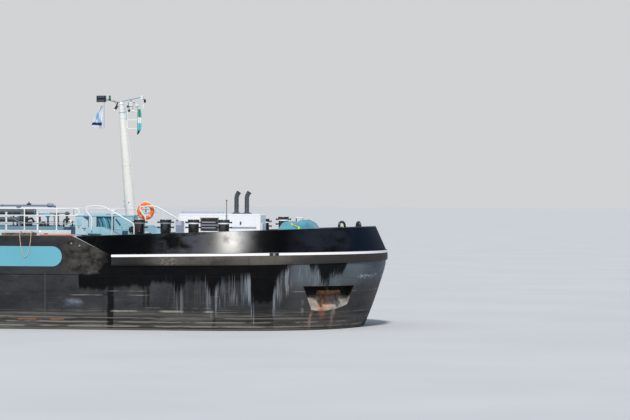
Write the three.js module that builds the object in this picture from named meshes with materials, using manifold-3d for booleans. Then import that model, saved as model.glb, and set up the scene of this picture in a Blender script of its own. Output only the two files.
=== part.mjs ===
// River motor tank barge, 110 m long, as a 1:10 scale model.
// Frame: +X forward (bow), +Y port, +Z up. Origin at the middle of the flat bottom.
// All tables and arguments are in metres of the real barge; M turns them into model millimetres.
import * as THREE from 'three';
import { mergeVertices } from 'three/addons/utils/BufferGeometryUtils.js';
import Module from 'manifold-3d';

const wasm = await Module();
wasm.setup();

// ---------------------------------------------------------------- driving dimensions
const M = 100;              // model millimetres per real metre (scale 1:10)
const GAP = 0.004;          // clearance between pieces that touch
const HALF_L = 55.0;        // half the length over all
const HB = 5.64;            // moulded half breadth
const DEPTH = 4.90;         // main deck above the flat bottom
const FOREDECK = 4.35;      // sunken foredeck
const WATERLINE = 1.24;     // light draught
const BREAK_X = 43.3;       // forward end of the main deck
const SLANT_X = 44.9;       // where the slanted sheer meets the knuckle line
const SLANT_Z = 4.13;       // height of its foot
const BAND_OUT = 0.06;      // how far the knuckle band stands proud of the side
const LEAN = 0.45;          // inward lean of the bow bulwark plating
const PLATE = 0.06;         // bulwark plate
const SPLIT_BOW = 38.0;     // hull block joints
const SPLIT_STERN = -37.0;
const TRUNK_TOP = 5.22;     // raised trunk deck over the cargo tanks
const TRUNK_HB = 4.10;
const RAIL_Y = 5.30;        // guard rail near the deck edge
const RAIL_TOP = 5.96;
const MAST_PIVOT = [44.52, 0, 5.30];
const MAST_LEAN = 5.3;      // degrees aft
const MAST_LEN = 4.96;      // pivot to crosstree
const CRANE = [33.6, 2.6];  // deck crane column, x and y
const CRANE_Z = 6.075;      // stowed height of the boom
const CRANE_REACH = 6.94;
const BOOM_R = 0.042;
const ROPE_R = 0.014;
const FAIRLEAD_TURN = 57 * Math.PI / 180;
const HOUSE_TOP = 7.10;     // accommodation roof
const CAB_FLOOR = 5.40;     // wheelhouse floor when lowered
const CAB_TOP = 7.72;
const LIFT_X = -40.6;       // wheelhouse lift column
const PROP_X = -50.25;
const PROP_Z = 0.96;
const PROP_R = 0.80;
const RUDDER_X = -52.25;
const RUDDER_Y = 0.60;

// ---------------------------------------------------------------- shape helpers
// A geometry with its repeated vertices merged, moved by a matrix, as a solid.
function solid(geometry, matrix = new THREE.Matrix4()) {
  let g = geometry.clone();
  for (const key of Object.keys(g.attributes)) if (key !== 'position') g.deleteAttribute(key);
  g = mergeVertices(g, 1e-3);
  g.applyMatrix4(matrix);
  const tris = [];
  const a = g.index.array;
  for (let i = 0; i < a.length; i += 3) {
    if (a[i] !== a[i + 1] && a[i + 1] !== a[i + 2] && a[i] !== a[i + 2]) tris.push(a[i], a[i + 1], a[i + 2]);
  }
  // faces point out: the signed volume is positive
  const p = g.attributes.position.array;
  let volume = 0;
  for (let i = 0; i < tris.length; i += 3) {
    const [u, v, w] = [tris[i] * 3, tris[i + 1] * 3, tris[i + 2] * 3];
    volume += p[u] * (p[v + 1] * p[w + 2] - p[v + 2] * p[w + 1])
      + p[u + 1] * (p[v + 2] * p[w] - p[v] * p[w + 2]) + p[u + 2] * (p[v] * p[w + 1] - p[v + 1] * p[w]);
  }
  if (volume < 0) for (let i = 0; i < tris.length; i += 3) [tris[i], tris[i + 1]] = [tris[i + 1], tris[i]];
  return new wasm.Manifold(new wasm.Mesh({
    numProp: 3,
    vertProperties: new Float32Array(p),
    triVerts: new Uint32Array(tris),
  }));
}
const at = (x, y, z) => new THREE.Matrix4().makeTranslation(x * M, y * M, z * M);
const box = (x0, x1, y0, y1, z0, z1) => solid(
  new THREE.BoxGeometry((x1 - x0) * M, (y1 - y0) * M, (z1 - z0) * M),
  at((x0 + x1) / 2, (y0 + y1) / 2, (z0 + z1) / 2));
// A round bar from p to q; r at p, r2 at q.
function rod(p, q, r, n = 8, r2 = r) {
  const a = new THREE.Vector3(...p), b = new THREE.Vector3(...q);
  const d = b.clone().sub(a);
  const turn = new THREE.Quaternion().setFromUnitVectors(new THREE.Vector3(0, 1, 0), d.clone().normalize());
  const mid = a.clone().add(b).multiplyScalar(0.5 * M);
  return solid(new THREE.CylinderGeometry(r2 * M, r * M, d.length() * M, n),
    new THREE.Matrix4().compose(mid, turn, new THREE.Vector3(1, 1, 1)));
}
// A polygon in plane 'xy', 'xz' or 'yz', given length between a and b across that plane.
function prism(points, plane, a, b) {
  const shape = new THREE.Shape(points.map(([u, v]) => new THREE.Vector2(u * M, v * M)));
  const g = new THREE.ExtrudeGeometry(shape, { depth: (b - a) * M, bevelEnabled: false });
  const basis = {
    xy: [[1, 0, 0], [0, 1, 0], [0, 0, 1]],
    xz: [[1, 0, 0], [0, 0, 1], [0, -1, 0]],
    yz: [[0, 1, 0], [0, 0, 1], [1, 0, 0]],
  }[plane].map((v) => new THREE.Vector3(...v));
  const m = new THREE.Matrix4().makeBasis(...basis);
  const shift = basis[2].clone().multiplyScalar((plane === 'xz' ? -b : a) * M);
  m.setPosition(shift);
  return solid(g, m);
}
// A round bar bent along points, n sides.
function bar(points, r, n = 6, closed = false, steps = points.length * 3) {
  const curve = new THREE.CatmullRomCurve3(points.map((p) => new THREE.Vector3(...p).multiplyScalar(M)), closed, 'centripetal');
  const section = new THREE.Shape(Array.from({ length: n }, (_, k) => {
    const t = (k + 0.5) * 2 * Math.PI / n;
    return new THREE.Vector2(r * M * Math.cos(t), r * M * Math.sin(t));
  }));
  return solid(new THREE.ExtrudeGeometry(section, { steps, extrudePath: curve, bevelEnabled: false }));
}
// Straight round bars joined end to end.
const chain = (points, r, n = 6) => join(points.slice(1).map((q, i) => rod(points[i], q, r, n)));
// A turned piece: profile of [radius, height] about +Z at c.
const turned = (profile, c, n = 16) => {
  const g = new THREE.LatheGeometry(profile.map(([r, z]) => new THREE.Vector2(r * M, z * M)), n);
  const m = at(...c).multiply(new THREE.Matrix4().makeRotationX(Math.PI / 2));
  return solid(g, m);
};
// Rings of equal length, stacked from low to high, closed with flat or ruled caps.
function loft(rings, ruled = false) {
  const n = rings[0].length, pos = [], tri = [];
  rings.forEach((ring) => ring.forEach(([x, y, z]) => pos.push(x * M, y * M, z * M)));
  for (let k = 0; k + 1 < rings.length; k++) {
    for (let j = 0; j < n; j++) {
      const a = k * n + j, b = k * n + (j + 1) % n;
      tri.push(a, b, b + n, a, b + n, a + n);
    }
  }
  const top = (rings.length - 1) * n;
  if (ruled) { // the ring is mirrored about its middle, so each cap is a run of cross strips
    for (let j = 0; j < n / 2 - 1; j++) {
      const k = n - 1 - j;
      tri.push(j, k, j + 1, j + 1, k, k - 1);
      tri.push(top + j, top + j + 1, top + k, top + j + 1, top + k - 1, top + k);
    }
  } else {
    for (let j = 1; j + 1 < n; j++) {
      tri.push(0, j + 1, j);
      tri.push(top, top + j, top + j + 1);
    }
  }
  const g = new THREE.BufferGeometry();
  g.setAttribute('position', new THREE.BufferAttribute(new Float32Array(pos), 3));
  g.setIndex(tri);
  return solid(g);
}
const join = (list) => list.reduce((a, b) => a.add(b));
const cut = (a, ...tools) => tools.reduce((s, t) => s.subtract(t), a);
const mirrorY = (points) => points.map(([x, y, z]) => [x, -y, z]);

// ---------------------------------------------------------------- materials
const PAINT = {
  black: [0x16181b, 0.45, 0.1], white: [0xe9ebea, 0.5, 0.0], lightBlue: [0x8fc4d6, 0.5, 0.0],
  deckGrey: [0x7f8b90, 0.7, 0.0], navy: [0x1c2c4a, 0.5, 0.1], rust: [0x7a4126, 0.9, 0.1],
  steel: [0x5b6166, 0.6, 0.4], teal: [0x2c8fa0, 0.75, 0.0], orange: [0xe8622a, 0.6, 0.0],
  bronze: [0x9a7a3c, 0.4, 0.8], rope: [0xc7b291, 0.95, 0.0], lilac: [0x9aa6bb, 0.5, 0.2],
  flag: [0x3f9fae, 0.85, 0.0],
};
const group = new THREE.Group();
group.name = 'river_barge';
// One named mesh; its geometry is kept about the point c, where the mesh is placed.
function node(name, shape, paint, c = [0, 0, 0], parent = group) {
  const m = shape.getMesh();
  const g = new THREE.BufferGeometry();
  const src = m.vertProperties, pos = new Float32Array(src.length);
  const base = new THREE.Vector3();
  for (let p = parent; p && p !== group; p = p.parent) base.add(p.position);
  for (let i = 0; i < src.length; i += 3) for (let k = 0; k < 3; k++) pos[i + k] = src[i + k] - c[k] * M;
  g.setAttribute('position', new THREE.BufferAttribute(pos, 3));
  g.setIndex(new THREE.BufferAttribute(new Uint32Array(m.triVerts), 1));
  g.computeVertexNormals();
  const [color, roughness, metalness] = PAINT[paint];
  const mesh = new THREE.Mesh(g, new THREE.MeshStandardMaterial({ color, roughness, metalness }));
  mesh.name = name;
  mesh.position.set(c[0] * M - base.x, c[1] * M - base.y, c[2] * M - base.z);
  parent.add(mesh);
  return mesh;
}
// A group placed at a pivot, for pieces that move together.
function pivot(c, parent = group) {
  const g = new THREE.Group();
  const base = new THREE.Vector3();
  for (let p = parent; p && p !== group; p = p.parent) base.add(p.position);
  g.position.set(c[0] * M - base.x, c[1] * M - base.y, c[2] * M - base.z);
  parent.add(g);
  return g;
}

// ---------------------------------------------------------------- bow lines
const ARC = 13; // steps from the side to the stem
// The knuckle line rises gently to the stem.
const alongBow = (x) => Math.min(1, Math.max(0, (x - SLANT_X) / (HALF_L - SLANT_X)));
const knuckleZ = (x) => 4.19 + 0.15 * alongBow(x);
// Height of the hull side's upper edge: deck edge, then the slant, then the knuckle line.
function sideTop(x) {
  if (x <= BREAK_X) return DEPTH;
  if (x > SLANT_X) return knuckleZ(x);
  return DEPTH + (SLANT_Z - DEPTH) * (x - BREAK_X) / (SLANT_X - BREAK_X);
}
// The fold line the leaning plating starts from.
const crease = (x) => sideTop(Math.max(x, SLANT_X));
// Half outline from the block joint at the side to the stem: straight side, then a superellipse.
function bowHalf(x0, xEnd, b, n, xs = [SPLIT_BOW, 41.2, BREAK_X, 44.0, 44.45, SLANT_X, 45.05]) {
  const pts = xs.map((x) => [x, b]);
  for (let k = 0; k <= ARC; k++) {
    const t = Math.PI / 2 * (1 - k / ARC);
    const c = Math.max(0, Math.cos(t)), s = Math.max(0, Math.sin(t));
    pts.push([x0 + (xEnd - x0) * c ** (2 / n), b * s ** (2 / n)]);
  }
  pts[pts.length - 1][1] = 0.06; // width of the stem bar
  return pts;
}
// Port half and starboard half as one counter-clockwise ring.
const ringOf = (half, z) => {
  const zOf = typeof z === 'function' ? z : () => z;
  return [...half.map(([x, y]) => [x, -y, zOf(x)]), ...half.slice().reverse().map(([x, y]) => [x, y, zOf(x)])];
};
// columns: z, start of the curve, stem, half breadth, fullness
const BOW_LEVELS = [
  [0.00, 45.4, 50.6, 5.14, 2.00],
  [0.07, 45.9, 51.7, 5.39, 2.00],
  [0.25, 46.6, 52.6, 5.57, 2.05],
  [0.50, 47.2, 53.1, HB, 2.10],
  [0.90, 47.7, 53.7, HB, 2.15],
  [1.30, 48.0, 54.08, HB, 2.20],
  [2.10, 47.8, 54.40, HB, 2.26],
  [3.00, 47.4, 54.70, HB, 2.33],
  [3.80, 47.1, 54.92, HB, 2.40],
];
const KNUCKLE = bowHalf(47.0, HALF_L - BAND_OUT, HB, 2.40);
const normalAt = (pts, j) => {
  const a = pts[Math.max(0, j - 1)], b = pts[Math.min(pts.length - 1, j + 1)];
  const l = Math.hypot(b[0] - a[0], b[1] - a[1]);
  return j === pts.length - 1 ? [1, 0] : [-(b[1] - a[1]) / l, (b[0] - a[0]) / l];
};
// The knuckle outline moved outwards by d (a number or a function of the point).
function knuckleOffset(d) {
  return KNUCKLE.map(([x, y], j) => {
    const [nx, ny] = normalAt(KNUCKLE, j);
    const e = typeof d === 'function' ? d(x, y) : d;
    return [x + nx * e, Math.max(0.03, y + ny * e)];
  });
}
let hullBow = loft([
  ...BOW_LEVELS.map(([z, x0, xe, b, n]) => ringOf(bowHalf(x0, xe, b, n), z)),
  ringOf(KNUCKLE, sideTop),
], true);
// foredeck, inside the leaning bulwark
{
  const inner = knuckleOffset((x) => -(0.09 + LEAN * Math.max(0.05, FOREDECK - crease(x)))).filter(([x]) => x > 44.42);
  hullBow = hullBow.add(loft([ringOf(inner, 4.0), ringOf(inner, FOREDECK)], true));
}
// Anchor pocket: a wedge with a level roof and a plate that slopes out to the side at its foot.
// Columns: s along the side, depth inwards, z.
const POCKET = { x: 53.22, y: 3.66, u: [0.70, -0.714], top: 2.97, foot: 1.96 };
function pocketPoint(s, d, z, side) {
  const [ux, uy] = POCKET.u, nx = 0.714, ny = 0.70;
  return [POCKET.x + ux * s + nx * d, side * (POCKET.y + uy * s + ny * d), z];
}
function pocketTool(side) {
  const back = [[-1.28, -0.55, POCKET.top], [1.22, -0.55, POCKET.top], [0.92, -0.04, POCKET.foot], [-0.82, -0.04, POCKET.foot]];
  const ringBack = back.map(([s, d, z]) => pocketPoint(s, d, z, side));
  const ringFront = back.map(([s, , z]) => pocketPoint(s, 0.8, z, side));
  return loft([ringBack, ringFront]);
}
hullBow = cut(hullBow, pocketTool(1), pocketTool(-1));
node('hull_bow', hullBow, 'black', [SPLIT_BOW, 0, 0]);

// ---------------------------------------------------------------- midbody
{
  const c45 = Math.SQRT1_2 * 0.5;
  const half = [[0, 0], [HB - 0.5, 0], [HB - 0.5 + 0.25, 0.067], [HB - 0.5 + c45, 0.5 - c45], [HB - 0.067, 0.25], [HB, 0.5], [HB, DEPTH], [0, DEPTH]];
  const port = half.slice(1, 7);
  const ring = [...port.map(([y, z]) => [y, z]), ...port.slice().reverse().map(([y, z]) => [-y, z])];
  node('hull_midbody', prism(ring, 'yz', SPLIT_STERN + GAP, SPLIT_BOW - GAP), 'black', [0, 0, 0]);
}

// ---------------------------------------------------------------- stern
// columns: z, start of the curve, stern end, half breadth, fullness
const STERN_LEVELS = [
  [0.00, -43.5, -48.4, 5.14, 2.0],
  [0.07, -44.0, -49.4, 5.39, 2.0],
  [0.25, -44.8, -50.6, 5.57, 2.1],
  [0.50, -46.0, -51.8, HB, 2.2],
  [0.90, -47.2, -53.0, HB, 2.3],
  [1.30, -48.2, -53.9, HB, 2.4],
  [2.00, -49.2, -54.6, HB, 2.5],
  [3.00, -49.6, -54.9, HB, 2.6],
  [DEPTH, -49.8, -HALF_L, HB, 2.7],
];
const sternHalf = (x0, xe, b, n) => bowHalf(-x0, -xe, b, n, [-SPLIT_STERN, 40, 43]).map(([x, y]) => [-x, y]);
const sternRing = (half, z) => [...half.map(([x, y]) => [x, y, z]), ...half.slice().reverse().map(([x, y]) => [x, -y, z])];
let hullStern = loft(STERN_LEVELS.map(([z, x0, xe, b, n]) => sternRing(sternHalf(x0, xe, b, n), z)), true);
{
  // propeller tunnel, open at the stern, sloping up from its forward end
  const arch = (w, h, x) => [[x, -w, -0.5], [x, w, -0.5], [x, w, h - 0.5], [x, w - 0.5, h], [x, -w + 0.5, h], [x, -w, h - 0.5]];
  hullStern = cut(hullStern, loft([arch(1.95, 2.02, -56), arch(1.95, 2.02, -49.3), arch(1.0, 0.55, -46.4)]));
  // skeg with the shaft boss
  const skeg = prism([[-44.5, 0.0], [-48.9, 0.0], [-48.9, 2.3], [-44.5, 2.3]], 'xz', -0.16, 0.16);
  hullStern = join([hullStern, skeg, rod([-46.0, 0, PROP_Z], [-49.75, 0, PROP_Z], 0.24, 14, 0.16)]);
  // well for the lift column
  hullStern = cut(hullStern, box(LIFT_X - 0.56, LIFT_X + 0.56, -0.56, 0.56, 0.60, DEPTH + 1));
}
node('hull_stern', hullStern, 'black', [SPLIT_STERN, 0, 0]);

// ---------------------------------------------------------------- bow bulwark and knuckle band
const bulwarkTop = (x) => 4.875 + (x - BREAK_X) * 0.0352;
{
  const first = KNUCKLE.findIndex(([x]) => x >= BREAK_X);
  const rings = [];
  const half = KNUCKLE.map(([x, y], j) => {
    const [nx, ny] = normalAt(KNUCKLE, j);
    const x1 = j === first ? x + 0.12 : x;
    const zl = sideTop(x1) + GAP, zh = bulwarkTop(x1);
    const off = (z) => -0.004 - LEAN * (z - crease(x1));
    const p = (d, z) => [x1 + nx * d, Math.max(0.02, y + ny * d), z];
    return [p(off(zl), zl), p(off(zh), zh), p(off(zh) - PLATE, zh), p(off(zl) - PLATE, zl)];
  }).slice(first);
  // from starboard round the stem to port
  const starboard = half.map((r) => mirrorY(r));
  const port = half.slice().reverse().map((r) => r.map((p) => p.slice()));
  const mid = half[half.length - 1].map(([x, , z]) => [x, 0, z]);
  const all = [...starboard.slice(0, -1), mid, ...port.slice(1)];
  rings.push(...all);
  node('bow_bulwark', loft(rings), 'black', [49, 0, 4.9]);
}
{
  const xFirst = KNUCKLE.findIndex(([x]) => x >= SLANT_X);
  const low = (x) => 3.735 + 0.06 * alongBow(x) + 0.12 * alongBow(x) ** 3;
  const half = KNUCKLE.map(([x, y], j) => {
    const [nx, ny] = normalAt(KNUCKLE, j);
    const taper = j === xFirst ? 0.02 : 0;
    const p = (d, z) => [x + nx * d, Math.max(0, y + ny * d), z];
    const zt = knuckleZ(x);
    return [p(0.02, low(x)), p(BAND_OUT - taper, low(x) + 0.05), p(BAND_OUT - taper, zt - 0.02), p(0.02, zt)];
  }).slice(xFirst);
  const mid = half[half.length - 1].map(([x, , z]) => [x, 0, z]);
  const all = [...half.slice(0, -1).map((r) => mirrorY(r)), mid, ...half.slice(0, -1).reverse()];
  node('bow_fender_band', loft(all), 'black', [50, 0, 4.0]);
}

// ---------------------------------------------------------------- anchors
for (const [name, side] of [['anchor_starboard', -1], ['anchor_port', 1]]) {
  const p = (s, d, z) => pocketPoint(s, d, z, side);
  const crown = rod(p(-0.62, 0.02, 2.70), p(0.42, 0.02, 2.70), 0.10, 8);
  const flukes = [-0.50, 0.30].map((s) => rod(p(s, 0.02, 2.72), p(s + 0.02, 0.00, 2.34), 0.09, 6, 0.03));
  const shank = rod(p(-0.10, 0.02, 2.66), p(-0.10, -0.14, 2.93), 0.07, 6);
  node(name, join([crown, ...flukes, shank]), 'rust', p(-0.1, 0, 2.7));
}

// ---------------------------------------------------------------- trunk deck, domes, side bollards, boom rest
// columns: x, y of the tank hatches
const HATCHES = [[19, -3.1], [19, 3.1], [-19, -3.1], [-19, 3.1]];
const HATCH_R = 0.42, HATCH_TOP = 5.74;
const postPair = (x, y, z0, zTop, r, dx) => [
  ...[-dx / 2, dx / 2].flatMap((d) => [
    rod([x + d, y, z0], [x + d, y, zTop - 0.06], r, 10), rod([x + d, y, zTop - 0.07], [x + d, y, zTop], r * 1.16, 10)]),
  box(x - dx / 2 - r * 1.6, x + dx / 2 + r * 1.6, y - r * 1.5, y + r * 1.5, z0, z0 + 0.05),
];
{
  const parts = [box(-36.6, 42.6, -TRUNK_HB, TRUNK_HB, DEPTH + GAP, TRUNK_TOP)];
  for (const [x, y] of HATCHES) parts.push(rod([x, y, TRUNK_TOP - 0.1], [x, y, HATCH_TOP], HATCH_R, 12));
  for (const x of [27, -27]) {
    for (const s of [-1, 1]) {
      parts.push(...postPair(x, s * 4.72, DEPTH + GAP, 5.55, 0.16, 0.8));
      parts.push(box(x - 0.7, x + 0.7, s > 0 ? TRUNK_HB - 0.1 : -4.6, s > 0 ? 4.6 : -TRUNK_HB + 0.1, DEPTH + GAP, DEPTH + 0.05));
    }
  }
  // rest under the stowed boom
  const restTop = CRANE_Z - BOOM_R - GAP;
  parts.push(box(38.94, 39.06, CRANE[1] - 0.2, CRANE[1] + 0.2, restTop - 0.08, restTop), rod([39, CRANE[1], TRUNK_TOP - 0.1], [39, CRANE[1], restTop - 0.03], 0.05, 8));
  node('trunk_deck', join(parts), 'lightBlue', [0, 0, 5]);
}
// lids, hinged on their outboard side
HATCHES.forEach(([x, y], i) => {
  const s = Math.sign(y), hy = y + s * (HATCH_R + 0.09);
  const lid = turned([[0, 0], [HATCH_R + 0.03, 0], [HATCH_R + 0.03, 0.04], [HATCH_R * 0.6, 0.11], [0, 0.12]], [x, y, HATCH_TOP + GAP], 12);
  const arm = join([box(x - 0.06, x + 0.06, Math.min(y + s * 0.3, hy), Math.max(y + s * 0.3, hy), HATCH_TOP + 0.02, HATCH_TOP + 0.06),
    rod([x - 0.12, hy, HATCH_TOP + 0.04], [x + 0.12, hy, HATCH_TOP + 0.04], 0.035, 8)]);
  node(`tank_hatch_lid_${i + 1}`, lid.add(arm), 'white', [x, hy, HATCH_TOP + 0.04], pivot([x, hy, HATCH_TOP + 0.04]));
});

// ---------------------------------------------------------------- guard rails with their foot plate
for (const [name, s] of [['guard_rail_starboard', -1], ['guard_rail_port', 1]]) {
  const y = s * RAIL_Y, x0 = -36.4, x1 = 43.2, w = 0.02;
  const parts = [box(x0, x1, y - 0.03, y + 0.03, DEPTH + GAP, 5.12)];
  for (const z of [5.38, 5.69, RAIL_TOP]) parts.push(box(x0 + 0.5, x1 + 0.35, y - w, y + w, z - w, z + w));
  const n = 10;
  for (let k = 0; k < n; k++) {
    const x = x0 + 0.6 + (x1 - x0 - 0.8) * k / (n - 1);
    parts.push(box(x - w * 1.2, x + w * 1.2, y - w * 1.2, y + w * 1.2, 5.1, RAIL_TOP));
  }
  parts.push(box(x1 + 0.30, x1 + 0.36, y - w, y + w, 5.67, RAIL_TOP));
  // bracket behind the lifebuoy
  if (s > 0) parts.push(box(x1 + 0.30, x1 + 1.15, y - 0.015, y + 0.015, 5.76, 5.82));
  node(name, join(parts), 'white', [0, y, DEPTH]);
}

// ---------------------------------------------------------------- cargo pipes
{
  const parts = [];
  // columns: y, z, radius, from x, to x
  for (const [y, z, r, xa, xb] of [[-2.0, 5.81, 0.115, -34, 41.7], [-1.4, 5.50, 0.10, -34, 40.4]]) {
    parts.push(rod([xa, y, z], [xb, y, z], r, 8));
    for (const x of [xa, xb]) parts.push(rod([x - 0.04, y, z], [x + 0.04, y, z], r * 1.35, 8));
  }
  for (let x = -32; x <= 41; x += 14.4) parts.push(box(x - 0.05, x + 0.05, -2.2, -1.25, TRUNK_TOP + GAP, 5.45), box(x - 0.05, x + 0.05, -2.12, -1.88, 5.4, 5.75));
  // manifold amidships
  for (const x of [-1.2, 0, 1.2]) {
    parts.push(rod([x, -3.9, 5.50], [x, 3.9, 5.50], 0.09, 8));
    for (const y of [-3.9, 3.9]) parts.push(rod([x, y - 0.03, 5.50], [x, y + 0.03, 5.50], 0.16, 8));
  }
  for (const y of [-3.4, 3.4]) parts.push(box(-1.5, 1.5, y - 0.05, y + 0.05, 5.30, 5.44), box(-1.4, -1.3, y - 0.05, y + 0.05, TRUNK_TOP + GAP, 5.4), box(1.3, 1.4, y - 0.05, y + 0.05, TRUNK_TOP + GAP, 5.4));
  node('cargo_pipes', join(parts), 'steel', [0, -1.7, 5.5]);
}

// ---------------------------------------------------------------- catwalk
{
  const y0 = 0.75, y1 = 1.55, z = 5.72;
  const parts = [box(-35.5, 41.5, y0, y1, z, z + 0.05)];
  for (let x = -35; x <= 41; x += 15.2) {
    for (const y of [y0 + 0.06, y1 - 0.06]) parts.push(box(x - 0.04, x + 0.04, y - 0.04, y + 0.04, TRUNK_TOP + GAP, z + 0.02));
  }
  node('catwalk', join(parts), 'deckGrey', [3, 1.15, z]);
}

// ---------------------------------------------------------------- deck crane
{
  const [cx, cy] = CRANE;
  node('crane_pedestal', join([box(cx - 0.3, cx + 0.3, cy - 0.3, cy + 0.3, TRUNK_TOP + GAP, TRUNK_TOP + 0.06),
    rod([cx, cy, TRUNK_TOP + 0.05], [cx, cy, 5.62], 0.16, 12)]), 'white', [cx, cy, TRUNK_TOP]);
  const column = pivot([cx, cy, 5.62]);
  const colShape = cut(join([rod([cx, cy, 5.62 + GAP], [cx, cy, 5.88], 0.15, 12), box(cx - 0.16, cx + 0.16, cy - 0.13, cy + 0.13, 5.82, 6.15)]),
    box(cx - 0.2, cx + 0.2, cy - 0.052, cy + 0.052, 5.95, 6.3));
  node('crane_column', colShape, 'white', [cx, cy, 5.62], column);
  const boom = pivot([cx, cy, CRANE_Z], column);
  const tip = cx + CRANE_REACH;
  node('crane_boom', join([rod([cx - 0.02, cy, CRANE_Z], [tip, cy, CRANE_Z], BOOM_R, 10),
    rod([tip - 0.28, cy, CRANE_Z + 0.01], [tip - 0.02, cy, CRANE_Z + 0.01], 0.085, 10), rod([tip - 0.02, cy, CRANE_Z], [tip + 0.06, cy, CRANE_Z - 0.03], 0.05, 8)]),
  'lilac', [cx, cy, CRANE_Z], boom);
}

// ---------------------------------------------------------------- forward locker, stairs and their rails
{
  const top = 5.72;
  // stands over the step in the deck
  node('forward_locker', join([
    box(BREAK_X - 0.22, 43.66, -4.1, -1.0, DEPTH + GAP, top),
    box(43.6, 44.46, -4.1, -1.0, DEPTH + 0.06, top),
    box(44.4, 45.46, -4.1, -3.3, 4.5, top),
    box(44.92, 45.46, -4.1, -3.3, FOREDECK + GAP, 4.6)]), 'lightBlue', [44.3, -2.5, 5.2]);
  for (const [name, rail, s] of [['stairs_starboard', 'stair_rail_starboard', -1], ['stairs_port', 'stair_rail_port', 1]]) {
    const ya = s * 4.25, yb = s * 4.95, lo = Math.min(ya, yb), hi = Math.max(ya, yb);
    const parts = [];
    // columns: x from, x to, tread height
    for (const [xa, xb, z] of [[43.75, 44.35, 5.16], [44.25, 44.75, 4.98], [44.65, 45.15, 4.78], [45.05, 45.49, 4.58]]) parts.push(box(xa, xb, lo, hi, z - 0.05, z));
    for (const y of [lo, hi - 0.05]) parts.push(prism([[43.72, 4.99], [44.30, 4.97], [45.16, 4.36 + GAP], [45.52, 4.36 + GAP], [45.52, 4.70], [44.36, 5.24], [43.72, 5.24]], 'xz', y, y + 0.05));
    node(name, join(parts), 'lightBlue', [44.6, s * 4.6, 4.8]);
    const y = s * 5.02, r = 0.022;
    const pts = [[43.96, y, 5.12], [43.96, y, 5.62], [43.74, y, 5.90], [43.82, y, 6.05], [44.46, y, 6.06], [45.66, y, 5.37], [45.66, y, 4.72], [45.46, y, 4.63]];
    node(rail, join([chain(pts, r, 8), rod([43.96, y, 5.16], [43.96, s * (4.95 + 0.006), 5.16], r, 8)]), 'white', [44.6, y, 5.4]);
  }
}

// ---------------------------------------------------------------- thruster house, louvre, exhaust pipes
{
  // a narrow casing along the middle line, a low box at its after corner, a recess for the louvre
  const body = prism([[46.55, FOREDECK + GAP], [49.95, FOREDECK + GAP], [49.95, 5.68], [49.87, 5.765], [46.63, 5.765], [46.55, 5.70]], 'xz', -0.65, 0.65);
  const step = box(46.55, 46.80, -1.20, -0.64, FOREDECK + GAP, 5.47);
  node('thruster_house', cut(body.add(step), box(47.46, 48.22, -0.75, -0.57, 5.06, 5.60)), 'white', [48.2, 0, 5]);
  const slats = [box(47.48, 48.20, -0.61, -0.575, 5.08, 5.58)];
  for (let k = 0; k < 6; k++) slats.push(prism([[-0.595, 5.13 + 0.08 * k], [-0.65, 5.10 + 0.08 * k], [-0.65, 5.115 + 0.08 * k], [-0.595, 5.145 + 0.08 * k]], 'yz', 47.50, 48.18));
  node('thruster_louvre', join(slats), 'deckGrey', [47.84, -0.61, 5.3]);
  const pipes = [box(48.65, 49.47, -0.14, 0.14, 5.765 + GAP, 5.83)];
  for (const x of [48.84, 49.27]) pipes.push(rod([x, 0, 5.82], [x, 0, 6.52], 0.095, 10), rod([x, 0, 6.46], [x + 0.10, 0, 6.66], 0.09, 10));
  node('exhaust_pipes', join(pipes), 'navy', [49, 0, 5.8]);
}

// ---------------------------------------------------------------- windlass under its cover
{
  node('windlass_bed', join([box(50.44, 52.56, -1.86, 1.86, FOREDECK + GAP, FOREDECK + 0.06),
    rod([51.05, 1.72, FOREDECK + 0.05], [51.05, 1.72, 5.62], 0.025, 6), rod([51.03, 1.72, 5.615], [51.34, 1.72, 5.615], 0.025, 6),
    rod([51.32, 1.72, FOREDECK + 0.05], [51.32, 1.72, 5.62], 0.022, 6)]), 'steel', [51.5, 0, 4.4]);
  // humps: [x, y] outline shrinking with height
  const hump = (cx, a, b, zs) => loft(zs.map(([z, k]) => Array.from({ length: 16 }, (_, j) => {
    const t = j * Math.PI / 8, c = Math.cos(t), s = Math.sin(t), p = 2 / 3.2;
    return [cx + a * k * Math.sign(c) * Math.abs(c) ** p, b * k * Math.sign(s) * Math.abs(s) ** p, z];
  })));
  node('windlass_cover', join([
    hump(51.46, 0.94, 1.60, [[FOREDECK + 0.064, 1.0], [4.75, 0.985], [5.05, 0.93], [5.22, 0.80]]),
    hump(51.06, 0.42, 1.25, [[4.9, 0.95], [5.32, 0.9], [5.46, 0.55]]),
    hump(51.74, 0.46, 1.20, [[4.9, 0.95], [5.38, 0.9], [5.54, 0.5]])]), 'teal', [51.46, 0, 4.9]);
}

// ---------------------------------------------------------------- bollards and fairleads on the foredeck
// columns: name, side, post pairs as [x, x], top of the last post
for (const [name, s, pairs, lastTop] of [
  ['fore_bollards_starboard', -1, [[45.764, 46.818], [47.934, 49.137]], 5.55],
  ['fore_bollards_port', 1, [[45.764, 46.818], [49.239, 50.071]], 5.64]]) {
  const y = s * 4.5, r = 0.21, last = pairs[1][1] + 0.4;
  const parts = [box(45.54, last, y - 0.26, y + 0.26, FOREDECK + GAP, FOREDECK + 0.05)];
  for (const pair of pairs) {
    for (const x of pair) {
      const zTop = x === pairs[1][1] ? lastTop : 5.55;
      parts.push(rod([x, y, FOREDECK + 0.03], [x, y, zTop - 0.07], r, 12), rod([x, y, zTop - 0.08], [x, y, zTop], r + 0.03, 12));
      for (const z of [5.18, 4.98]) parts.push(rod([x - 0.33, y, z], [x + 0.33, y, z], 0.03, 4));
    }
  }
  node(name, join(parts), 'black', [48, y, 4.4]);
}
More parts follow.
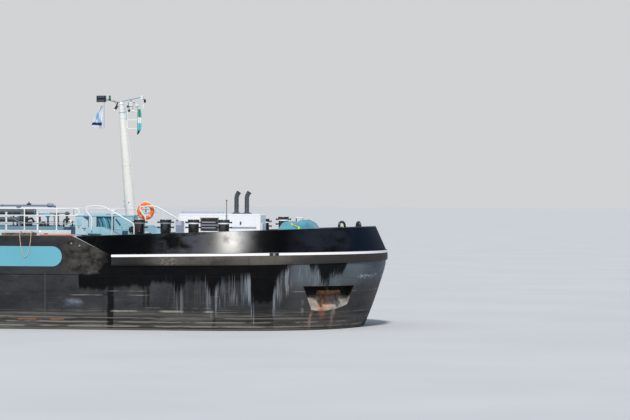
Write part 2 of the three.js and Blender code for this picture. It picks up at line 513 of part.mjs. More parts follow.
// arches turned along the bulwark; columns: name, side, x, top
for (const [name, s, x, top] of [['fairlead_starboard', -1, 53.51, 5.52], ['fairlead_port', 1, 53.567, 5.485]]) {
  const y = s * 2.35, w = 0.17, ca = Math.cos(FAIRLEAD_TURN), sa = -s * Math.sin(FAIRLEAD_TURN);
  const q = (u, z) => [x + u * ca, y + u * sa, z];
  const foot = [[-0.26, -0.12], [0.26, -0.12], [0.26, 0.12], [-0.26, 0.12]].map(([u, v]) => [x + u * ca - v * sa, y + u * sa + v * ca]);
  node(name, join([prism(foot, 'xy', FOREDECK + GAP, FOREDECK + 0.05),
    chain([q(-w, 4.38), q(-w, top - 0.12), q(-w * 0.6, top - 0.05), q(w * 0.6, top - 0.05), q(w, top - 0.12), q(w, 4.38)], 0.05, 8),
    rod(q(-w, 5.0), q(w, 5.0), 0.04, 8)]), 'black', [x, y, 4.4]);
}

// ---------------------------------------------------------------- folding bow mast
{
  const [px, , pz] = MAST_PIVOT;
  const half = 0.22;
  // stands on the sloping plate just forward of the deck step
  const bracket = join([
    prism([[44.52, FOREDECK + GAP], [45.0, FOREDECK + GAP], [45.0, 4.55], [44.30, 4.55], [44.30, 4.44]], 'xz', -half - 0.12, half + 0.12),
    prism([[44.36, 4.5], [44.98, 4.5], [44.72, pz + 0.14], [44.36, pz + 0.14]], 'xz', half, half + 0.05),
    prism([[44.36, 4.5], [44.98, 4.5], [44.72, pz + 0.14], [44.36, pz + 0.14]], 'xz', -half - 0.05, -half)]);
  node('mast_bracket', bracket, 'white', [px, 0, 4.5]);
  const mast = pivot(MAST_PIVOT);
  const a = MAST_LEAN * Math.PI / 180;
  const up = (d, off = 0, y = 0) => [px - d * Math.sin(a) + off * Math.cos(a), y, pz + d * Math.cos(a) + off * Math.sin(a)];
  node('bow_mast', join([
    rod(up(-0.30), up(MAST_LEN), 0.205, 12, 0.10),
    rod([px, -half + 0.006, pz], [px, half - 0.006, pz], 0.06, 10)]), 'white', MAST_PIVOT, mast);
  const cross = [
    rod(up(MAST_LEN + 0.006), up(MAST_LEN + 0.05), 0.11, 10),
    rod(up(MAST_LEN + 0.04, -0.92), up(MAST_LEN + 0.04, 0), 0.035, 8),
    rod(up(MAST_LEN + 0.04, 0), up(MAST_LEN + 0.14, 0.95), 0.035, 8),
    box(43.08, 43.42, -0.09, 0.09, 10.18, 10.52),
    box(44.50, 44.70, -0.08, 0.08, 10.06, 10.38),
    rod([44.98, 0, 10.30], [44.98, 0, 10.46], 0.07, 10),
  ];
  node('mast_crosstree', join(cross), 'deckGrey', up(MAST_LEN), mast);
  node('pennant', box(42.84, 43.30, -0.012, 0.012, 9.28, 10.12), 'flag', [43.07, 0, 10.2], mast);
  node('house_flag', box(44.78, 45.02, -0.012, 0.012, 9.02, 9.96), 'flag', [44.9, 0, 9.9], mast);
}

// ---------------------------------------------------------------- lifebuoy on its stand
{
  const x = 44.0, y = 5.215, z = 5.79;
  const ring = new THREE.TorusGeometry(0.31 * M, 0.062 * M, 6, 18);
  const m = at(x, y, z).multiply(new THREE.Matrix4().makeRotationX(Math.PI / 2));
  node('lifebuoy', solid(ring, m), 'orange', [x, y, z]);
}

// ---------------------------------------------------------------- rope hank on the deck edge and its loop over the side
{
  const z0 = DEPTH + GAP, top = z0 + 0.115, xa = 40.455, xb = 41.885, yc = -5.505, w = 0.098;
  // a long hank with round ends, lying outside the foot plate of the rail
  const outline = [];
  for (const [cx, t0] of [[xb - w, -90], [xa + w, 90]]) for (let k = 0; k <= 4; k++) {
    const t = (t0 + k * 45) * Math.PI / 180;
    outline.push([cx + w * Math.cos(t), yc + w * Math.sin(t)]);
  }
  node('rope_hank', prism(outline, 'xy', z0, top), 'rope', [41, yc, z0]);
  // columns: x, y, z along the loop, from the foot plate over the hank and down the side
  const route = [[41.23, -5.338, 5.000], [41.23, -5.37, 5.022], [41.23, -5.41, 5.042], [41.23, -5.50, 5.052], [41.23, -5.58, 5.045], [41.23, -5.63, 5.015], [41.232, -5.657, 4.96],
    [41.235, -5.665, 4.88], [41.25, -5.665, 4.70], [41.28, -5.665, 4.45], [41.33, -5.665, 4.24], [41.385, -5.665, 4.11], [41.455, -5.665, 4.065], [41.525, -5.665, 4.11],
    [41.58, -5.665, 4.24], [41.63, -5.665, 4.45], [41.665, -5.665, 4.70], [41.68, -5.665, 4.88], [41.68, -5.657, 4.96], [41.68, -5.63, 5.018], [41.682, -5.58, 5.046],
    [41.69, -5.52, 5.045], [41.71, -5.465, 5.04]];
  node('rope_loop', bar(route, ROPE_R, 8, false, 54), 'rope', [41.36, -5.6, 4.9]);
}

// ---------------------------------------------------------------- accommodation
const WALL = 0.10;
// A hinge knuckle outside the wall face at hy, reaching dx along the leaf.
function hingeLug([hx, hyAxis], dx, s, hy, z) {
  const ys = (a, b) => [Math.min(s * a, s * b), Math.max(s * a, s * b)];
  const xs = (a, b) => [Math.min(hx + a, hx + b), Math.max(hx + a, hx + b)];
  return join([box(...xs(dx, 0), ...ys(hy + 0.012, hy + 0.05), z, z + 0.12),
    box(...xs(dx, dx * 0.4), ...ys(hy - 0.02, hy + 0.03), z, z + 0.12),
    rod([hx, hyAxis, z], [hx, hyAxis, z + 0.12], 0.03, 8)]);
}
const HOUSE = { x0: -50.6, x1: -43.4, hy: 4.3 };
{
  const { x0, x1, hy } = HOUSE;
  const outline = (i) => [[x0 + i, -hy + i], [x1 - 0.9, -hy + i], [x1 - i, -hy + 0.9], [x1 - i, hy - 0.9], [x1 - 0.9, hy - i], [x0 + i, hy - i]];
  let shell = prism(outline(0), 'xy', DEPTH + GAP, HOUSE_TOP).subtract(prism(outline(WALL), 'xy', DEPTH - 1, HOUSE_TOP - WALL));
  const holes = [];
  for (const s of [-1, 1]) {
    for (const x of [-49.4, -47.6, -46.0]) holes.push(box(x - 0.45, x + 0.45, s * hy - 0.3, s * hy + 0.3, 6.0, 6.65));
    holes.push(box(-45.22, -44.38, s * hy - 0.3, s * hy + 0.3, DEPTH + 0.10, 6.90));
  }
  for (const y of [-2.2, 0, 2.2]) holes.push(box(x1 - 0.3, x1 + 0.3, y - 0.5, y + 0.5, 6.0, 6.65), box(x0 - 0.3, x0 + 0.3, y - 0.4, y + 0.4, 6.0, 6.65));
  node('accommodation', cut(shell, ...holes), 'white', [-47, 0, 5]);
  // doors hinged at their forward edge, opening outwards
  for (const [name, s] of [['accommodation_door_starboard', -1], ['accommodation_door_port', 1]]) {
    const yIn = s * (hy - 0.06), yOut = s * (hy + 0.0);
    const lo = Math.min(yIn, yOut), hi = Math.max(yIn, yOut);
    const hinge = [-44.43, s * (hy + 0.05), 5.9];
    const leaf = cut(box(-45.17, -44.48, lo, hi, DEPTH + 0.15, 6.85), box(-44.98, -44.64, lo - 0.1, hi + 0.1, 6.05, 6.55));
    const lugs = [5.4, 6.5].map((z) => hingeLug(hinge, -0.17, s, hy, z));
    node(name, join([leaf, ...lugs]), 'navy', hinge, pivot(hinge));
  }
}

// ---------------------------------------------------------------- funnels
{
  const z = HOUSE_TOP + GAP;
  const parts = [box(-50.2, -48.9, -2.9, 2.9, z, 7.55)];
  for (const y of [-2.2, 2.2]) parts.push(rod([-49.6, y, 7.5], [-49.7, y, 8.6], 0.32, 14, 0.28), rod([-49.7, y, 8.55], [-49.78, y, 8.9], 0.14, 10));
  node('funnels', join(parts), 'lightBlue', [-49.6, 0, 7.2]);
}

// ---------------------------------------------------------------- wheelhouse on its lift column
{
  const lift = pivot([LIFT_X, 0, CAB_FLOOR]);
  const x0 = -42.5, x1 = -38.7, hy = 2.1;
  // plan with cut corners forward; z rings lean the front slightly
  const plan = (i) => [[x0 + i, -hy + i], [x1 - 1.0, -hy + i], [x1 - i, -hy + 0.9], [x1 - i, hy - 0.9], [x1 - 1.0, hy - i], [x0 + i, hy - i]];
  let cab = prism(plan(0), 'xy', CAB_FLOOR, CAB_TOP).subtract(prism(plan(0.08), 'xy', CAB_FLOOR + 0.10, CAB_TOP + 1));
  const sill = 6.38, head = 7.50, holes = [];
  for (const y of [-0.62, 0.62]) holes.push(box(x1 - 0.4, x1 + 0.4, y - 0.56, y + 0.56, sill, head));
  for (const s of [-1, 1]) {
    holes.push(prism([[x1 - 0.86, s * (hy - 0.3)], [x1 - 0.14, s * (hy - 1.05)], [x1 + 0.3, s * (hy - 0.6)], [x1 - 0.4, s * (hy + 0.2)]], 'xy', sill, head));
    holes.push(box(x1 - 2.35, x1 - 1.12, s * hy - 0.3, s * hy + 0.3, sill, head));
  }
  holes.push(box(x0 + 0.15, x0 + 1.25, -hy - 0.3, -hy + 0.3, sill, head));
  holes.push(box(x0 + 0.20, x0 + 0.98, hy - 0.3, hy + 0.3, CAB_FLOOR + 0.12, head));
  for (const y of [-1.0, 1.0]) holes.push(box(x0 - 0.3, x0 + 0.3, y - 0.7, y + 0.7, sill, head));
  node('wheelhouse', cut(cab, ...holes), 'white', [LIFT_X, 0, CAB_FLOOR], lift);
  node('wheelhouse_roof', join([prism([[x0 - 0.2, -hy - 0.15], [x1 - 0.8, -hy - 0.15], [x1 + 0.25, -hy + 0.7], [x1 + 0.25, hy - 0.7], [x1 - 0.8, hy + 0.15], [x0 - 0.2, hy + 0.15]], 'xy', CAB_TOP + GAP, CAB_TOP + 0.16),
    rod([-39.6, 0, CAB_TOP + 0.1], [-39.6, 0, CAB_TOP + 0.52], 0.12, 10),
    rod([-41.9, 0, CAB_TOP + 0.1], [-41.9, 0, CAB_TOP + 1.7], 0.06, 8, 0.04), rod([-41.9, -0.8, CAB_TOP + 1.2], [-41.9, 0.8, CAB_TOP + 1.2], 0.03, 6)]), 'white', [LIFT_X, 0, CAB_TOP], lift);
  node('radar_scanner', join([rod([-39.6, 0, CAB_TOP + 0.524], [-39.6, 0, CAB_TOP + 0.64], 0.09, 10), box(-39.68, -39.52, -1.0, 1.0, CAB_TOP + 0.62, CAB_TOP + 0.78)]), 'white', [-39.6, 0, CAB_TOP + 0.6], pivot([-39.6, 0, CAB_TOP + 0.6], lift));
  const hinge = [x0 + 0.22, hy + 0.05, 6.3];
  const leaf = cut(box(x0 + 0.27, x0 + 0.93, hy - 0.06, hy, CAB_FLOOR + 0.17, head - 0.05), box(x0 + 0.38, x0 + 0.80, hy - 0.2, hy + 0.1, sill, head - 0.2));
  const lugs = [5.8, 7.0].map((z) => hingeLug(hinge, 0.17, 1, hy, z));
  node('wheelhouse_door', join([leaf, ...lugs]), 'white', hinge, pivot(hinge, lift));
  node('lift_column', join([box(LIFT_X - 0.5, LIFT_X + 0.5, -0.5, 0.5, 0.75, CAB_FLOOR - 0.10), box(LIFT_X - 1.2, LIFT_X + 1.2, -1.2, 1.2, CAB_FLOOR - 0.16, CAB_FLOOR - GAP)]), 'deckGrey', [LIFT_X, 0, 5], lift);
}

// ---------------------------------------------------------------- stern mast
{
  const px = -47.6, z = HOUSE_TOP + GAP;
  node('stern_mast_foot', join([box(px - 0.2, px + 0.2, -0.2, 0.2, z, z + 0.05), box(px - 0.12, px + 0.12, 0.10, 0.15, z, 7.42), box(px - 0.12, px + 0.12, -0.15, -0.10, z, 7.42)]), 'white', [px, 0, z]);
  const p = [px, 0, 7.34];
  node('stern_mast', join([rod([px, 0, 7.24], [px, 0, 9.9], 0.07, 10, 0.045), rod([px, -0.094, 7.34], [px, 0.094, 7.34], 0.03, 8),
    rod([px, -0.9, 9.2], [px, 0.9, 9.2], 0.025, 6), rod([px, 0, 9.85], [px, 0, 10.02], 0.06, 8)]), 'white', p, pivot(p));
}

// ---------------------------------------------------------------- stern bulwark
{
  const half = sternHalf(-49.8, -HALF_L, HB, 2.7).filter(([x]) => x < -48.5);
  const inset = (pts, d) => pts.map(([x, y], j) => {
    const a = pts[Math.max(0, j - 1)], b = pts[Math.min(pts.length - 1, j + 1)];
    const l = Math.hypot(b[0] - a[0], b[1] - a[1]);
    const n = j === pts.length - 1 ? [-1, 0] : [(b[1] - a[1]) / l, -(b[0] - a[0]) / l];
    return [x - n[0] * d, Math.max(0, y - n[1] * d)];
  });
  const outer = inset(half, 0.03), inner = inset(half, 0.09);
  const ring = outer.map(([x, y], j) => [[x, y, DEPTH + GAP], [x, y, 5.80], [inner[j][0], inner[j][1], 5.80], [inner[j][0], inner[j][1], DEPTH + GAP]]);
  ring[ring.length - 1] = ring[ring.length - 1].map(([x, , z]) => [x, 0, z]);
  const all = [...ring.slice(0, -1), ring[ring.length - 1], ...ring.slice(0, -1).reverse().map((r) => mirrorY(r))];
  node('stern_bulwark', loft(all), 'black', [-52, 0, 5.3]);
  for (const [name, s] of [['aft_bollards_starboard', -1], ['aft_bollards_port', 1]]) {
    node(name, join(postPair(-47.9, s * 4.95, DEPTH + GAP, 5.75, 0.17, 0.85)), 'black', [-47.9, s * 4.95, DEPTH]);
  }
}

// ---------------------------------------------------------------- propeller, nozzle and rudders
{
  const ringProfile = [[0.845, -0.42], [0.965, -0.36], [0.945, 0.40], [0.86, 0.44], [0.84, 0.10], [0.845, -0.42]];
  const g = new THREE.LatheGeometry(ringProfile.map(([r, x]) => new THREE.Vector2(r * M, x * M)), 28);
  const m = at(PROP_X, 0, PROP_Z).multiply(new THREE.Matrix4().makeRotationZ(-Math.PI / 2));
  const nozzle = solid(g, m);
  const bottomClip = box(-51, -49.5, -2, 2, -1, 0.004);
  const stay = box(PROP_X - 0.3, PROP_X + 0.3, -0.07, 0.07, 1.86, 2.02 - GAP);
  node('propeller_nozzle', cut(nozzle, bottomClip).add(stay), 'black', [PROP_X, 0, PROP_Z]);
  const hub = rod([PROP_X + 0.30, 0, PROP_Z], [PROP_X - 0.34, 0, PROP_Z], 0.15, 14, 0.09);
  // flat blades set at their pitch, round the hub
  const outline = [[-0.13, 0], [-0.22, 0.16], [-0.29, 0.36], [-0.27, 0.52], [-0.11, 0.66], [0.11, 0.66], [0.27, 0.52], [0.29, 0.36], [0.22, 0.16], [0.13, 0]];
  const blades = [0, 1, 2, 3].map((k) => prism(outline, 'yz', -0.03, 0.03).rotate([0, 0, 40]).translate([0, 0, 0.12 * M])
    .rotate([k * 90 + 17, 0, 0]).translate([PROP_X * M, 0, PROP_Z * M]));
  node('propeller', join([hub, ...blades]), 'bronze', [PROP_X, 0, PROP_Z], pivot([PROP_X, 0, PROP_Z]));
  for (const [name, s] of [['rudder_starboard', -1], ['rudder_port', 1]]) {
    const y = s * RUDDER_Y, x = RUDDER_X;
    const foil = [[x + 0.45, 0], [x + 0.36, 0.055], [x + 0.1, 0.08], [x - 0.4, 0.06], [x - 1.0, 0.012], [x - 1.0, -0.012], [x - 0.4, -0.06], [x + 0.1, -0.08], [x + 0.36, -0.055]]
      .map(([u, v]) => [u, y + v]).reverse();
    node(name, join([prism(foil, 'xy', 0.12, 1.74), rod([x, y, 1.7], [x, y, 2.02 - GAP], 0.07, 10)]), 'black', [x, y, 1.0], pivot([x, y, 1.0]));
  }
}

group.updateMatrixWorld(true);
export default group;
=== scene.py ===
# River barge, a 1:10 scale model afloat: fine shapes, finishes, rope, cloth, camera and light.
# All shapes are given in metres of the real barge (S turns them into model metres), in the frame of the part:
# +X bow, +Y port, +Z up, origin at the middle of the flat bottom. The waterline is at z = 1.24.
import math

import bpy
import bmesh
import numpy as np
from mathutils import Matrix, Vector


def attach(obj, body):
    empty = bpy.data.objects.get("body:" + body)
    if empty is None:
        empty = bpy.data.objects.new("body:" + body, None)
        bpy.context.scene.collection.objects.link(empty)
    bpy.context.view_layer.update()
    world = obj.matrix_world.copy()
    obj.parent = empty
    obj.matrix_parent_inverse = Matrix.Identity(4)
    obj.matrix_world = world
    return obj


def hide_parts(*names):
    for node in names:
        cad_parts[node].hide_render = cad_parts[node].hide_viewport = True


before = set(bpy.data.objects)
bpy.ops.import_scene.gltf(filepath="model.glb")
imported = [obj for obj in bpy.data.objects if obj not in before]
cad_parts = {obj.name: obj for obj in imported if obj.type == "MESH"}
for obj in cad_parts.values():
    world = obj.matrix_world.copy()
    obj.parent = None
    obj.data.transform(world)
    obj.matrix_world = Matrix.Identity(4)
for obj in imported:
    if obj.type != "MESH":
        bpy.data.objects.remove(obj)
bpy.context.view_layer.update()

S = 0.1
WATERLINE = 1.24
scene = bpy.context.scene

# =============================================================================== camera
cam_data = bpy.data.cameras.new("camera")
cam_data.sensor_width = 36.0
cam_data.lens = 148.57
cam_data.clip_start, cam_data.clip_end = 0.5, 900.0
cam = bpy.data.objects.new("camera", cam_data)
scene.collection.objects.link(cam)
CAM_AZ, CAM_PITCH, CAM_ROLL = math.radians(8.322), math.radians(-0.088), 0.004
cam_at = Vector((6.740, -10.471, 0.610))
look = Vector((-math.sin(CAM_AZ) * math.cos(CAM_PITCH), math.cos(CAM_AZ) * math.cos(CAM_PITCH), math.sin(CAM_PITCH)))
cam.matrix_world = Matrix.Translation(cam_at) @ look.to_track_quat("-Z", "Y").to_matrix().to_4x4() @ Matrix.Rotation(CAM_ROLL, 4, "Z")
scene.camera = cam

# =============================================================================== node materials
def srgb(r, g, b):
    return tuple((c / 255 / 12.92 if c / 255 <= 0.04045 else ((c / 255 + 0.055) / 1.055) ** 2.4) for c in (r, g, b)) + (1.0,)


class Sk:
    """A number or colour in a node tree, with arithmetic."""

    def __init__(self, tree, socket):
        self.t, self.s = tree, socket

    def _op(self, op, *others, swap=False):
        n = self.t.new("ShaderNodeMath")
        n.operation = op
        args = [self, *others]
        if swap:
            args = args[::-1]
        for i, a in enumerate(args):
            self.t.put(a, n.inputs[i])
        return Sk(self.t, n.outputs[0])

    def __add__(self, o): return self._op("ADD", o)
    def __radd__(self, o): return self._op("ADD", o)
    def __sub__(self, o): return self._op("SUBTRACT", o)
    def __rsub__(self, o): return self._op("SUBTRACT", o, swap=True)
    def __mul__(self, o): return self._op("MULTIPLY", o)
    def __rmul__(self, o): return self._op("MULTIPLY", o)
    def __truediv__(self, o): return self._op("DIVIDE", o)
    def abs(self): return self._op("ABSOLUTE")
    def max(self, o): return self._op("MAXIMUM", o)
    def min(self, o): return self._op("MINIMUM", o)
    def frac(self): return self._op("FRACT")
    def sin(self): return self._op("SINE")
    def pow(self, o): return self._op("POWER", o)

    def ss(self, a, b):
        """0 before a, 1 after b, smooth between (b may be below a)."""
        n = self.t.new("ShaderNodeMapRange")
        n.interpolation_type = "SMOOTHSTEP"
        lo, hi = (a, b) if a < b else (b, a)
        n.inputs["From Min"].default_value, n.inputs["From Max"].default_value = lo, hi
        n.inputs["To Min"].default_value, n.inputs["To Max"].default_value = (0, 1) if a < b else (1, 0)
        self.t.put(self, n.inputs["Value"])
        return Sk(self.t, n.outputs["Result"])

    def lin(self, a, b, c, d):
        n = self.t.new("ShaderNodeMapRange")
        for key, v in zip(("From Min", "From Max", "To Min", "To Max"), (a, b, c, d)):
            n.inputs[key].default_value = v
        self.t.put(self, n.inputs["Value"])
        return Sk(self.t, n.outputs["Result"])

    def band(self, a, b, soft):
        """1 between a and b."""
        return self.ss(a - soft, a + soft) * self.ss(b + soft, b - soft)


class Paint:
    """One procedural material. Coordinates are metres of the real barge, fixed to the piece."""

    def __init__(self, name, **sockets):
        self.mat = bpy.data.materials.new(name)
        self.mat.use_nodes = True
        self.nt = self.mat.node_tree
        self.nt.nodes.clear()
        out = self.new("ShaderNodeOutputMaterial")
        self.bsdf = self.new("ShaderNodeBsdfPrincipled")
        self.nt.links.new(self.bsdf.outputs[0], out.inputs[0])
        for key, v in sockets.items():
            self.bsdf.inputs[key.replace("_", " ")].default_value = v
        tc = self.new("ShaderNodeTexCoord")
        sc = self.new("ShaderNodeVectorMath")
        sc.operation = "SCALE"
        sc.inputs["Scale"].default_value = 1 / S
        self.nt.links.new(tc.outputs["Object"], sc.inputs[0])
        self.p = sc.outputs[0]
        sep = self.new("ShaderNodeSeparateXYZ")
        self.nt.links.new(self.p, sep.inputs[0])
        self.x, self.y, self.z = (Sk(self, s) for s in sep.outputs)
        geo = self.new("ShaderNodeNewGeometry")
        nsep = self.new("ShaderNodeSeparateXYZ")
        self.nt.links.new(geo.outputs["Normal"], nsep.inputs[0])
        self.nx, self.ny, self.nz = (Sk(self, s) for s in nsep.outputs)

    def new(self, kind):
        return self.nt.nodes.new(kind)

    def put(self, value, socket):
        if isinstance(value, Sk):
            self.nt.links.new(value.s, socket)
        else:
            socket.default_value = value

    def scaled(self, scale, shift=(0, 0, 0)):
        if isinstance(scale, (int, float)):
            scale = (scale,) * 3
        n = self.new("ShaderNodeVectorMath")
        n.operation = "MULTIPLY_ADD"
        self.nt.links.new(self.p, n.inputs[0])
        n.inputs[1].default_value = scale
        n.inputs[2].default_value = shift
        return n.outputs[0]

    def noise(self, scale, detail=3.0, rough=0.55, shift=(0, 0, 0), warp=0.0):
        n = self.new("ShaderNodeTexNoise")
        n.inputs["Scale"].default_value = 1.0
        n.inputs["Detail"].default_value = detail
        n.inputs["Roughness"].default_value = rough
        n.inputs["Distortion"].default_value = warp
        self.nt.links.new(self.scaled(scale, shift), n.inputs["Vector"])
        return Sk(self, n.outputs["Fac"])

    def cells(self, scale, feature="F1", shift=(0, 0, 0)):
        n = self.new("ShaderNodeTexVoronoi")
        n.feature = feature
        n.inputs["Scale"].default_value = 1.0
        self.nt.links.new(self.scaled(scale, shift), n.inputs["Vector"])
        return Sk(self, n.outputs["Distance"])

    def mix(self, fac, a, b, mode="MIX"):
        n = self.new("ShaderNodeMix")
        n.data_type = "RGBA"
        n.blend_type = mode
        self.put(fac, n.inputs["Factor"])
        ins = [i for i in n.inputs if i.type == "RGBA"]
        self.put(a, ins[0])
        self.put(b, ins[1])
        return Sk(self, [o for o in n.outputs if o.type == "RGBA"][0])

    def curve(self, v, pts):
        """Straight lines through pts (v, value), level beyond both ends."""
        a, b = pts[0][0], pts[-1][0]
        lo, hi = min(q[1] for q in pts), max(q[1] for q in pts)
        n = self.new("ShaderNodeValToRGB")
        n.color_ramp.interpolation = "LINEAR"
        els = n.color_ramp.elements
        for i, (u, w) in enumerate(pts):
            g = (w - lo) / (hi - lo)
            e = els[0] if i == 0 else (els[len(els) - 1] if i == len(pts) - 1 else els.new((u - a) / (b - a)))
            e.color = (g, g, g, 1)
        self.put(v.lin(a, b, 0, 1), n.inputs["Fac"])
        return Sk(self, n.outputs["Color"]) * (hi - lo) + lo

    def colour(self, c):
        self.put(c, self.bsdf.inputs["Base Color"])
        return self

    def rough(self, r):
        self.put(r, self.bsdf.inputs["Roughness"])
        return self

    def metal(self, m):
        self.put(m, self.bsdf.inputs["Metallic"])
        return self

    def bump(self, height, strength=0.4, distance=0.002):
        n = self.new("ShaderNodeBump")
        n.inputs["Strength"].default_value = strength
        n.inputs["Distance"].default_value = distance
        self.put(height, n.inputs["Height"])
        self.nt.links.new(n.outputs[0], self.bsdf.inputs["Normal"])
        return self


def painted(name, base, worn=None, dirt=srgb(70, 62, 52), grime=0.35, rust=0.0, gloss=0.42, grain=0.5, tone=0.22, **sockets):
    """Ship's paint: tone changes, runs of dirt down upright faces, chips, an uneven roughness and a brushed grain."""
    t = Paint(name, **sockets)
    worn = worn or tuple(min(1, c * 1.12 + 0.01) for c in base[:3]) + (1,)
    broad = t.noise((0.55, 0.55, 0.8), 4)
    fine = t.noise(9.0, 5, 0.62)
    runs = t.noise((6.5, 6.5, 0.45), 4, 0.6)
    c = t.mix(broad.ss(0.32, 0.68) * 0.75, base, worn)
    c = t.mix(fine.ss(0.42, 0.75) * tone, c, tuple(v * 0.72 for v in base[:3]) + (1,))
    upright = t.nz.abs().ss(0.75, 0.35)
    c = t.mix(runs.ss(0.52, 0.78) * upright * grime, c, dirt)
    c = t.mix(t.noise(1.7, 5, 0.65, (3, 8, 1)).ss(0.55, 0.80) * (grime * 0.8), c, dirt)
    r = fine.lin(0.3, 0.7, gloss - 0.07, gloss + 0.13) + runs.ss(0.5, 0.8) * 0.12
    if rust:
        spot = t.noise(3.6, 6, 0.66, (11, 2, 7)).ss(0.66 - 0.1 * rust, 0.74) * rust
        spot = spot.min(1.0)
        c = t.mix(spot, c, t.mix(fine.ss(0.35, 0.65), srgb(92, 48, 26), srgb(140, 84, 46)))
        r = r + spot * 0.3
    t.colour(c).rough(r.min(0.95))
    t.bump(fine * 0.6 + t.noise((30, 30, 30), 2) * 0.4, 0.12 * grain, 0.0012)
    return t.mat


M = {}

# ---- worn black hull plating
def hull_material(name):
    t = Paint(name, Specular_IOR_Level=0.07)
    x, y, z = t.x, t.y, t.z
    patch = t.noise((0.30, 0.30, 0.75), 5, 0.58)
    mott = t.noise((1.9, 1.9, 3.4), 6, 0.64, (4, 1, 9))
    fine = t.noise((7, 7, 9), 5, 0.65, (1, 7, 3))
    scrape = t.noise((0.22, 0.22, 9.0), 6, 0.62, (2, 5, 0))
    thin = t.noise((0.45, 0.45, 34.0), 4, 0.6, (7, 3, 1))
    runs = t.noise((5.2, 5.2, 0.30), 5, 0.60, (9, 0, 2))
    wash = t.noise((15, 15, 0.5), 4, 0.62, (5, 9, 4))
    wob = mott - 0.5
    # old weathered black
    c = t.mix(patch.ss(0.36, 0.66), srgb(45, 46, 48), srgb(62, 63, 65))
    c = t.mix(mott.ss(0.54, 0.72) * 0.60, c, srgb(32, 32, 34))
    c = t.mix(mott.ss(0.46, 0.30) * 0.40, c, srgb(78, 77, 76))
    c = t.mix(scrape.ss(0.55, 0.70) * 0.35, c, srgb(40, 40, 41))
    # scuffed patch under the slanted end of the side
    scuff = (x + wob * 0.6).band(43.05, 44.80, 0.15) * (z + wob * 0.5).ss(3.35, 3.55)
    c = t.mix(scuff * 0.85, c, t.mix(mott.ss(0.36, 0.64), srgb(26, 25, 24), srgb(76, 72, 67)))
    c = t.mix(scuff * fine.ss(0.58, 0.70) * 0.5, c, srgb(112, 104, 96))
    # painted sky reflection: lighter and bluer forward and high up, where the bow turns to the sky
    sky_reflection_tone = t.mix(z.ss(2.6, 3.25), srgb(68, 68, 68), srgb(94, 102, 108))
    sky_reflection_tone = t.mix(x.ss(53.7, 54.4) * z.ss(3.0, 3.5) * 0.65, sky_reflection_tone, srgb(112, 120, 126))
    fwd = x.ss(51.5, 52.2)
    c = t.mix(fwd * 0.85, c, t.mix(patch.ss(0.38, 0.66) * 0.45, sky_reflection_tone, srgb(56, 56, 56)))
    c = t.mix(fwd * mott.ss(0.56, 0.72) * 0.30, c, srgb(48, 47, 46))
    # rubbed and faded lower third
    low = (z + mott * 0.4 - 0.2).ss(2.12, 1.88)
    c = t.mix(low * 0.78, c, t.mix(scrape.ss(0.38, 0.62), srgb(46, 46, 45), srgb(90, 88, 85)))
    c = t.mix(low * thin.ss(0.56, 0.69) * 0.65, c, srgb(140, 136, 129))
    c = t.mix(z.ss(2.9, 2.3) * thin.ss(0.62, 0.72) * 0.35, c, srgb(108, 106, 102))
    # dark and light lines of old joints
    c = t.mix((z - 3.38 + wob * 0.02).abs().ss(0.035, 0.01) * x.ss(43.6, 43.5) * 0.7, c, srgb(18, 18, 20))
    c = t.mix((x - 42.25).abs().ss(0.035, 0.01) * z.band(1.75, 3.45, 0.1) * 0.35, c, srgb(96, 96, 98))
    c = t.mix((x + wob * 0.9).band(43.05, 43.65, 0.15) * (z + wob * 0.45).band(2.20, 2.42, 0.10) * fine.lin(0.35, 0.65, 0.35, 0.9), c, srgb(108, 118, 132))
    # fresh black below the knuckle: its lower edge runs down in soft tongues
    aft = ((43.4, 3.30), (43.57, 3.30), (43.61, 2.80), (44.55, 2.78), (44.9, 2.88), (45.9, 2.93), (46.15, 2.86), (46.42, 2.90), (46.47, 3.09), (47.32, 3.07),
           (47.44, 2.68), (47.70, 2.70), (47.84, 3.08), (48.62, 3.10), (48.76, 2.56), (48.98, 2.54), (49.18, 2.98), (49.7, 3.12), (50.34, 3.12), (50.4, 2.30))
    fore = ((50.4, 2.30), (51.18, 2.30), (51.27, 2.88), (51.5, 3.22), (51.72, 3.45), (51.92, 3.88), (52.50, 3.88), (52.60, 3.46), (52.76, 3.50), (52.84, 3.62),
            (52.95, 3.06), (53.06, 2.93), (53.20, 2.98), (53.30, 3.30), (53.44, 3.28), (53.60, 3.36), (53.76, 3.58), (53.92, 3.95), (55.0, 3.98))
    g = x.ss(50.395, 50.405)
    edge = t.curve(x, aft) * (1 - g) + t.curve(x, fore) * g
    rag = (runs - 0.5) * 0.34 + (wash - 0.5) * 0.22
    on = (x + wob * 0.9 - (z - 3.5) * 0.30).ss(44.30, 44.55).max((x + wob * 0.10).ss(43.55, 43.62) * (z + wob * 0.25).ss(3.48, 3.38))
    fresh = (z - edge + rag).ss(-0.10, 0.13) * on
    for x0, w, zb, a in ((46.20, 0.045, 2.05, 0.55), (46.36, 0.05, 2.02, 0.7), (48.97, 0.06, 1.24, 0.5), (50.80, 0.40, 1.24, 0.52), (44.87, 0.13, 1.24, 0.9), (-40.2, 0.3, 1.5, 0.6), (-36.9, 0.1, 1.5, 0.7)):
        gate = (x + wob * 0.10 + (wash - 0.5) * 0.10).band(x0 - w, x0 + w, 0.04) * (z + runs * 0.4 - 0.2).ss(zb - 0.05, zb + 0.25)
        fresh = fresh.max(gate * a)
    c = t.mix(fresh * 0.97, c, t.mix(mott.ss(0.35, 0.7), srgb(5, 5, 6), srgb(11, 11, 12)))
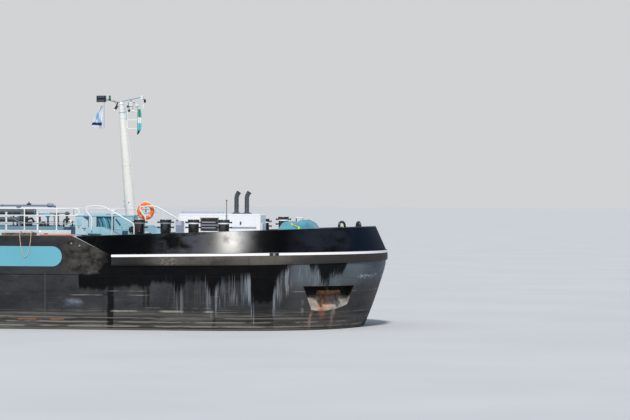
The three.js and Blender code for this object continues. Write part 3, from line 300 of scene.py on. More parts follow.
    # washed streaks between the tongues
    strength = ((46.9, 0.0), (47.38, 0.1), (47.44, 0.5), (47.66, 0.5), (47.76, 0.08), (48.6, 0.1), (48.70, 0.7), (48.84, 0.6), (48.92, 0.0), (49.02, 0.9), (49.20, 0.8), (49.28, 0.3),
                (49.5, 0.5), (49.78, 0.65), (49.9, 0.35), (50.24, 0.9), (50.40, 1.0), (50.46, 0.0), (51.10, 0.0), (51.14, 0.9), (51.36, 0.8), (51.48, 0.3), (51.58, 0.95), (51.84, 0.85), (51.92, 0.2),
                (52.6, 0.35), (52.9, 0.6), (53.2, 0.3), (53.5, 0.6), (53.7, 0.0))
    streak = wash.ss(0.44, 0.62) * t.curve(x + (z - 2.8) * 0.05, strength) * (z - edge).band(-0.78, 0.22, 0.22)
    c = t.mix(streak * 0.9, c, srgb(128, 134, 142))
    # rub lines of fenders and quays: z, half width, strength, from x, to x
    for z0, w, a, xa, xb in ((2.76, 0.012, 0.45, 43.6, 46.3), (2.60, 0.014, 0.60, 43.3, 46.4), (2.57, 0.012, 0.45, 48.8, 50.4), (2.76, 0.014, 0.5, 51.9, 54.8), (2.11, 0.016, 0.45, 46.3, 49.0),
                             (1.98, 0.035, 0.75, 44.95, 48.9), (1.94, 0.012, 0.5, 52.0, 54.3), (1.72, 0.02, 0.35, 38.0, 54.0), (1.56, 0.022, 0.5, 38.0, 54.4), (1.40, 0.026, 0.6, 38.0, 54.4)):
        gate = t.noise((0.9, 0.9, 0.9), 3, 0.6, (z0 * 7, xa, 1)).ss(0.40, 0.56)
        c = t.mix((z + wob * 0.05).band(z0 - w, z0 + w, 0.014) * x.band(xa, xb, 0.15) * gate * a, c, srgb(150, 145, 136))
    # rust: spots, dashes along a rub line, seepage down the cargo side, runs below the anchor pocket
    rust_c = t.mix(fine.ss(0.35, 0.7), srgb(88, 52, 34), srgb(150, 98, 62))
    c = t.mix(t.noise((1.3, 1.3, 2.6), 6, 0.7, (8, 6, 2)).ss(0.675, 0.74) * z.ss(4.2, 2.4) * 0.5, c, rust_c)
    c = t.mix((z - 1.64).abs().ss(0.03, 0.01) * x.ss(43.8, 43.6) * t.noise((1.6, 0.2, 0.2), 2, 0.5, (3, 3, 3)).ss(0.50, 0.58) * 0.7, c, srgb(160, 110, 66))
    seep = t.noise((1.15, 1.15, 0.06), 5, 0.66, (6, 4, 8)).ss(0.62, 0.74) * x.ss(40.0, 38.0) * z.ss(1.4, 4.9)
    c = t.mix(seep * 0.35, c, srgb(92, 58, 38))
    for x0, lean, w, zt, zb, a, col in ((52.56, 0.16, 0.035, 1.98, 1.30, 0.8, srgb(168, 136, 112)), (52.93, 0.0, 0.10, 2.0, 1.68, 0.8, srgb(150, 92, 58)), (53.30, 0.14, 0.03, 2.05, 1.30, 0.75, srgb(172, 142, 118)),
                                        (52.25, 0.0, 0.02, 2.08, 1.92, 0.9, srgb(196, 196, 196)), (52.27, 0.0, 0.02, 2.38, 2.26, 0.8, srgb(186, 186, 186)), (53.36, 0.05, 0.018, 2.18, 1.80, 0.7, srgb(190, 188, 184))):
        gate = (x - (z - zt) * lean + (wash - 0.5) * 0.16).band(x0 - w, x0 + w, 0.05) * (z + (runs - 0.5) * 0.5).ss(zb - 0.12, zb + 0.25) * (z + (runs - 0.5) * 0.3).ss(zt + 0.10, zt - 0.10)
        c = t.mix(gate * fine.lin(0.3, 0.65, 0.35, 1.0) * a, c, col)
    # pale scuffs by the stem
    c = t.mix((x + wob * 0.9).band(54.25, 54.70, 0.12) * (z + wob * 0.5).band(3.28, 3.40, 0.05) * fine.ss(0.40, 0.62) * 0.8, c, srgb(176, 182, 186))
    # waterline: a thin pale scum line over dark growth, and dark bottom paint
    scum = (z + wob * 0.06).band(WATERLINE + 0.02, WATERLINE + 0.07, 0.015)
    c = t.mix(scum * 0.45, c, srgb(120, 114, 102))
    under = z.ss(WATERLINE + 0.03, WATERLINE - 0.03)
    c = t.mix(under, c, t.mix(mott.ss(0.35, 0.65), srgb(38, 30, 26), srgb(56, 44, 36)))
    c = t.mix(under * fine.ss(0.56, 0.72) * 0.5, c, srgb(58, 66, 44))
    t.colour(c)
    r = mott.lin(0.3, 0.7, 0.46, 0.70) + low * 0.12 - fresh * 0.08
    t.rough(r.max(0.30).min(0.85))
    # plate seams every frame bay and strake, dents between frames
    def seam(v, pitch, w):
        f = ((v + 500.0) / pitch).frac()
        return (f - 0.5).abs().ss(0.5 - w / pitch, 0.5)
    seams = seam(x + 1.65, 6.0, 0.035).max((z - 3.31).abs().ss(0.035, 0.0)).max((z - 2.12).abs().ss(0.03, 0.0) * 0.6)
    dent = (((x + 500.0) * (2 * math.pi / 1.5)).sin() * 0.5 + 0.5) * z.band(1.6, 3.4, 0.6)
    h = mott * 0.25 + fine * 0.10 + scrape * 0.12 + seams * 0.5 - dent * 0.35
    t.bump(h, 0.28, 0.004)
    return t.mat


M["hull"] = hull_material("hull_black_worn")


def bulwark_material(name):
    t = Paint(name, Specular_IOR_Level=0.075)
    broad = t.noise((0.35, 0.35, 0.9), 4, 0.5)
    cloud = t.noise((0.9, 0.9, 1.7), 5, 0.58, (5, 5, 5))
    runs = t.noise((4.2, 4.2, 0.35), 4, 0.6)
    fine = t.noise((14, 14, 14), 4, 0.6)
    c = t.mix(broad.ss(0.35, 0.68), srgb(1, 1, 2), srgb(4, 5, 7))
    # painted reflections on the glossy plating: a pale sun glare near x 49.3 to 50.2, a grey sheen aft of it, a
    # blue-grey sheen forward and a dark blue sky reflection at the bow tip
    c = t.mix(t.x.band(49.3, 50.2, 0.5) * cloud.ss(0.25, 0.55) * t.z.ss(3.9, 4.9) * 0.60, c, srgb(170, 172, 172))
    c = t.mix(t.x.band(46.8, 48.9, 0.5) * cloud.ss(0.40, 0.60) * 0.9, c, srgb(60, 64, 70))
    c = t.mix(t.x.ss(51.4, 52.6) * cloud.ss(0.30, 0.60) * 0.85, c, srgb(32, 36, 44))
    c = t.mix(t.x.ss(53.7, 54.2) * 0.95, c, srgb(2, 14, 32))
    c = t.mix(runs.ss(0.58, 0.80) * 0.25, c, srgb(38, 40, 42))
    c = t.mix(t.noise((2.5, 2.5, 5), 5, 0.7, (1, 5, 5)).ss(0.66, 0.75) * 0.4, c, srgb(60, 58, 55))
    t.colour(c)
    t.rough(broad.lin(0.3, 0.7, 0.15, 0.24) + runs.ss(0.5, 0.8) * 0.05 + t.x.ss(53.4, 54.2) * 0.35)
    # plating slightly hollow between its stays
    wave = ((t.x + 500.0) * (2 * math.pi / 1.2)).sin() * 0.5
    t.bump(fine * 0.05 + broad * 0.8 + wave * 0.10, 0.08, 0.006)
    return t.mat


M["bulwark"] = bulwark_material("bulwark_gloss_black")


def band_material(name):
    t = Paint(name, Specular_IOR_Level=0.2)
    x, z = t.x, t.z
    m1 = t.noise((1.1, 1.1, 2.2), 6, 0.64)
    m2 = t.noise((7, 7, 14), 4, 0.6)
    runs = t.noise((9, 9, 0.7), 4, 0.6)
    c = t.mix(m1.ss(0.35, 0.66), srgb(62, 59, 55), srgb(86, 82, 77))
    c = t.mix(x.band(49.6, 51.6, 0.5) * 0.5, c, srgb(104, 97, 90))
    c = t.mix(x.ss(46.7, 45.9) * m1.lin(0.3, 0.7, 1.0, 0.7), c, srgb(30, 29, 28))
    c = t.mix(x.band(46.85, 47.45, 0.15) * m2.ss(0.40, 0.60) * 0.75, c, srgb(124, 118, 110))
    c = t.mix(x.ss(51.7, 53.2) * 0.85, c, srgb(46, 45, 44))
    c = t.mix(runs.ss(0.52, 0.74) * 0.35, c, srgb(50, 48, 46))
    c = t.mix(m2.ss(0.62, 0.76) * 0.30, c, srgb(28, 27, 27))
    # painted shade: darker along the band's lower edge, aft of x 53
    c = t.mix(z.ss(3.84, 3.76) * x.ss(53.5, 52.5) * 0.6, c, srgb(20, 20, 20))
    t.colour(c).rough(m1.lin(0.3, 0.7, 0.5, 0.72))
    t.bump(m1 * 0.4 + m2 * 0.2, 0.3, 0.003)
    return t.mat


M["band"] = band_material("fender_band_black")
M["white_stripe"] = painted("stripe_white", srgb(252, 252, 252), srgb(246, 247, 248), dirt=srgb(160, 158, 152), grime=0.10, gloss=0.34, tone=0.05)
M["blue_stripe"] = painted("stripe_light_blue", srgb(103, 171, 189), srgb(109, 176, 193), dirt=srgb(92, 128, 138), grime=0.10, gloss=0.36, tone=0.08, Specular_IOR_Level=0.25)
M["white"] = painted("house_white", srgb(246, 247, 248), srgb(238, 240, 242), dirt=srgb(176, 170, 158), grime=0.10, rust=0.05, gloss=0.34, tone=0.06)
M["white_rail"] = painted("rail_white", srgb(240, 240, 236), srgb(228, 229, 226), dirt=srgb(166, 156, 138), grime=0.20, rust=0.18, gloss=0.38, tone=0.12)
M["mast_white"] = painted("mast_white_paint", srgb(236, 234, 227), srgb(228, 226, 217), dirt=srgb(186, 180, 166), grime=0.20, gloss=0.36, tone=0.10)
M["light_blue"] = painted("deck_house_light_blue", srgb(142, 187, 201), srgb(158, 197, 208), dirt=srgb(96, 124, 132), grime=0.25, rust=0.08, gloss=0.40, tone=0.16)
M["pale_blue"] = painted("panel_pale_blue", srgb(172, 195, 204), srgb(184, 204, 211), dirt=srgb(120, 140, 146), grime=0.24, rust=0.08, gloss=0.42, tone=0.16)
M["teal_paint"] = painted("recess_teal", srgb(66, 138, 159), srgb(84, 156, 176), dirt=srgb(40, 84, 100), grime=0.35, gloss=0.42)
M["deep_teal"] = painted("shadow_gap_teal", srgb(24, 74, 98), srgb(30, 88, 112), grime=0.2, gloss=0.5)
M["navy"] = painted("pipe_navy", srgb(40, 56, 92), srgb(58, 76, 116), dirt=srgb(90, 84, 76), grime=0.25, rust=0.12, gloss=0.30)
M["lilac"] = painted("boom_lilac_grey", srgb(128, 141, 164), srgb(140, 152, 172), grime=0.22, gloss=0.4)
M["black_gloss"] = painted("bollard_black", srgb(16, 16, 18), srgb(34, 34, 36), dirt=srgb(112, 104, 96), grime=0.40, rust=0.12, gloss=0.17, Specular_IOR_Level=0.9)
M["edge_grey"] = painted("worn_edge_grey", srgb(84, 82, 78), srgb(104, 101, 96), grime=0.4, rust=0.1, gloss=0.5)
M["black_matt"] = painted("fitting_black", srgb(26, 27, 28), srgb(44, 44, 45), dirt=srgb(90, 80, 70), grime=0.3, rust=0.1, gloss=0.55)
M["rubber"] = painted("rubber_black", srgb(22, 22, 22), srgb(40, 40, 40), dirt=srgb(96, 92, 86), grime=0.4, gloss=0.72)
M["exhaust"] = painted("exhaust_slate", srgb(62, 68, 76), srgb(82, 88, 94), dirt=srgb(60, 56, 54), grime=0.35, rust=0.15, gloss=0.26, Specular_IOR_Level=0.7)
M["slate"] = painted("pipe_slate", srgb(62, 72, 80), srgb(82, 92, 98), dirt=srgb(96, 78, 60), grime=0.40, rust=0.35, gloss=0.46)
M["grey_trim"] = painted("trim_grey", srgb(120, 128, 134), srgb(140, 146, 150), grime=0.3, rust=0.15, gloss=0.45)
M["yellow"] = painted("strap_yellow", srgb(214, 214, 60), srgb(190, 196, 50), grime=0.2, gloss=0.6)
M["signal_yellow"] = painted("deck_yellow", srgb(222, 176, 44), srgb(206, 166, 50), grime=0.4, rust=0.1, gloss=0.5)
M["valve_cyan"] = painted("valve_cyan", srgb(60, 186, 196), srgb(80, 200, 206), grime=0.25, gloss=0.4)
M["green_lens"] = painted("lamp_green", srgb(30, 120, 78), srgb(40, 140, 90), grime=0.1, gloss=0.12)
M["red_lens"] = painted("lamp_red", srgb(150, 30, 30), srgb(170, 44, 38), grime=0.1, gloss=0.12)
M["clear_lens"] = painted("lamp_clear", srgb(222, 228, 230), srgb(206, 214, 218), grime=0.1, gloss=0.08)
M["dark_glass"] = painted("instrument_dark", srgb(20, 26, 32), srgb(30, 36, 42), grime=0.1, gloss=0.10)
M["red_paint"] = painted("red_oxide_paint", srgb(150, 60, 48), srgb(168, 78, 60), grime=0.3, gloss=0.5)


def deck_material(name, base, worn):
    """Anti-slip deck paint with foot tracks, puddle marks and rust blooms."""
    t = Paint(name, Specular_IOR_Level=0.4)
    broad = t.noise((0.4, 0.4, 0.4), 5, 0.6)
    grit = t.noise(46.0, 3, 0.7)
    fine = t.noise(6.0, 6, 0.66, (2, 2, 2))
    c = t.mix(broad.ss(0.35, 0.65), base, worn)
    c = t.mix(fine.ss(0.55, 0.75) * 0.35, c, tuple(v * 0.6 for v in base[:3]) + (1,))
    c = t.mix(t.noise(1.1, 5, 0.7, (9, 9, 1)).ss(0.64, 0.74) * 0.55, c, srgb(128, 82, 52))
    c = t.mix(grit.ss(0.5, 0.75) * 0.18, c, srgb(60, 60, 60))
    # the slanted upper edge of the side, outside the bulwark, is worn black
    c = t.mix(t.y.abs().ss(5.52, 5.56) * t.z.ss(4.94, 4.91) * t.x.ss(43.0, 43.1), c, srgb(62, 60, 56))
    t.colour(c).rough(fine.lin(0.3, 0.7, 0.62, 0.86))
    t.bump(grit * 0.8 + fine * 0.3, 0.35, 0.0015)
    return t.mat


M["foot_plate"] = painted("foot_plate_white", srgb(176, 188, 190), srgb(192, 202, 203), dirt=srgb(140, 142, 136), grime=0.30, rust=0.14, gloss=0.42, tone=0.14)
M["hose"] = painted("hose_orange_red", srgb(226, 104, 80), srgb(238, 134, 104), dirt=srgb(150, 96, 80), grime=0.3, gloss=0.5)
M["lavender"] = painted("panel_lavender", srgb(176, 178, 196), srgb(190, 192, 206), dirt=srgb(120, 124, 140), grime=0.2, gloss=0.42, tone=0.1)

M["deck"] = deck_material("deck_pale_blue_grey", srgb(176, 192, 198), srgb(196, 208, 211))
M["foredeck"] = deck_material("foredeck_blue_grey", srgb(108, 132, 144), srgb(128, 148, 158))
M["trunk"] = deck_material("trunk_blue", srgb(92, 124, 142), srgb(108, 140, 156))
M["inner"] = painted("bulwark_inside_pale", srgb(170, 188, 196), srgb(186, 200, 206), grime=0.4, rust=0.3, gloss=0.5)


def rust_material(name, dark=srgb(46, 34, 28), mid=srgb(84, 60, 46), light=srgb(136, 100, 72)):
    t = Paint(name, Specular_IOR_Level=0.2)
    a = t.noise(4.0, 7, 0.68)
    b = t.noise(18.0, 5, 0.65, (4, 4, 4))
    c = t.mix(a.ss(0.35, 0.62), dark, mid)
    c = t.mix(b.ss(0.52, 0.72) * 0.7, c, light)
    c = t.mix(t.noise((5, 5, 0.5), 4).ss(0.58, 0.75) * 0.4, c, srgb(36, 30, 28))
    t.colour(c).rough(b.lin(0.3, 0.7, 0.78, 0.95))
    t.bump(a * 0.6 + b * 0.4, 0.6, 0.003)
    return t.mat


M["rust"] = rust_material("anchor_rust")


def pocket_material(name):
    """The plate inside the anchor pocket: grey paint worn to rust below the anchor, with painted shade dark over its
    upper part under the pocket's roof.
    """
    t = Paint(name, Specular_IOR_Level=0.3)
    a = t.noise((2.4, 2.4, 2.4), 6, 0.66)
    b = t.noise((7.5, 7.5, 1.0), 5, 0.62, (3, 1, 2))
    c = t.mix(a.ss(0.36, 0.64), srgb(122, 116, 110), srgb(164, 158, 150))
    mid = (t.x + (a - 0.5) * 0.5).band(52.75, 53.20, 0.22)
    c = t.mix(mid * b.ss(0.34, 0.56) * 0.9, c, t.mix(a.ss(0.4, 0.6), srgb(140, 92, 66), srgb(206, 142, 104)))
    c = t.mix(b.ss(0.60, 0.74) * 0.5, c, srgb(120, 76, 50))
    # painted shade: near black over the upper part of the plate, under the pocket's roof
    c = t.mix((t.z + (t.x - 53.0).abs() * 0.10).ss(2.52, 2.70) * 0.94, c, srgb(20, 16, 14))
    t.colour(c).rough(a.lin(0.3, 0.7, 0.6, 0.85))
    t.bump(a * 0.5 + b * 0.3, 0.5, 0.003)
    return t.mat


M["pocket"] = pocket_material("pocket_plate")


def metal_material(name, colour, metallic=0.85, r=(0.28, 0.52), tarnish=srgb(60, 52, 40), amount=0.4):
    t = Paint(name)
    a = t.noise(5.0, 5, 0.6)
    b = t.noise(24.0, 4, 0.6, (3, 3, 3))
    c = t.mix(a.ss(0.4, 0.7) * amount, colour, tarnish)
    t.colour(c).rough(b.lin(0.3, 0.7, *r)).metal(a.lin(0.3, 0.7, metallic, metallic * 0.8))
    t.bump(b, 0.12, 0.001)
    return t.mat


M["galv"] = metal_material("galvanised_steel", srgb(158, 163, 166), 0.7, (0.38, 0.6), srgb(110, 112, 112), 0.5)
M["bronze"] = metal_material("propeller_bronze", srgb(176, 134, 66), 0.9, (0.22, 0.42), srgb(84, 90, 58), 0.5)
M["steel"] = metal_material("bare_steel", srgb(132, 134, 136), 0.8, (0.3, 0.5), srgb(92, 70, 54), 0.5)


def grating_material(name):
    t = Paint(name)
    gx = ((t.x + 500.0) / 0.12).frac()
    gy = ((t.y + 500.0) / 0.045).frac()
    bars = (gx - 0.5).abs().ss(0.30, 0.42).max((gy - 0.5).abs().ss(0.22, 0.34))
    a = t.noise(5.0, 4, 0.6)
    c = t.mix(bars, srgb(38, 42, 45), t.mix(a.ss(0.4, 0.65), srgb(132, 140, 143), srgb(160, 165, 166)))
    t.colour(c).rough(a.lin(0.3, 0.7, 0.45, 0.7)).metal(bars * 0.6)
    t.bump(bars, 0.8, 0.002)
    return t.mat


M["grating"] = grating_material("walkway_grating")


def glass_material(name):
    t = Paint(name, Specular_IOR_Level=0.9, IOR=1.5, Coat_Weight=0.5, Coat_Roughness=0.03)
    a = t.noise((1.3, 1.3, 1.3), 3, 0.5)
    b = t.noise((7, 7, 1.2), 4, 0.6, (2, 8, 3))
    c = t.mix(a.ss(0.3, 0.7), srgb(30, 42, 48), srgb(56, 72, 78))
    # painted sky reflection: the glass lighter and bluer towards the top
    c = t.mix(t.z.ss(6.0, 7.6) * 0.35, c, srgb(92, 112, 120))
    t.colour(c).rough(b.ss(0.55, 0.85) * 0.16 + 0.04)
    t.bump(a, 0.05, 0.003)
    t.bsdf.inputs["Alpha"].default_value = 0.62
    return t.mat


M["glass"] = glass_material("window_glass")


def orange_material(name):
    t = Paint(name, Specular_IOR_Level=0.4, Sheen_Weight=0.1)
    a = t.noise(6.0, 5, 0.62)
    b = t.noise(30.0, 3, 0.6)
    c = t.mix(a.ss(0.35, 0.65), srgb(246, 104, 26), srgb(252, 128, 44))
    c = t.mix(t.noise(3, 5, 0.7, (2, 2, 2)).ss(0.62, 0.75) * 0.3, c, srgb(178, 96, 66))
    t.colour(c).rough(a.lin(0.3, 0.7, 0.5, 0.72))
    t.bump(b, 0.25, 0.001)
    return t.mat


M["orange"] = orange_material("lifebuoy_orange")
M["reflective"] = painted("reflective_tape", srgb(206, 210, 212), srgb(188, 192, 196), grime=0.2, gloss=0.25)


def cloth_material(name, pick, sheen=0.25, weave=420.0, rough=(0.72, 0.9), **extra):
    """pick(t) gives the colour before random darker patches of dirt and painted fold shade and random lighter patches;
    the weave is a fine crossed bump.
    """
    t = Paint(name, Sheen_Weight=sheen, Specular_IOR_Level=0.25, **extra)
    c = pick(t)
    a = t.noise(2.2, 5, 0.6)
    b = t.noise(12.0, 5, 0.65, (6, 1, 4))
    # dirt and painted fold shade: random darker patches
    c = t.mix(a.ss(0.52, 0.75) * 0.25, c, tuple([0.35, 0.36, 0.34, 1]), "MULTIPLY")
    c = t.mix(b.ss(0.55, 0.75) * 0.14, c, (0.9, 0.92, 0.92, 1), "SCREEN")
    wx = ((t.x + t.y * 0.35) * weave).sin() * ((t.z + t.y * 0.6) * weave).sin()
    t.colour(c).rough(b.lin(0.3, 0.7, *rough))
    t.bump(wx * 0.4 + b * 0.5, 0.25, 0.0008)
    return t.mat


def teal_pick(t):
    a = t.noise(1.4, 5, 0.6, (3, 3, 3))
    return t.mix(a.ss(0.36, 0.66), srgb(58, 130, 146), srgb(88, 160, 175))


M["teal_cloth"] = cloth_material("windlass_cover_cloth", teal_pick, 0.35, 260.0)


def pennant_pick(t):
    # white, a light blue middle and a navy band low down
    z = t.z + t.noise(3.0, 2, 0.5) * 0.06
    c = t.mix((t.x + 0.35 * (t.z - 9.7)).band(42.95, 43.12, 0.03), srgb(226, 230, 240), srgb(150, 190, 222))
    return t.mix(z.band(9.42, 9.54, 0.015), c, srgb(22, 38, 84))


def house_flag_pick(t):
    z = t.z + (t.x - 44.9) * 0.15
    c = t.mix(z.ss(9.72, 9.68), srgb(30, 178, 150), srgb(246, 244, 240))
    c = t.mix(z.ss(9.48, 9.44), c, srgb(96, 214, 222))
    return t.mix(z.ss(9.17, 9.13), c, srgb(30, 92, 106))


M["pennant"] = cloth_material("pennant_cloth", pennant_pick, 0.2)
M["house_flag"] = cloth_material("house_flag_cloth", house_flag_pick, 0.2)


def rope_material(name):
    t = Paint(name, Sheen_Weight=0.2, Specular_IOR_Level=0.2)
    # pale where the line hangs over the side, brown with rust where it lies flaked on the deck
    over = (t.z.ss(4.93, 4.86)).max(t.y.ss(-5.60, -5.63))
    lay = ((t.x * 1.0 + t.y * 0.8 + t.z * 1.3) * 95.0).sin()
    a = t.noise(7.0, 5, 0.65)
    brown = t.mix(a.ss(0.36, 0.64), srgb(84, 56, 42), srgb(150, 108, 82))
    brown = t.mix(t.noise(2.4, 4, 0.6, (2, 1, 5)).ss(0.56, 0.70) * 0.7, brown, srgb(206, 186, 168))
    pale = t.mix(a.ss(0.36, 0.64), srgb(196, 178, 152), srgb(222, 210, 188))
    c = t.mix(over, brown, pale)
    c = t.mix(lay.ss(0.2, 0.9) * 0.25, c, (0.10, 0.07, 0.05, 1))
    t.colour(c).rough(a.lin(0.3, 0.7, 0.8, 0.95))
    t.bump(lay * 0.6 + a * 0.4, 0.6, 0.0008)
    return t.mat


M["rope"] = rope_material("rope_worn")


def floor_material(name):
    t = Paint(name, Specular_IOR_Level=0.15)
    a = t.noise(0.12, 3, 0.5)
    c = t.mix(a.ss(0.3, 0.7), (0.575, 0.585, 0.595, 1), (0.605, 0.612, 0.62, 1))
    t.colour(c).rough(a.lin(0.3, 0.7, 0.8, 0.9))
    return t.mat


M["floor"] = floor_material("studio_floor")


# =============================================================================== shapes
class Build:
    """Closed shells in real metres, collected into one piece."""

    def __init__(self, name):
        self.name, self.v, self.f, self.m, self.smooth, self.slots = name, [], [], [], [], []

    def slot_of(self, mat):
        mat = M[mat] if isinstance(mat, str) else mat
        if mat not in self.slots:
            self.slots.append(mat)
        return self.slots.index(mat)

    def add(self, verts, faces, mat, smooth=True):
        k, base = self.slot_of(mat) if not isinstance(mat, list) else None, len(self.v)
        self.v += [tuple(p) for p in verts]
        for i, f in enumerate(faces):
            self.f.append([base + j for j in f])
            self.m.append(k if k is not None else self.slot_of(mat[i]))
            self.smooth.append(smooth)
        return self

    def box(self, x0, x1, y0, y1, z0, z1, mat, turn=None, about=None):
        vs = [(x, y, z) for x in (x0, x1) for y in (y0, y1) for z in (z0, z1)]
        if turn is not None:
            c = Vector(about or ((x0 + x1) / 2, (y0 + y1) / 2, (z0 + z1) / 2))
            vs = [tuple(c + turn @ (Vector(p) - c)) for p in vs]
        return self.add(vs, [(0, 1, 3, 2), (4, 6, 7, 5), (0, 4, 5, 1), (2, 3, 7, 6), (0, 2, 6, 4), (1, 5, 7, 3)], mat, False)

    def prism(self, pts, plane, a, b, mat, smooth=False):
        place = {"xy": lambda u, v, w: (u, v, w), "xz": lambda u, v, w: (u, w, v), "yz": lambda u, v, w: (w, u, v)}[plane]
        n = len(pts)
        vs = [place(u, v, a) for u, v in pts] + [place(u, v, b) for u, v in pts]
        fs = [tuple(range(n)), tuple(range(2 * n - 1, n - 1, -1))] + [(i, (i + 1) % n, n + (i + 1) % n, n + i) for i in range(n)]
        return self.add(vs, fs, mat, smooth)

    def tube(self, pts, r, mat, n=12, closed=False, r2=None, flat=1.0):
        pts = [Vector(p) for p in pts]
        m = len(pts)
        tan = []
        for i in range(m):
            if closed:
                d = pts[(i + 1) % m] - pts[i - 1]
            else:
                d = pts[min(i + 1, m - 1)] - pts[max(i - 1, 0)]
            tan.append(d.normalized())
        up = Vector((0, 0, 1)) if abs(tan[0].z) < 0.9 else Vector((0, 1, 0))
        u = (up - tan[0] * up.dot(tan[0])).normalized()
        rings, us = [], []
        for i in range(m):
            if i:
                q = tan[i - 1].rotation_difference(tan[i])
                u = q @ u
                u = (u - tan[i] * u.dot(tan[i])).normalized()
            us.append(u)
        twist = 0.0
        if closed:
            q = tan[-1].rotation_difference(tan[0])
            w = q @ us[-1]
            twist = math.atan2(w.cross(us[0]).dot(tan[0]), w.dot(us[0]))
        for i in range(m):
            a0 = twist * i / m if closed else 0.0
            uu, vv = us[i], tan[i].cross(us[i])
            ri = r if r2 is None else r + (r2 - r) * i / (m - 1)
            if callable(r):
                ri = r(i / (m - 1))
            rings.append([pts[i] + (uu * math.cos(a0 + 2 * math.pi * k / n) * flat + vv * math.sin(a0 + 2 * math.pi * k / n)) * ri for k in range(n)])
        vs = [p for ring in rings for p in ring]
        fs = []
        for i in range(m if closed else m - 1):
            j = (i + 1) % m
            for k in range(n):
                l = (k + 1) % n
                fs.append((i * n + k, i * n + l, j * n + l, j * n + k))
        if not closed:
            fs.append(tuple(range(n - 1, -1, -1)))
            fs.append(tuple((m - 1) * n + k for k in range(n)))
        return self.add(vs, fs, mat)

    def rod(self, p, q, r, mat, n=16, r2=None):
        return self.tube([p, q], r, mat, n, r2=r2)

    def turned(self, profile, c, mat, n=32, axis="z"):
        """profile: (radius, height) from one end on the axis to the other."""
        vs, fs, prev = [], [], None
        def place(r, h, a):
            u, w = r * math.cos(a), r * math.sin(a)
            return {"z": (c[0] + u, c[1] + w, c[2] + h), "x": (c[0] + h, c[1] + u, c[2] + w), "y": (c[0] + u, c[1] + h, c[2] + w)}[axis]
        for r, h in profile:
            if r < 1e-6:
                ring = [len(vs)] * n
                vs.append(place(0, h, 0))
            else:
                ring = list(range(len(vs), len(vs) + n))
                vs += [place(r, h, 2 * math.pi * k / n) for k in range(n)]
            if prev is not None:
                for k in range(n):
                    l = (k + 1) % n
                    f = []
                    for i in (prev[k], prev[l], ring[l], ring[k]):
                        if i not in f:
                            f.append(i)
                    if len(f) > 2:
                        fs.append(tuple(f))
            prev = ring
        closed_ring = profile[0] == profile[-1] and profile[0][0] > 1e-6
        return self.add(vs, fs, mat)

    def ring(self, c, R, r, mat, axis="z", n=48, m=12, sy=1.0):
        """A torus about an axis through c."""
        vs, fs = [], []
        for i in range(n):
            a = 2 * math.pi * i / n
            for k in range(m):
                b = 2 * math.pi * k / m
                d, h = R + r * math.cos(b), r * math.sin(b) * sy
                u, w = d * math.cos(a), d * math.sin(a)
                vs.append({"z": (c[0] + u, c[1] + w, c[2] + h), "x": (c[0] + h, c[1] + u, c[2] + w), "y": (c[0] + u, c[1] + h, c[2] + w)}[axis])
        for i in range(n):
            for k in range(m):
                j, l = (i + 1) % n, (k + 1) % m
                fs.append((i * m + k, i * m + l, j * m + l, j * m + k))
        return self.add(vs, fs, mat)

    def ball(self, c, r, mat, n=24, m=12, sz=1.0):
        prof = [(r * math.sin(math.pi * k / m), -r * sz * math.cos(math.pi * k / m)) for k in range(m + 1)]
        prof[0], prof[-1] = (0, -r * sz), (0, r * sz)
        return self.turned(prof, c, mat, n)

    def loft(self, rings, mat, ruled=False, smooth=True, cap_mats=(None, None), ring_mats=None, closed=False):
        """Rings of equal length. ruled: caps made of cross strips between mirrored points."""
        n, k = len(rings[0]), len(rings)
        vs = [p for ring in rings for p in ring]
        fs, ms = [], []
        for i in range(k if closed else k - 1):
            j2 = (i + 1) % k
            for j in range(n):
                l = (j + 1) % n
                fs.append((i * n + j, i * n + l, j2 * n + l, j2 * n + j))
                ms.append(mat if ring_mats is None else ring_mats(i, j))
        if not closed:
            for base, cm in ((0, cap_mats[0] or mat), ((k - 1) * n, cap_mats[1] or mat)):
                if ruled:
                    for j in range(n // 2 - 1):
                        fs.append((base + j, base + j + 1, base + n - 2 - j, base + n - 1 - j))
                        ms.append(cm)
                else:
                    fs.append(tuple(base + j for j in range(n)))
                    ms.append(cm)
        return self.add(vs, fs, ms, smooth)

    def grid_shell(self, func, nu, nv, t, mat):
        """A thin closed shell: func(u, v) gives point and normal; t is its thickness."""
        top, bot = [], []
        for i in range(nu + 1):
            for j in range(nv + 1):
                p, nrm = func(i / nu, j / nv)
                p, nrm = Vector(p), Vector(nrm).normalized()
                top.append(p)
                bot.append(p - nrm * t)
        N = len(top)
        q = lambda i, j: i * (nv + 1) + j
        fs = []
        for i in range(nu):
            for j in range(nv):
                fs.append((q(i, j), q(i + 1, j), q(i + 1, j + 1), q(i, j + 1)))
                fs.append((N + q(i, j), N + q(i, j + 1), N + q(i + 1, j + 1), N + q(i + 1, j)))
        rim = [q(i, 0) for i in range(nu)] + [q(nu, j) for j in range(nv)] + [q(i, nv) for i in range(nu, 0, -1)] + [q(0, j) for j in range(nv, 0, -1)]
        for a, b in zip(rim, rim[1:] + rim[:1]):
            fs.append((a, b, N + b, N + a))
        return self.add(top + bot, fs, mat)

    def mesh(self, angle=35.0):
        me = bpy.data.meshes.new(self.name)
        me.from_pydata([tuple(c * S for c in p) for p in self.v], [], self.f)
        me.polygons.foreach_set("material_index", self.m)
        bm = bmesh.new()
        bm.from_mesh(me)
        bmesh.ops.recalc_face_normals(bm, faces=bm.faces)
        bm.to_mesh(me)
        bm.free()
        me.polygons.foreach_set("use_smooth", [True] * len(me.polygons))
        me.set_sharp_from_angle(angle=math.radians(angle))
        for m in self.slots:
            me.materials.append(m)
        me.validate()
        return me

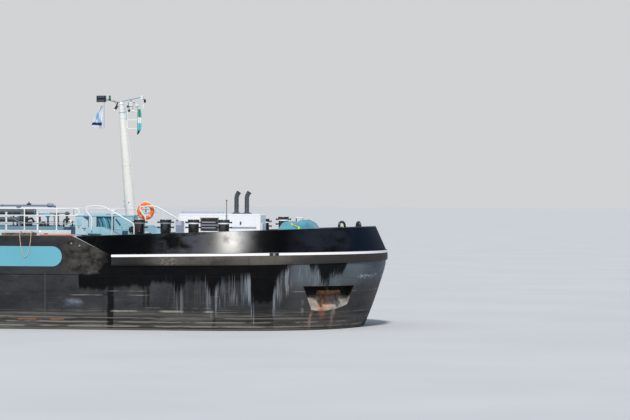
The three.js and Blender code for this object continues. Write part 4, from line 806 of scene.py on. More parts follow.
    def done(self, body, replaces=(), bevel=0.0, angle=35.0, segments=2):
        ob = bpy.data.objects.new(self.name, self.mesh(angle))
        scene.collection.objects.link(ob)
        if bevel:
            mod = ob.modifiers.new("edges", "BEVEL")
            mod.width = bevel * S
            mod.segments = segments
            mod.limit_method = "ANGLE"
            mod.angle_limit = math.radians(angle)
            mod.harden_normals = True
            mod.use_clamp_overlap = True
        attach(ob, body)
        if replaces:
            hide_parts(*replaces)
        return ob


def bent(points, steps=6, closed=False):
    """A smooth line through points (centripetal Catmull-Rom)."""
    P = [Vector(p) for p in points]
    out = []
    n = len(P)
    for i in range(n if closed else n - 1):
        p0 = P[i - 1] if (i or closed) else P[0] * 2 - P[1]
        p1, p2 = P[i], P[(i + 1) % n]
        p3 = P[(i + 2) % n] if (closed or i + 2 < n) else P[-1] * 2 - P[-2]
        t0 = 0.0
        t1 = t0 + max(1e-6, (p1 - p0).length) ** 0.5
        t2 = t1 + max(1e-6, (p2 - p1).length) ** 0.5
        t3 = t2 + max(1e-6, (p3 - p2).length) ** 0.5
        for k in range(steps):
            t = t1 + (t2 - t1) * k / steps
            a1 = p0 * ((t1 - t) / (t1 - t0)) + p1 * ((t - t0) / (t1 - t0))
            a2 = p1 * ((t2 - t) / (t2 - t1)) + p2 * ((t - t1) / (t2 - t1))
            a3 = p2 * ((t3 - t) / (t3 - t2)) + p3 * ((t - t2) / (t3 - t2))
            b1 = a1 * ((t2 - t) / (t2 - t0)) + a2 * ((t - t0) / (t2 - t0))
            b2 = a2 * ((t3 - t) / (t3 - t1)) + a3 * ((t - t1) / (t3 - t1))
            out.append(b1 * ((t2 - t) / (t2 - t1)) + b2 * ((t - t1) / (t2 - t1)))
    if not closed:
        out.append(P[-1])
    return out


def elbowed(points, radius, steps=5):
    """Straight runs joined by round elbows."""
    P = [Vector(p) for p in points]
    out = [P[0]]
    for a, b, c in zip(P, P[1:], P[2:]):
        d1, d2 = (a - b), (c - b)
        l = min(radius, d1.length * 0.45, d2.length * 0.45)
        s, e = b + d1.normalized() * l, b + d2.normalized() * l
        for k in range(steps + 1):
            t = k / steps
            out.append(s * (1 - t) ** 2 + b * 2 * t * (1 - t) + e * t * t)
    out.append(P[-1])
    return out


def cut_with(ob, cutter):
    """Takes the cutter out of ob, and applies it."""
    scene.collection.objects.link(cutter) if cutter.name not in scene.collection.objects else None
    mod = ob.modifiers.new("cut", "BOOLEAN")
    mod.operation, mod.object, mod.solver = "DIFFERENCE", cutter, "EXACT"
    mod.material_mode = "TRANSFER"
    bpy.context.view_layer.update()
    dg = bpy.context.evaluated_depsgraph_get()
    me = bpy.data.meshes.new_from_object(ob.evaluated_get(dg), preserve_all_data_layers=True, depsgraph=dg)
    ob.modifiers.remove(mod)
    old = ob.data
    ob.data = me
    bpy.data.objects.remove(cutter)
    bpy.data.meshes.remove(old)
    me.name = ob.name
    return ob


def cutter_of(b):
    me = b.mesh()
    return bpy.data.objects.new(b.name, me)


# =============================================================================== hull lines
HALF_L, HB, DEPTH, FOREDECK = 55.0, 5.64, 4.90, 4.35
BREAK_X, SLANT_X, SLANT_Z, BAND_OUT, LEAN, PLATE = 43.3, 44.9, 4.13, 0.06, 0.45, 0.06
SPLIT_BOW, SPLIT_STERN = 38.0, -37.0
GAP = 0.004


def along_bow(x):
    return min(1, max(0, (x - SLANT_X) / (HALF_L - SLANT_X)))


def knuckle_z(x):
    return 4.19 + 0.15 * along_bow(x)


def side_top(x):
    if x <= BREAK_X:
        return DEPTH
    if x > SLANT_X:
        return knuckle_z(x)
    return DEPTH + (SLANT_Z - DEPTH) * (x - BREAK_X) / (SLANT_X - BREAK_X)


def crease(x):
    """The fold line the leaning plating starts from."""
    return side_top(max(x, SLANT_X))


def bow_half(x0, xe, b, n, xs=(38.0, 41.2, 43.3, 43.7, 44.0, 44.45, 44.9, 45.05), arc=56):
    pts = [(x, b) for x in xs]
    for k in range(arc + 1):
        t = math.pi / 2 * (1 - k / arc)
        c, s = max(0.0, math.cos(t)), max(0.0, math.sin(t))
        pts.append((x0 + (xe - x0) * c ** (2 / n), b * s ** (2 / n)))
    pts[-1] = (pts[-1][0], 0.05)
    return pts


def ring_of(half, z):
    f = z if callable(z) else (lambda x: z)
    return [(x, -y, f(x)) for x, y in half] + [(x, y, f(x)) for x, y in reversed(half)]


def between(levels, count):
    """More levels on a smooth curve through the table's rows (Catmull-Rom in the row index)."""
    L = np.array(levels, float)
    out = []
    for i in range(len(L) - 1):
        a, b = L[max(0, i - 1)], L[i]
        c, d = L[i + 1], L[min(len(L) - 1, i + 2)]
        for k in range(count):
            t = k / count
            row = 0.5 * ((2 * b) + (-a + c) * t + (2 * a - 5 * b + 4 * c - d) * t * t + (-a + 3 * b - 3 * c + d) * t ** 3)
            row[0] = b[0] + (c[0] - b[0]) * t
            row[3] = min(row[3], HB)
            out.append(row)
    out.append(L[-1])
    return out


BOW_LEVELS = [
    [0.00, 45.4, 50.6, 5.14, 2.00], [0.07, 45.9, 51.7, 5.39, 2.00], [0.25, 46.6, 52.6, 5.57, 2.05],
    [0.50, 47.2, 53.1, HB, 2.10], [0.90, 47.7, 53.7, HB, 2.15], [1.30, 48.0, 54.08, HB, 2.20],
    [2.10, 47.8, 54.40, HB, 2.26], [3.00, 47.4, 54.70, HB, 2.33], [3.80, 47.1, 54.92, HB, 2.40],
]
KNUCKLE = bow_half(47.0, HALF_L - BAND_OUT, HB, 2.40)


def normal_at(pts, j):
    if j == len(pts) - 1:
        return (1.0, 0.0)
    a, b = pts[max(0, j - 1)], pts[j + 1]
    l = math.hypot(b[0] - a[0], b[1] - a[1])
    return (-(b[1] - a[1]) / l, (b[0] - a[0]) / l)


def knuckle_offset(d):
    out = []
    for j, (x, y) in enumerate(KNUCKLE):
        nx, ny = normal_at(KNUCKLE, j)
        e = d(x) if callable(d) else d
        out.append((x + nx * e, max(0.03, y + ny * e)))
    return out


# ------------------------------------------------------------------------------- bow block
b = Build("hull_bow_plating")
b.loft([ring_of(bow_half(x0, xe, hb, n), z) for z, x0, xe, hb, n in between(BOW_LEVELS, 4)] + [ring_of(KNUCKLE, side_top)],
       "hull", ruled=True, cap_mats=("hull", "deck"))
inner = [p for p in knuckle_offset(lambda x: -(0.09 + LEAN * max(0.05, FOREDECK - crease(x)))) if p[0] > 44.42]
b.loft([ring_of(inner, 4.0), ring_of(inner, FOREDECK)], "foredeck", ruled=True)
hull_bow = b.done("barge", ("hull_bow",), angle=24)
POCKET = dict(x=53.22, y=3.66, u=(0.70, -0.714), top=2.97, foot=1.96)


def pocket_point(s, d, z, side):
    return (POCKET["x"] + 0.70 * s + 0.714 * d, side * (POCKET["y"] - 0.714 * s + 0.70 * d), z)


for side in (1, -1):
    back = [(-1.28, -0.55, POCKET["top"]), (1.22, -0.55, POCKET["top"]), (0.92, -0.04, POCKET["foot"]), (-0.82, -0.04, POCKET["foot"])]
    k = Build("pocket_cutter")
    k.loft([[pocket_point(s, d, z, side) for s, d, z in back], [pocket_point(s, 0.8, z, side) for s, d, z in back]], "pocket", smooth=False)
    cut_with(hull_bow, cutter_of(k))
hull_bow.data.polygons.foreach_set("use_smooth", [True] * len(hull_bow.data.polygons))
hull_bow.data.set_sharp_from_angle(angle=math.radians(24))

# ------------------------------------------------------------------------------- middle block
b = Build("hull_middle_plating")
prof = [(HB - 0.5 + 0.5 * math.sin(a), 0.5 - 0.5 * math.cos(a)) for a in [math.pi / 2 * k / 10 for k in range(11)]] + [(HB, DEPTH)]
ring_l = [(SPLIT_STERN + GAP, y, z) for y, z in prof] + [(SPLIT_STERN + GAP, -y, z) for y, z in reversed(prof)]
n_ring = len(ring_l)
xs_mid = [SPLIT_STERN + GAP + (SPLIT_BOW - GAP - SPLIT_STERN - GAP) * k / 30 for k in range(31)]
b.loft([[(x, y, z) for _, y, z in ring_l] for x in xs_mid], "hull", ring_mats=lambda i, j: "deck" if j == len(prof) - 1 else "hull")
b.done("barge", ("hull_midbody",), angle=30)

# ------------------------------------------------------------------------------- stern block
STERN_LEVELS = [
    [0.00, -43.5, -48.4, 5.14, 2.0], [0.07, -44.0, -49.4, 5.39, 2.0], [0.25, -44.8, -50.6, 5.57, 2.1],
    [0.50, -46.0, -51.8, HB, 2.2], [0.90, -47.2, -53.0, HB, 2.3], [1.30, -48.2, -53.9, HB, 2.4],
    [2.00, -49.2, -54.6, HB, 2.5], [3.00, -49.6, -54.9, HB, 2.6], [DEPTH, -49.8, -HALF_L, HB, 2.7],
]


def stern_half(x0, xe, hb, n):
    return [(-x, y) for x, y in bow_half(-x0, -xe, hb, n, xs=(37.0, 40.0, 43.0), arc=48)]


def stern_ring(half, z):
    return [(x, y, z) for x, y in half] + [(x, -y, z) for x, y in reversed(half)]


b = Build("hull_stern_plating")
b.loft([stern_ring(stern_half(x0, xe, hb, n), z) for z, x0, xe, hb, n in between(STERN_LEVELS, 4)], "hull", ruled=True, cap_mats=("hull", "deck"))
hull_stern = b.done("barge", ("hull_stern",), angle=24)


def arch(w, h, x):
    r = min(0.5, h * 0.8)
    return [(x, -w, -0.5), (x, w, -0.5)] + [(x, w - r + r * math.cos(a), h - r + r * math.sin(a)) for a in [math.pi / 2 * k / 5 for k in range(6)]] + \
        [(x, -(w - r) - r * math.sin(a), h - r + r * math.cos(a)) for a in [math.pi / 2 * k / 5 for k in range(6)]]


k = Build("tunnel_cutter")
k.loft([arch(1.95, 2.02, -56.0), arch(1.95, 2.02, -49.3), arch(1.7, 1.7, -48.2), arch(1.3, 1.05, -47.2), arch(1.0, 0.55, -46.4)], "hull")
cut_with(hull_stern, cutter_of(k))
k = Build("well_cutter")
k.box(-41.16, -40.04, -0.56, 0.56, 0.60, DEPTH + 1, "grey_trim")
cut_with(hull_stern, cutter_of(k))
hull_stern.data.polygons.foreach_set("use_smooth", [True] * len(hull_stern.data.polygons))
hull_stern.data.set_sharp_from_angle(angle=math.radians(24))
b = Build("skeg_and_shaft_boss")
b.prism([(-44.5, 0.004), (-48.7, 0.004), (-48.9, 0.3), (-48.9, 2.3), (-44.5, 2.3)], "xz", -0.16, 0.16, "hull")
b.rod((-46.0, 0, 0.96), (-49.75, 0, 0.96), 0.24, "hull", 28, 0.16)
b.done("barge", bevel=0.02)

# ------------------------------------------------------------------------------- bulwark
bulwark_top = lambda x: 4.875 + (x - BREAK_X) * 0.0352
first = next(j for j, (x, y) in enumerate(KNUCKLE) if x >= BREAK_X)
half_sec = []
for j, (x, y) in list(enumerate(KNUCKLE))[first:]:
    nx, ny = normal_at(KNUCKLE, j)
    x1 = x + 0.12 if j == first else x
    zl, zh = side_top(x1) + GAP, bulwark_top(x1)
    off = lambda z: -0.004 - LEAN * (z - crease(x1))
    p = lambda d, z: (x1 + nx * d, max(0.02, y + ny * d), z)
    half_sec.append([p(off(zl), zl), p(off(zh), zh), p(off(zh) - PLATE, zh), p(off(zl) - PLATE, zl)])
mirror = lambda ring: [(x, -y, z) for x, y, z in ring]
mid_sec = [(x, 0.0, z) for x, y, z in half_sec[-1]]
all_sec = [mirror(r) for r in half_sec[:-1]] + [mid_sec] + list(reversed(half_sec[:-1]))
b = Build("bow_bulwark_plating")
b.loft(all_sec, "bulwark", ring_mats=lambda i, j: "bulwark" if j in (0, 3) else ("black_gloss" if j == 1 else "inner"))
# rounded rail along the top edge
top_line = [tuple((Vector(r[1]) + Vector(r[2])) / 2 - Vector((0, 0, 0.034))) for r in all_sec]
b.tube(top_line, 0.042, "black_gloss", 10)
# stays behind the plating
for s in (-1, 1):
    for x in [45.3 + 1.2 * k for k in range(7)]:
        j = min(range(len(KNUCKLE)), key=lambda i: abs(KNUCKLE[i][0] - x))
        nx, ny = normal_at(KNUCKLE, j)
        px, py = KNUCKLE[j]
        tx, ty = -ny, nx
        zl, zh = FOREDECK + 0.006, bulwark_top(px) - 0.12
        off = lambda z: -(0.004 + LEAN * (z - crease(px)) + PLATE)
        tri = [(off(zl) - 0.34, zl), (off(zl), zl), (off(zh), zh), (off(zh) - 0.06, zh)]
        vs = [(px + nx * d + tx * w, s * (py + ny * d + ty * w), z) for w in (-0.015, 0.015) for d, z in tri]
        b.add(vs, [(0, 1, 2, 3), (7, 6, 5, 4), (0, 4, 5, 1), (1, 5, 6, 2), (2, 6, 7, 3), (3, 7, 4, 0)], "inner", False)
b.done("barge", ("bow_bulwark",), angle=30)

# ------------------------------------------------------------------------------- knuckle band with its white stripe
low_edge = lambda x: 3.735 + 0.06 * along_bow(x) + 0.12 * along_bow(x) ** 3
sec, stripe = [], []
firstb = next(j for j, (x, y) in enumerate(KNUCKLE) if x >= SLANT_X)
for j, (x, y) in list(enumerate(KNUCKLE))[firstb:]:
    nx, ny = normal_at(KNUCKLE, j)
    out = BAND_OUT - (0.02 if j == firstb else 0)
    zt, zl = knuckle_z(x), low_edge(x)
    p = lambda d, z: (x + nx * d, max(0.0, y + ny * d), z)
    sec.append([p(0.004, zl), p(out * 0.7, zl + 0.012), p(out, zl + 0.05), p(out, zt - 0.03), p(out * 0.8, zt - 0.006), p(0.004, zt)])
    stripe.append([p(out - 0.01, zt - 0.112), p(out + 0.006, zt - 0.110), p(out + 0.006, zt - 0.022), p(out - 0.01, zt - 0.016)])


def both_sides(secs):
    mid = [(x, 0.0, z) for x, y, z in secs[-1]]
    return [mirror(r) for r in secs[:-1]] + [mid] + list(reversed(secs[:-1]))


b = Build("bow_fender_band_steel")
b.loft(both_sides(sec), "band")
b.done("barge", ("bow_fender_band",), angle=30)
b = Build("white_sheer_stripe")
full = both_sides(stripe)
gap_l, gap_r = 51.06, 51.42
starboard_a = [r for r in full[: len(full) // 2] if r[0][0] < gap_l]
j_a = len(starboard_a)


def at_x(secs, x):
    for r0, r1 in zip(secs, secs[1:]):
        if (r0[0][0] - x) * (r1[0][0] - x) <= 0 and r0[0][1] < 0:
            t = (x - r0[0][0]) / (r1[0][0] - r0[0][0])
            return [tuple(Vector(p) * (1 - t) + Vector(q) * t) for p, q in zip(r0, r1)]


b.loft(starboard_a + [at_x(full, gap_l)], "white_stripe")
rest = [r for r in full[j_a:] if not (r[0][1] < 0 and r[0][0] < gap_r)]
b.loft([at_x(full, gap_r)] + rest, "white_stripe")
b.done("barge", angle=30)
b = Build("stripe_cover_plate")
pl = [at_x(full, gap_l + 0.01), at_x(full, (gap_l + gap_r) / 2), at_x(full, gap_r - 0.01)]
b.loft([[(x, y - 0.004, z + (0.012 if i in (2, 3) else -0.012)) for i, (x, y, z) in enumerate(r)] for r in pl], "grey_trim")
for xa, xb in ((gap_l + 0.02, gap_l + 0.13), (gap_r - 0.14, gap_r - 0.02)):
    b.loft([[(x + (0.006 if i in (1, 2) else 0), y - (0.010 if i in (1, 2) else -0.002), z + (0.008 if i in (2, 3) else -0.008)) for i, (x, y, z) in enumerate(r)] for r in (at_x(full, xa), at_x(full, xb))], "rubber")
b.done("barge", angle=30)

# ------------------------------------------------------------------------------- light blue stripe along the side
b = Build("side_stripe_light_blue")
z_lo, z_hi = 3.70, 4.485
zc, rr = (z_lo + z_hi) / 2, (z_hi - z_lo) / 2
for s in (-1, 1):
    outline = [(42.92 - rr + rr * math.cos(a), zc + rr * math.sin(a)) for a in np.linspace(-math.pi / 2, math.pi / 2, 25)]
    outline += [(-43.6 + rr - rr * math.cos(a), zc - rr * math.sin(a)) for a in np.linspace(-math.pi / 2, math.pi / 2, 25)]
    b.prism(outline, "xz", *( (HB - 0.002, HB + 0.007) if s > 0 else (-HB - 0.007, -HB + 0.002)), "blue_stripe")
b.done("barge")

# ------------------------------------------------------------------------------- small fittings on the bow side
b = Build("hull_side_fittings")
for s in (-1, 1):
    y = s * (HB + 0.004)
    for x, z in ((43.30, 4.60), (43.63, 4.52)):
        b.ring((x, y, z), 0.055, 0.018, "black_matt", "y", 20, 8)
        b.turned([(0, -0.01), (0.045, -0.01), (0.045, 0.012), (0, 0.012)], (x, y, z), "grey_trim", 16, "y")
    b.turned([(0, -0.012), (0.055, -0.012), (0.055, 0.004), (0.03, 0.004), (0.026, -0.008), (0, -0.008)], (41.93, y, 3.17), "black_matt", 18, "y")
    # lapped edge of the fore plating
    b.box(44.55, 44.60, y - 0.006, y + 0.006, 1.4, 3.7, "hull")
    b.box(43.565, 43.60, y - 0.005, y + 0.005, 2.62, 3.42, "hull")
    for x in range(-30, 38, 8):
        b.box(x - 0.22, x + 0.22, y - 0.01, y + 0.01, 4.62, 4.74, "black_matt")
b.done("barge", bevel=0.004)

# =============================================================================== anchors
for name, side in (("anchor_starboard", -1), ("anchor_port", 1)):
    P = lambda s, d, z: Vector(pocket_point(s, d, z, side))
    b = Build(name + "_forged")
    b.tube([P(-0.62, 0.01, 2.71), P(-0.5, 0.03, 2.70), P(0.3, 0.03, 2.70), P(0.42, 0.01, 2.71)], 0.095, "rust", 14)
    for s in (-0.50, 0.30):
        b.tube([P(s, 0.03, 2.74), P(s, 0.03, 2.62), P(s + 0.015, 0.015, 2.46), P(s + 0.02, 0.0, 2.34)], lambda t: 0.095 * (1 - t * 0.75), "rust", 12)
        b.tube([P(s - 0.12, 0.02, 2.66), P(s + 0.12, 0.02, 2.66)], 0.05, "rust", 10)
    b.tube([P(-0.10, 0.03, 2.62), P(-0.10, -0.05, 2.80), P(-0.10, -0.16, 2.93)], 0.07, "rust", 12)
    b.ring(tuple(P(-0.10, -0.17, 2.90)), 0.05, 0.018, "rust", "x", 16, 8)
    b.done("barge", (name,), angle=40)

# =============================================================================== bollards
def bollard(b, x, y, z0, top, r, axis="x", caps="white", pins=((-0.38, 0.03), (-0.55, 0.03))):
    b.turned([(0, 0), (r * 1.08, 0), (r * 1.02, 0.05), (r, 0.10), (r, top - z0 - 0.10), (r * 1.03, top - z0 - 0.085)], (x, y, z0), "black_gloss", 36)
    b.turned([(0, top - z0 - 0.10), (r + 0.016, top - z0 - 0.09), (r + 0.02, top - z0 - 0.075), (r + 0.02, top - z0 - 0.015), (r + 0.01, top - z0), (0, top - z0)], (x, y, z0), caps, 36)
    b.turned([(0, 0), (r * 0.92, 0), (r * 0.90, 0.012), (0, 0.012)], (x, y, top - 0.004), "white", 36)
    for dz, rp in pins:
        z = top + dz
        a, c = (Vector((r + 0.10, 0, 0)), Vector((0, 0, 0)))
        if axis == "y":
            a = Vector((0, r + 0.10, 0))
        ctr = Vector((x, y, z))
        b.rod(ctr - a, ctr + a, rp, "black_gloss", 12)
        for sgn in (-1, 1):
            b.rod(ctr + a * sgn * 0.96, ctr + a * sgn * 1.06, rp * 1.5, "black_gloss", 12)


for name, s, pairs, last_top in (("fore_bollards_starboard", -1, ((45.764, 46.818), (47.934, 49.137)), 5.55), ("fore_bollards_port", 1, ((45.764, 46.818), (49.239, 50.071)), 5.64)):
    y = s * 4.5
    b = Build(name + "_pair")
    b.box(45.54, pairs[1][1] + 0.4, y - 0.26, y + 0.26, FOREDECK + GAP, FOREDECK + 0.045, "black_matt")
    for pair in pairs:
        x_a = max(45.545, pair[0] - 0.35)
        b.prism([(x_a, FOREDECK + 0.04), (pair[1] + 0.35, FOREDECK + 0.04), (pair[1] + 0.28, FOREDECK + 0.14), (max(x_a, pair[0] - 0.28), FOREDECK + 0.14)], "xz", y - 0.22, y + 0.22, "black_matt")
        for x in pair:
            top = last_top if x == pairs[1][1] else 5.55
            bollard(b, x, y, FOREDECK + 0.05, top, 0.21, caps="black_gloss", pins=((-0.11, 0.028), (-0.31, 0.028)))
            b.turned([(0, 0), (0.07, 0), (0.07, 0.006), (0, 0.006)], (x, y, top + 0.007), "grey_trim", 16)
            # white wear band under the cap
            b.turned([(0, 0), (0.216, 0), (0.216, 0.05), (0, 0.05)], (x, y, top - 0.175), "white" if x > 47.5 else "grey_trim", 36)
    b.done("barge", (name,), bevel=0.008, angle=40)

for name, s in (("aft_bollards_starboard", -1), ("aft_bollards_port", 1)):
    y = s * 4.95
    b = Build(name + "_pair")
    b.box(-47.9 - 0.68, -47.9 + 0.68, y - 0.24, y + 0.24, DEPTH + GAP, DEPTH + 0.05, "black_matt")
    for dx in (-0.425, 0.425):
        bollard(b, -47.9 + dx, y, DEPTH + 0.05, 5.75, 0.17, pins=((-0.30, 0.026),))
    b.done("barge", (name,), bevel=0.008, angle=40)

for name, s, x, top in (("fairlead_starboard", -1, 53.51, 5.52), ("fairlead_port", 1, 53.567, 5.485)):
    # arches turned along the bulwark
    y, w = s * 2.35, 0.17
    ca, sa = math.cos(math.radians(57)), -s * math.sin(math.radians(57))
    q = lambda u, z: (x + u * ca, y + u * sa, z)
    b = Build(name + "_arch")
    b.prism([(x + u * ca - v * sa, y + u * sa + v * ca) for u, v in ((-0.26, -0.12), (0.26, -0.12), (0.26, 0.12), (-0.26, 0.12))], "xy", FOREDECK + GAP, FOREDECK + 0.05, "black_matt")
    b.tube(bent([q(-w, 4.38), q(-w, 5.0), q(-w, top - 0.18), q(-w * 0.62, top - 0.078), q(0, top - 0.048), q(w * 0.62, top - 0.078), q(w, top - 0.18), q(w, 5.0), q(w, 4.38)], 5), 0.048, "black_gloss", 14)
    b.rod(q(-w, 5.0), q(w, 5.0), 0.05, "galv", 16)
    if s > 0:
        b.prism([(x + u * ca - v * sa, y + u * sa + v * ca) for u, v in ((-w, -0.02), (w, -0.02), (w, 0.02), (-w, 0.02))], "xy", 5.02, top - 0.10, "black_gloss")
    else:
        b.rod(q(-w, 5.14), q(w, 5.14), 0.025, "black_gloss", 12)
        b.tube(bent([q(-0.26, 5.20), q(-0.16, 5.27), q(-0.02, 5.29), q(0.10, 5.25)], 4), 0.022, "yellow", 10)
    b.done("barge", (name,), bevel=0.008, angle=40)

# =============================================================================== rope: a flaked hank on the deck edge, one bight over the side
ROPE_D = 0.0028
loop = [(41.23, -5.338, 5.000), (41.23, -5.37, 5.022), (41.23, -5.41, 5.042), (41.23, -5.50, 5.052), (41.23, -5.58, 5.045), (41.23, -5.63, 5.015), (41.232, -5.657, 4.96),
        (41.235, -5.665, 4.88), (41.25, -5.665, 4.70), (41.28, -5.665, 4.45), (41.33, -5.665, 4.24), (41.385, -5.665, 4.11), (41.455, -5.665, 4.065), (41.525, -5.665, 4.11),
        (41.58, -5.665, 4.24), (41.63, -5.665, 4.45), (41.665, -5.665, 4.70), (41.68, -5.665, 4.88), (41.68, -5.657, 4.96), (41.68, -5.63, 5.018), (41.682, -5.58, 5.046),
        (41.69, -5.52, 5.045), (41.71, -5.465, 5.03), (41.745, -5.43, 5.012)]
# wound clockwise seen from above, from the top layer down
hank_pts = []
YC, HWID, XA, XB = -5.505, 0.084, 40.47, 41.87
Z0 = DEPTH + GAP + 0.0145
turns, rise = 3, 0.0285
xl, xr = XA + HWID, XB - HWID
per = []
for k in range(8):
    a = math.pi / 2 - math.pi * k / 8
    per.append((xr + HWID * math.cos(a), YC + HWID * math.sin(a), 0.0))
for k in range(12):
    per.append((xr + (xl - xr) * k / 12, YC - HWID, math.sin(math.pi * k / 12)))
for k in range(8):
    a = -math.pi / 2 - math.pi * k / 8
    per.append((xl + HWID * math.cos(a), YC + HWID * math.sin(a), 0.0))
for k in range(12):
    per.append((xl + (xr - xl) * k / 12, YC + HWID, math.sin(math.pi * k / 12)))
for k in range(turns * len(per) + 1):
    x, y, loose = per[k % len(per)]
    hank_pts.append((x, y + 0.004 * math.sin(k * 0.55 + 1) * loose, Z0 + rise * turns - rise * k / len(per)))
route = [tuple(c * S for c in p) for p in loop + hank_pts]
ROUTE_LEN = sum((Vector(q) - Vector(p)).length for p, q in zip(route, route[1:]))
cu = bpy.data.curves.new("rope_line", "CURVE")
cu.dimensions = "3D"
sp = cu.splines.new("POLY")
fine_route = bent(route, 3)
sp.points.add(len(fine_route) - 1)
for i, p in enumerate(fine_route):
    sp.points[i].co = (*p, 1)
ROUTE_LEN = sum((Vector(q) - Vector(p)).length for p, q in zip(fine_route, fine_route[1:]))
cu.bevel_depth = ROPE_D / 2
cu.bevel_resolution = 3
cu.use_fill_caps = True
cu.materials.append(M["rope"])
rope = bpy.data.objects.new("rope_line", cu)
scene.collection.objects.link(rope)
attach(rope, "barge")
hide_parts("rope_loop", "rope_hank")

# =============================================================================== cargo deck
HATCHES = [(19, -3.1), (19, 3.1), (-19, -3.1), (-19, 3.1)]
HATCH_R, HATCH_TOP, TRUNK_TOP, TRUNK_HB = 0.42, 5.74, 5.22, 4.10


def bolts(b, c, R, n, r, h, mat, axis="z"):
    for k in range(n):
        a = 2 * math.pi * (k + 0.5) / n
        u, w = R * math.cos(a), R * math.sin(a)
        p = {"z": (c[0] + u, c[1] + w, c[2]), "x": (c[0], c[1] + u, c[2] + w), "y": (c[0] + u, c[1], c[2] + w)}[axis]
        b.turned([(0, 0), (r, 0), (r, h), (0, h)], p, mat, 6, axis)


b = Build("trunk_deck_plating")
b.prism([(-TRUNK_HB, DEPTH + GAP), (TRUNK_HB, DEPTH + GAP), (TRUNK_HB, TRUNK_TOP - 0.05), (TRUNK_HB - 0.05, TRUNK_TOP), (-TRUNK_HB + 0.05, TRUNK_TOP), (-TRUNK_HB, TRUNK_TOP - 0.05)],
        "yz", -36.6, 42.6, "trunk")
for y in (-4.02, 4.02):
    b.box(-36.5, 42.5, y - 0.03, y + 0.03, TRUNK_TOP - 0.001, TRUNK_TOP + 0.03, "trunk")
for x, y in HATCHES:
    b.turned([(0, 0), (HATCH_R + 0.06, 0), (HATCH_R + 0.06, 0.03), (HATCH_R, 0.05), (HATCH_R, HATCH_TOP - TRUNK_TOP - 0.04), (HATCH_R + 0.04, HATCH_TOP - TRUNK_TOP - 0.03), (HATCH_R + 0.04, HATCH_TOP - TRUNK_TOP), (0, HATCH_TOP - TRUNK_TOP)], (x, y, TRUNK_TOP), "white", 40)
    for k in range(8):
        a = math.pi * 2 * k / 8
        b.box(x + (HATCH_R + 0.03) * math.cos(a) - 0.02, x + (HATCH_R + 0.03) * math.cos(a) + 0.02, y + (HATCH_R + 0.03) * math.sin(a) - 0.02, y + (HATCH_R + 0.03) * math.sin(a) + 0.02, TRUNK_TOP + 0.3, HATCH_TOP - 0.02, "black_matt")
for x in (27, -27):
    for s in (-1, 1):
        y = s * 4.72
        b.box(x - 0.66, x + 0.66, y - 0.24, y + 0.24, DEPTH + GAP, DEPTH + 0.05, "black_matt")
        for dx in (-0.4, 0.4):
            bollard(b, x + dx, y, DEPTH + 0.05, 5.55, 0.155, caps="white", pins=((-0.26, 0.025),))
        b.box(x - 0.7, x + 0.7, *(sorted((s * 4.0, s * 4.6))), DEPTH + GAP, DEPTH + 0.045, "deck")
rest_top = 6.075 - 0.042 - GAP
b.prism([(2.40, rest_top), (2.40, rest_top - 0.02), (2.53, rest_top - 0.075), (2.67, rest_top - 0.075), (2.80, rest_top - 0.02), (2.80, rest_top)], "yz", 38.94, 39.06, "lilac")
b.turned([(0, 0), (0.13, 0), (0.13, 0.025), (0.05, 0.04), (0.05, rest_top - TRUNK_TOP - 0.07), (0, rest_top - TRUNK_TOP - 0.07)], (39.0, 2.6, TRUNK_TOP), "lilac", 20)
b.done("barge", ("trunk_deck",), bevel=0.008, angle=40)

# tank gear along the trunk: vents, cleaning hatches, sounding pipes, cross beams
b = Build("tank_deck_gear")
for i, x in enumerate(range(-33, 41, 6)):
    for y in (-3.35, 3.35):
        if min(abs(x - h[0]) for h in HATCHES) < 1.2:
            continue
        b.turned([(0, 0), (0.30, 0), (0.30, 0.02), (0.24, 0.03), (0.24, 0.10), (0.27, 0.11), (0.27, 0.15), (0, 0.16)], (x, y, TRUNK_TOP + 0.002), "trunk", 28)
        bolts(b, (x, y, TRUNK_TOP + 0.15), 0.22, 8, 0.018, 0.02, "galv")
    b.turned([(0, 0), (0.09, 0), (0.09, 0.02), (0.055, 0.03), (0.055, 0.42), (0.085, 0.45), (0.10, 0.50), (0.10, 0.56), (0.04, 0.60), (0, 0.60)], (x + 2.2, 2.2, TRUNK_TOP + 0.002), "slate" if i % 3 == 0 else "white", 20)
    b.tube(elbowed([(x + 3.3, -0.4, TRUNK_TOP), (x + 3.3, -0.4, 5.62), (x + 3.3, -0.1, 5.62), (x + 3.3, -0.1, 5.48)], 0.08), 0.035, "slate", 12)
    b.box(x - 1.4, x - 1.28, -3.9, 3.9, TRUNK_TOP + 0.001, TRUNK_TOP + 0.05, "trunk")
for x in (-34.0, 41.75):
    b.box(x - 0.25, x + 0.25, 3.0, 3.7, TRUNK_TOP + 0.001, 5.66, "light_blue")
    b.box(x - 0.27, x + 0.27, 2.98, 3.72, 5.66, 5.70, "pale_blue")
b.done("barge", bevel=0.006, angle=40)

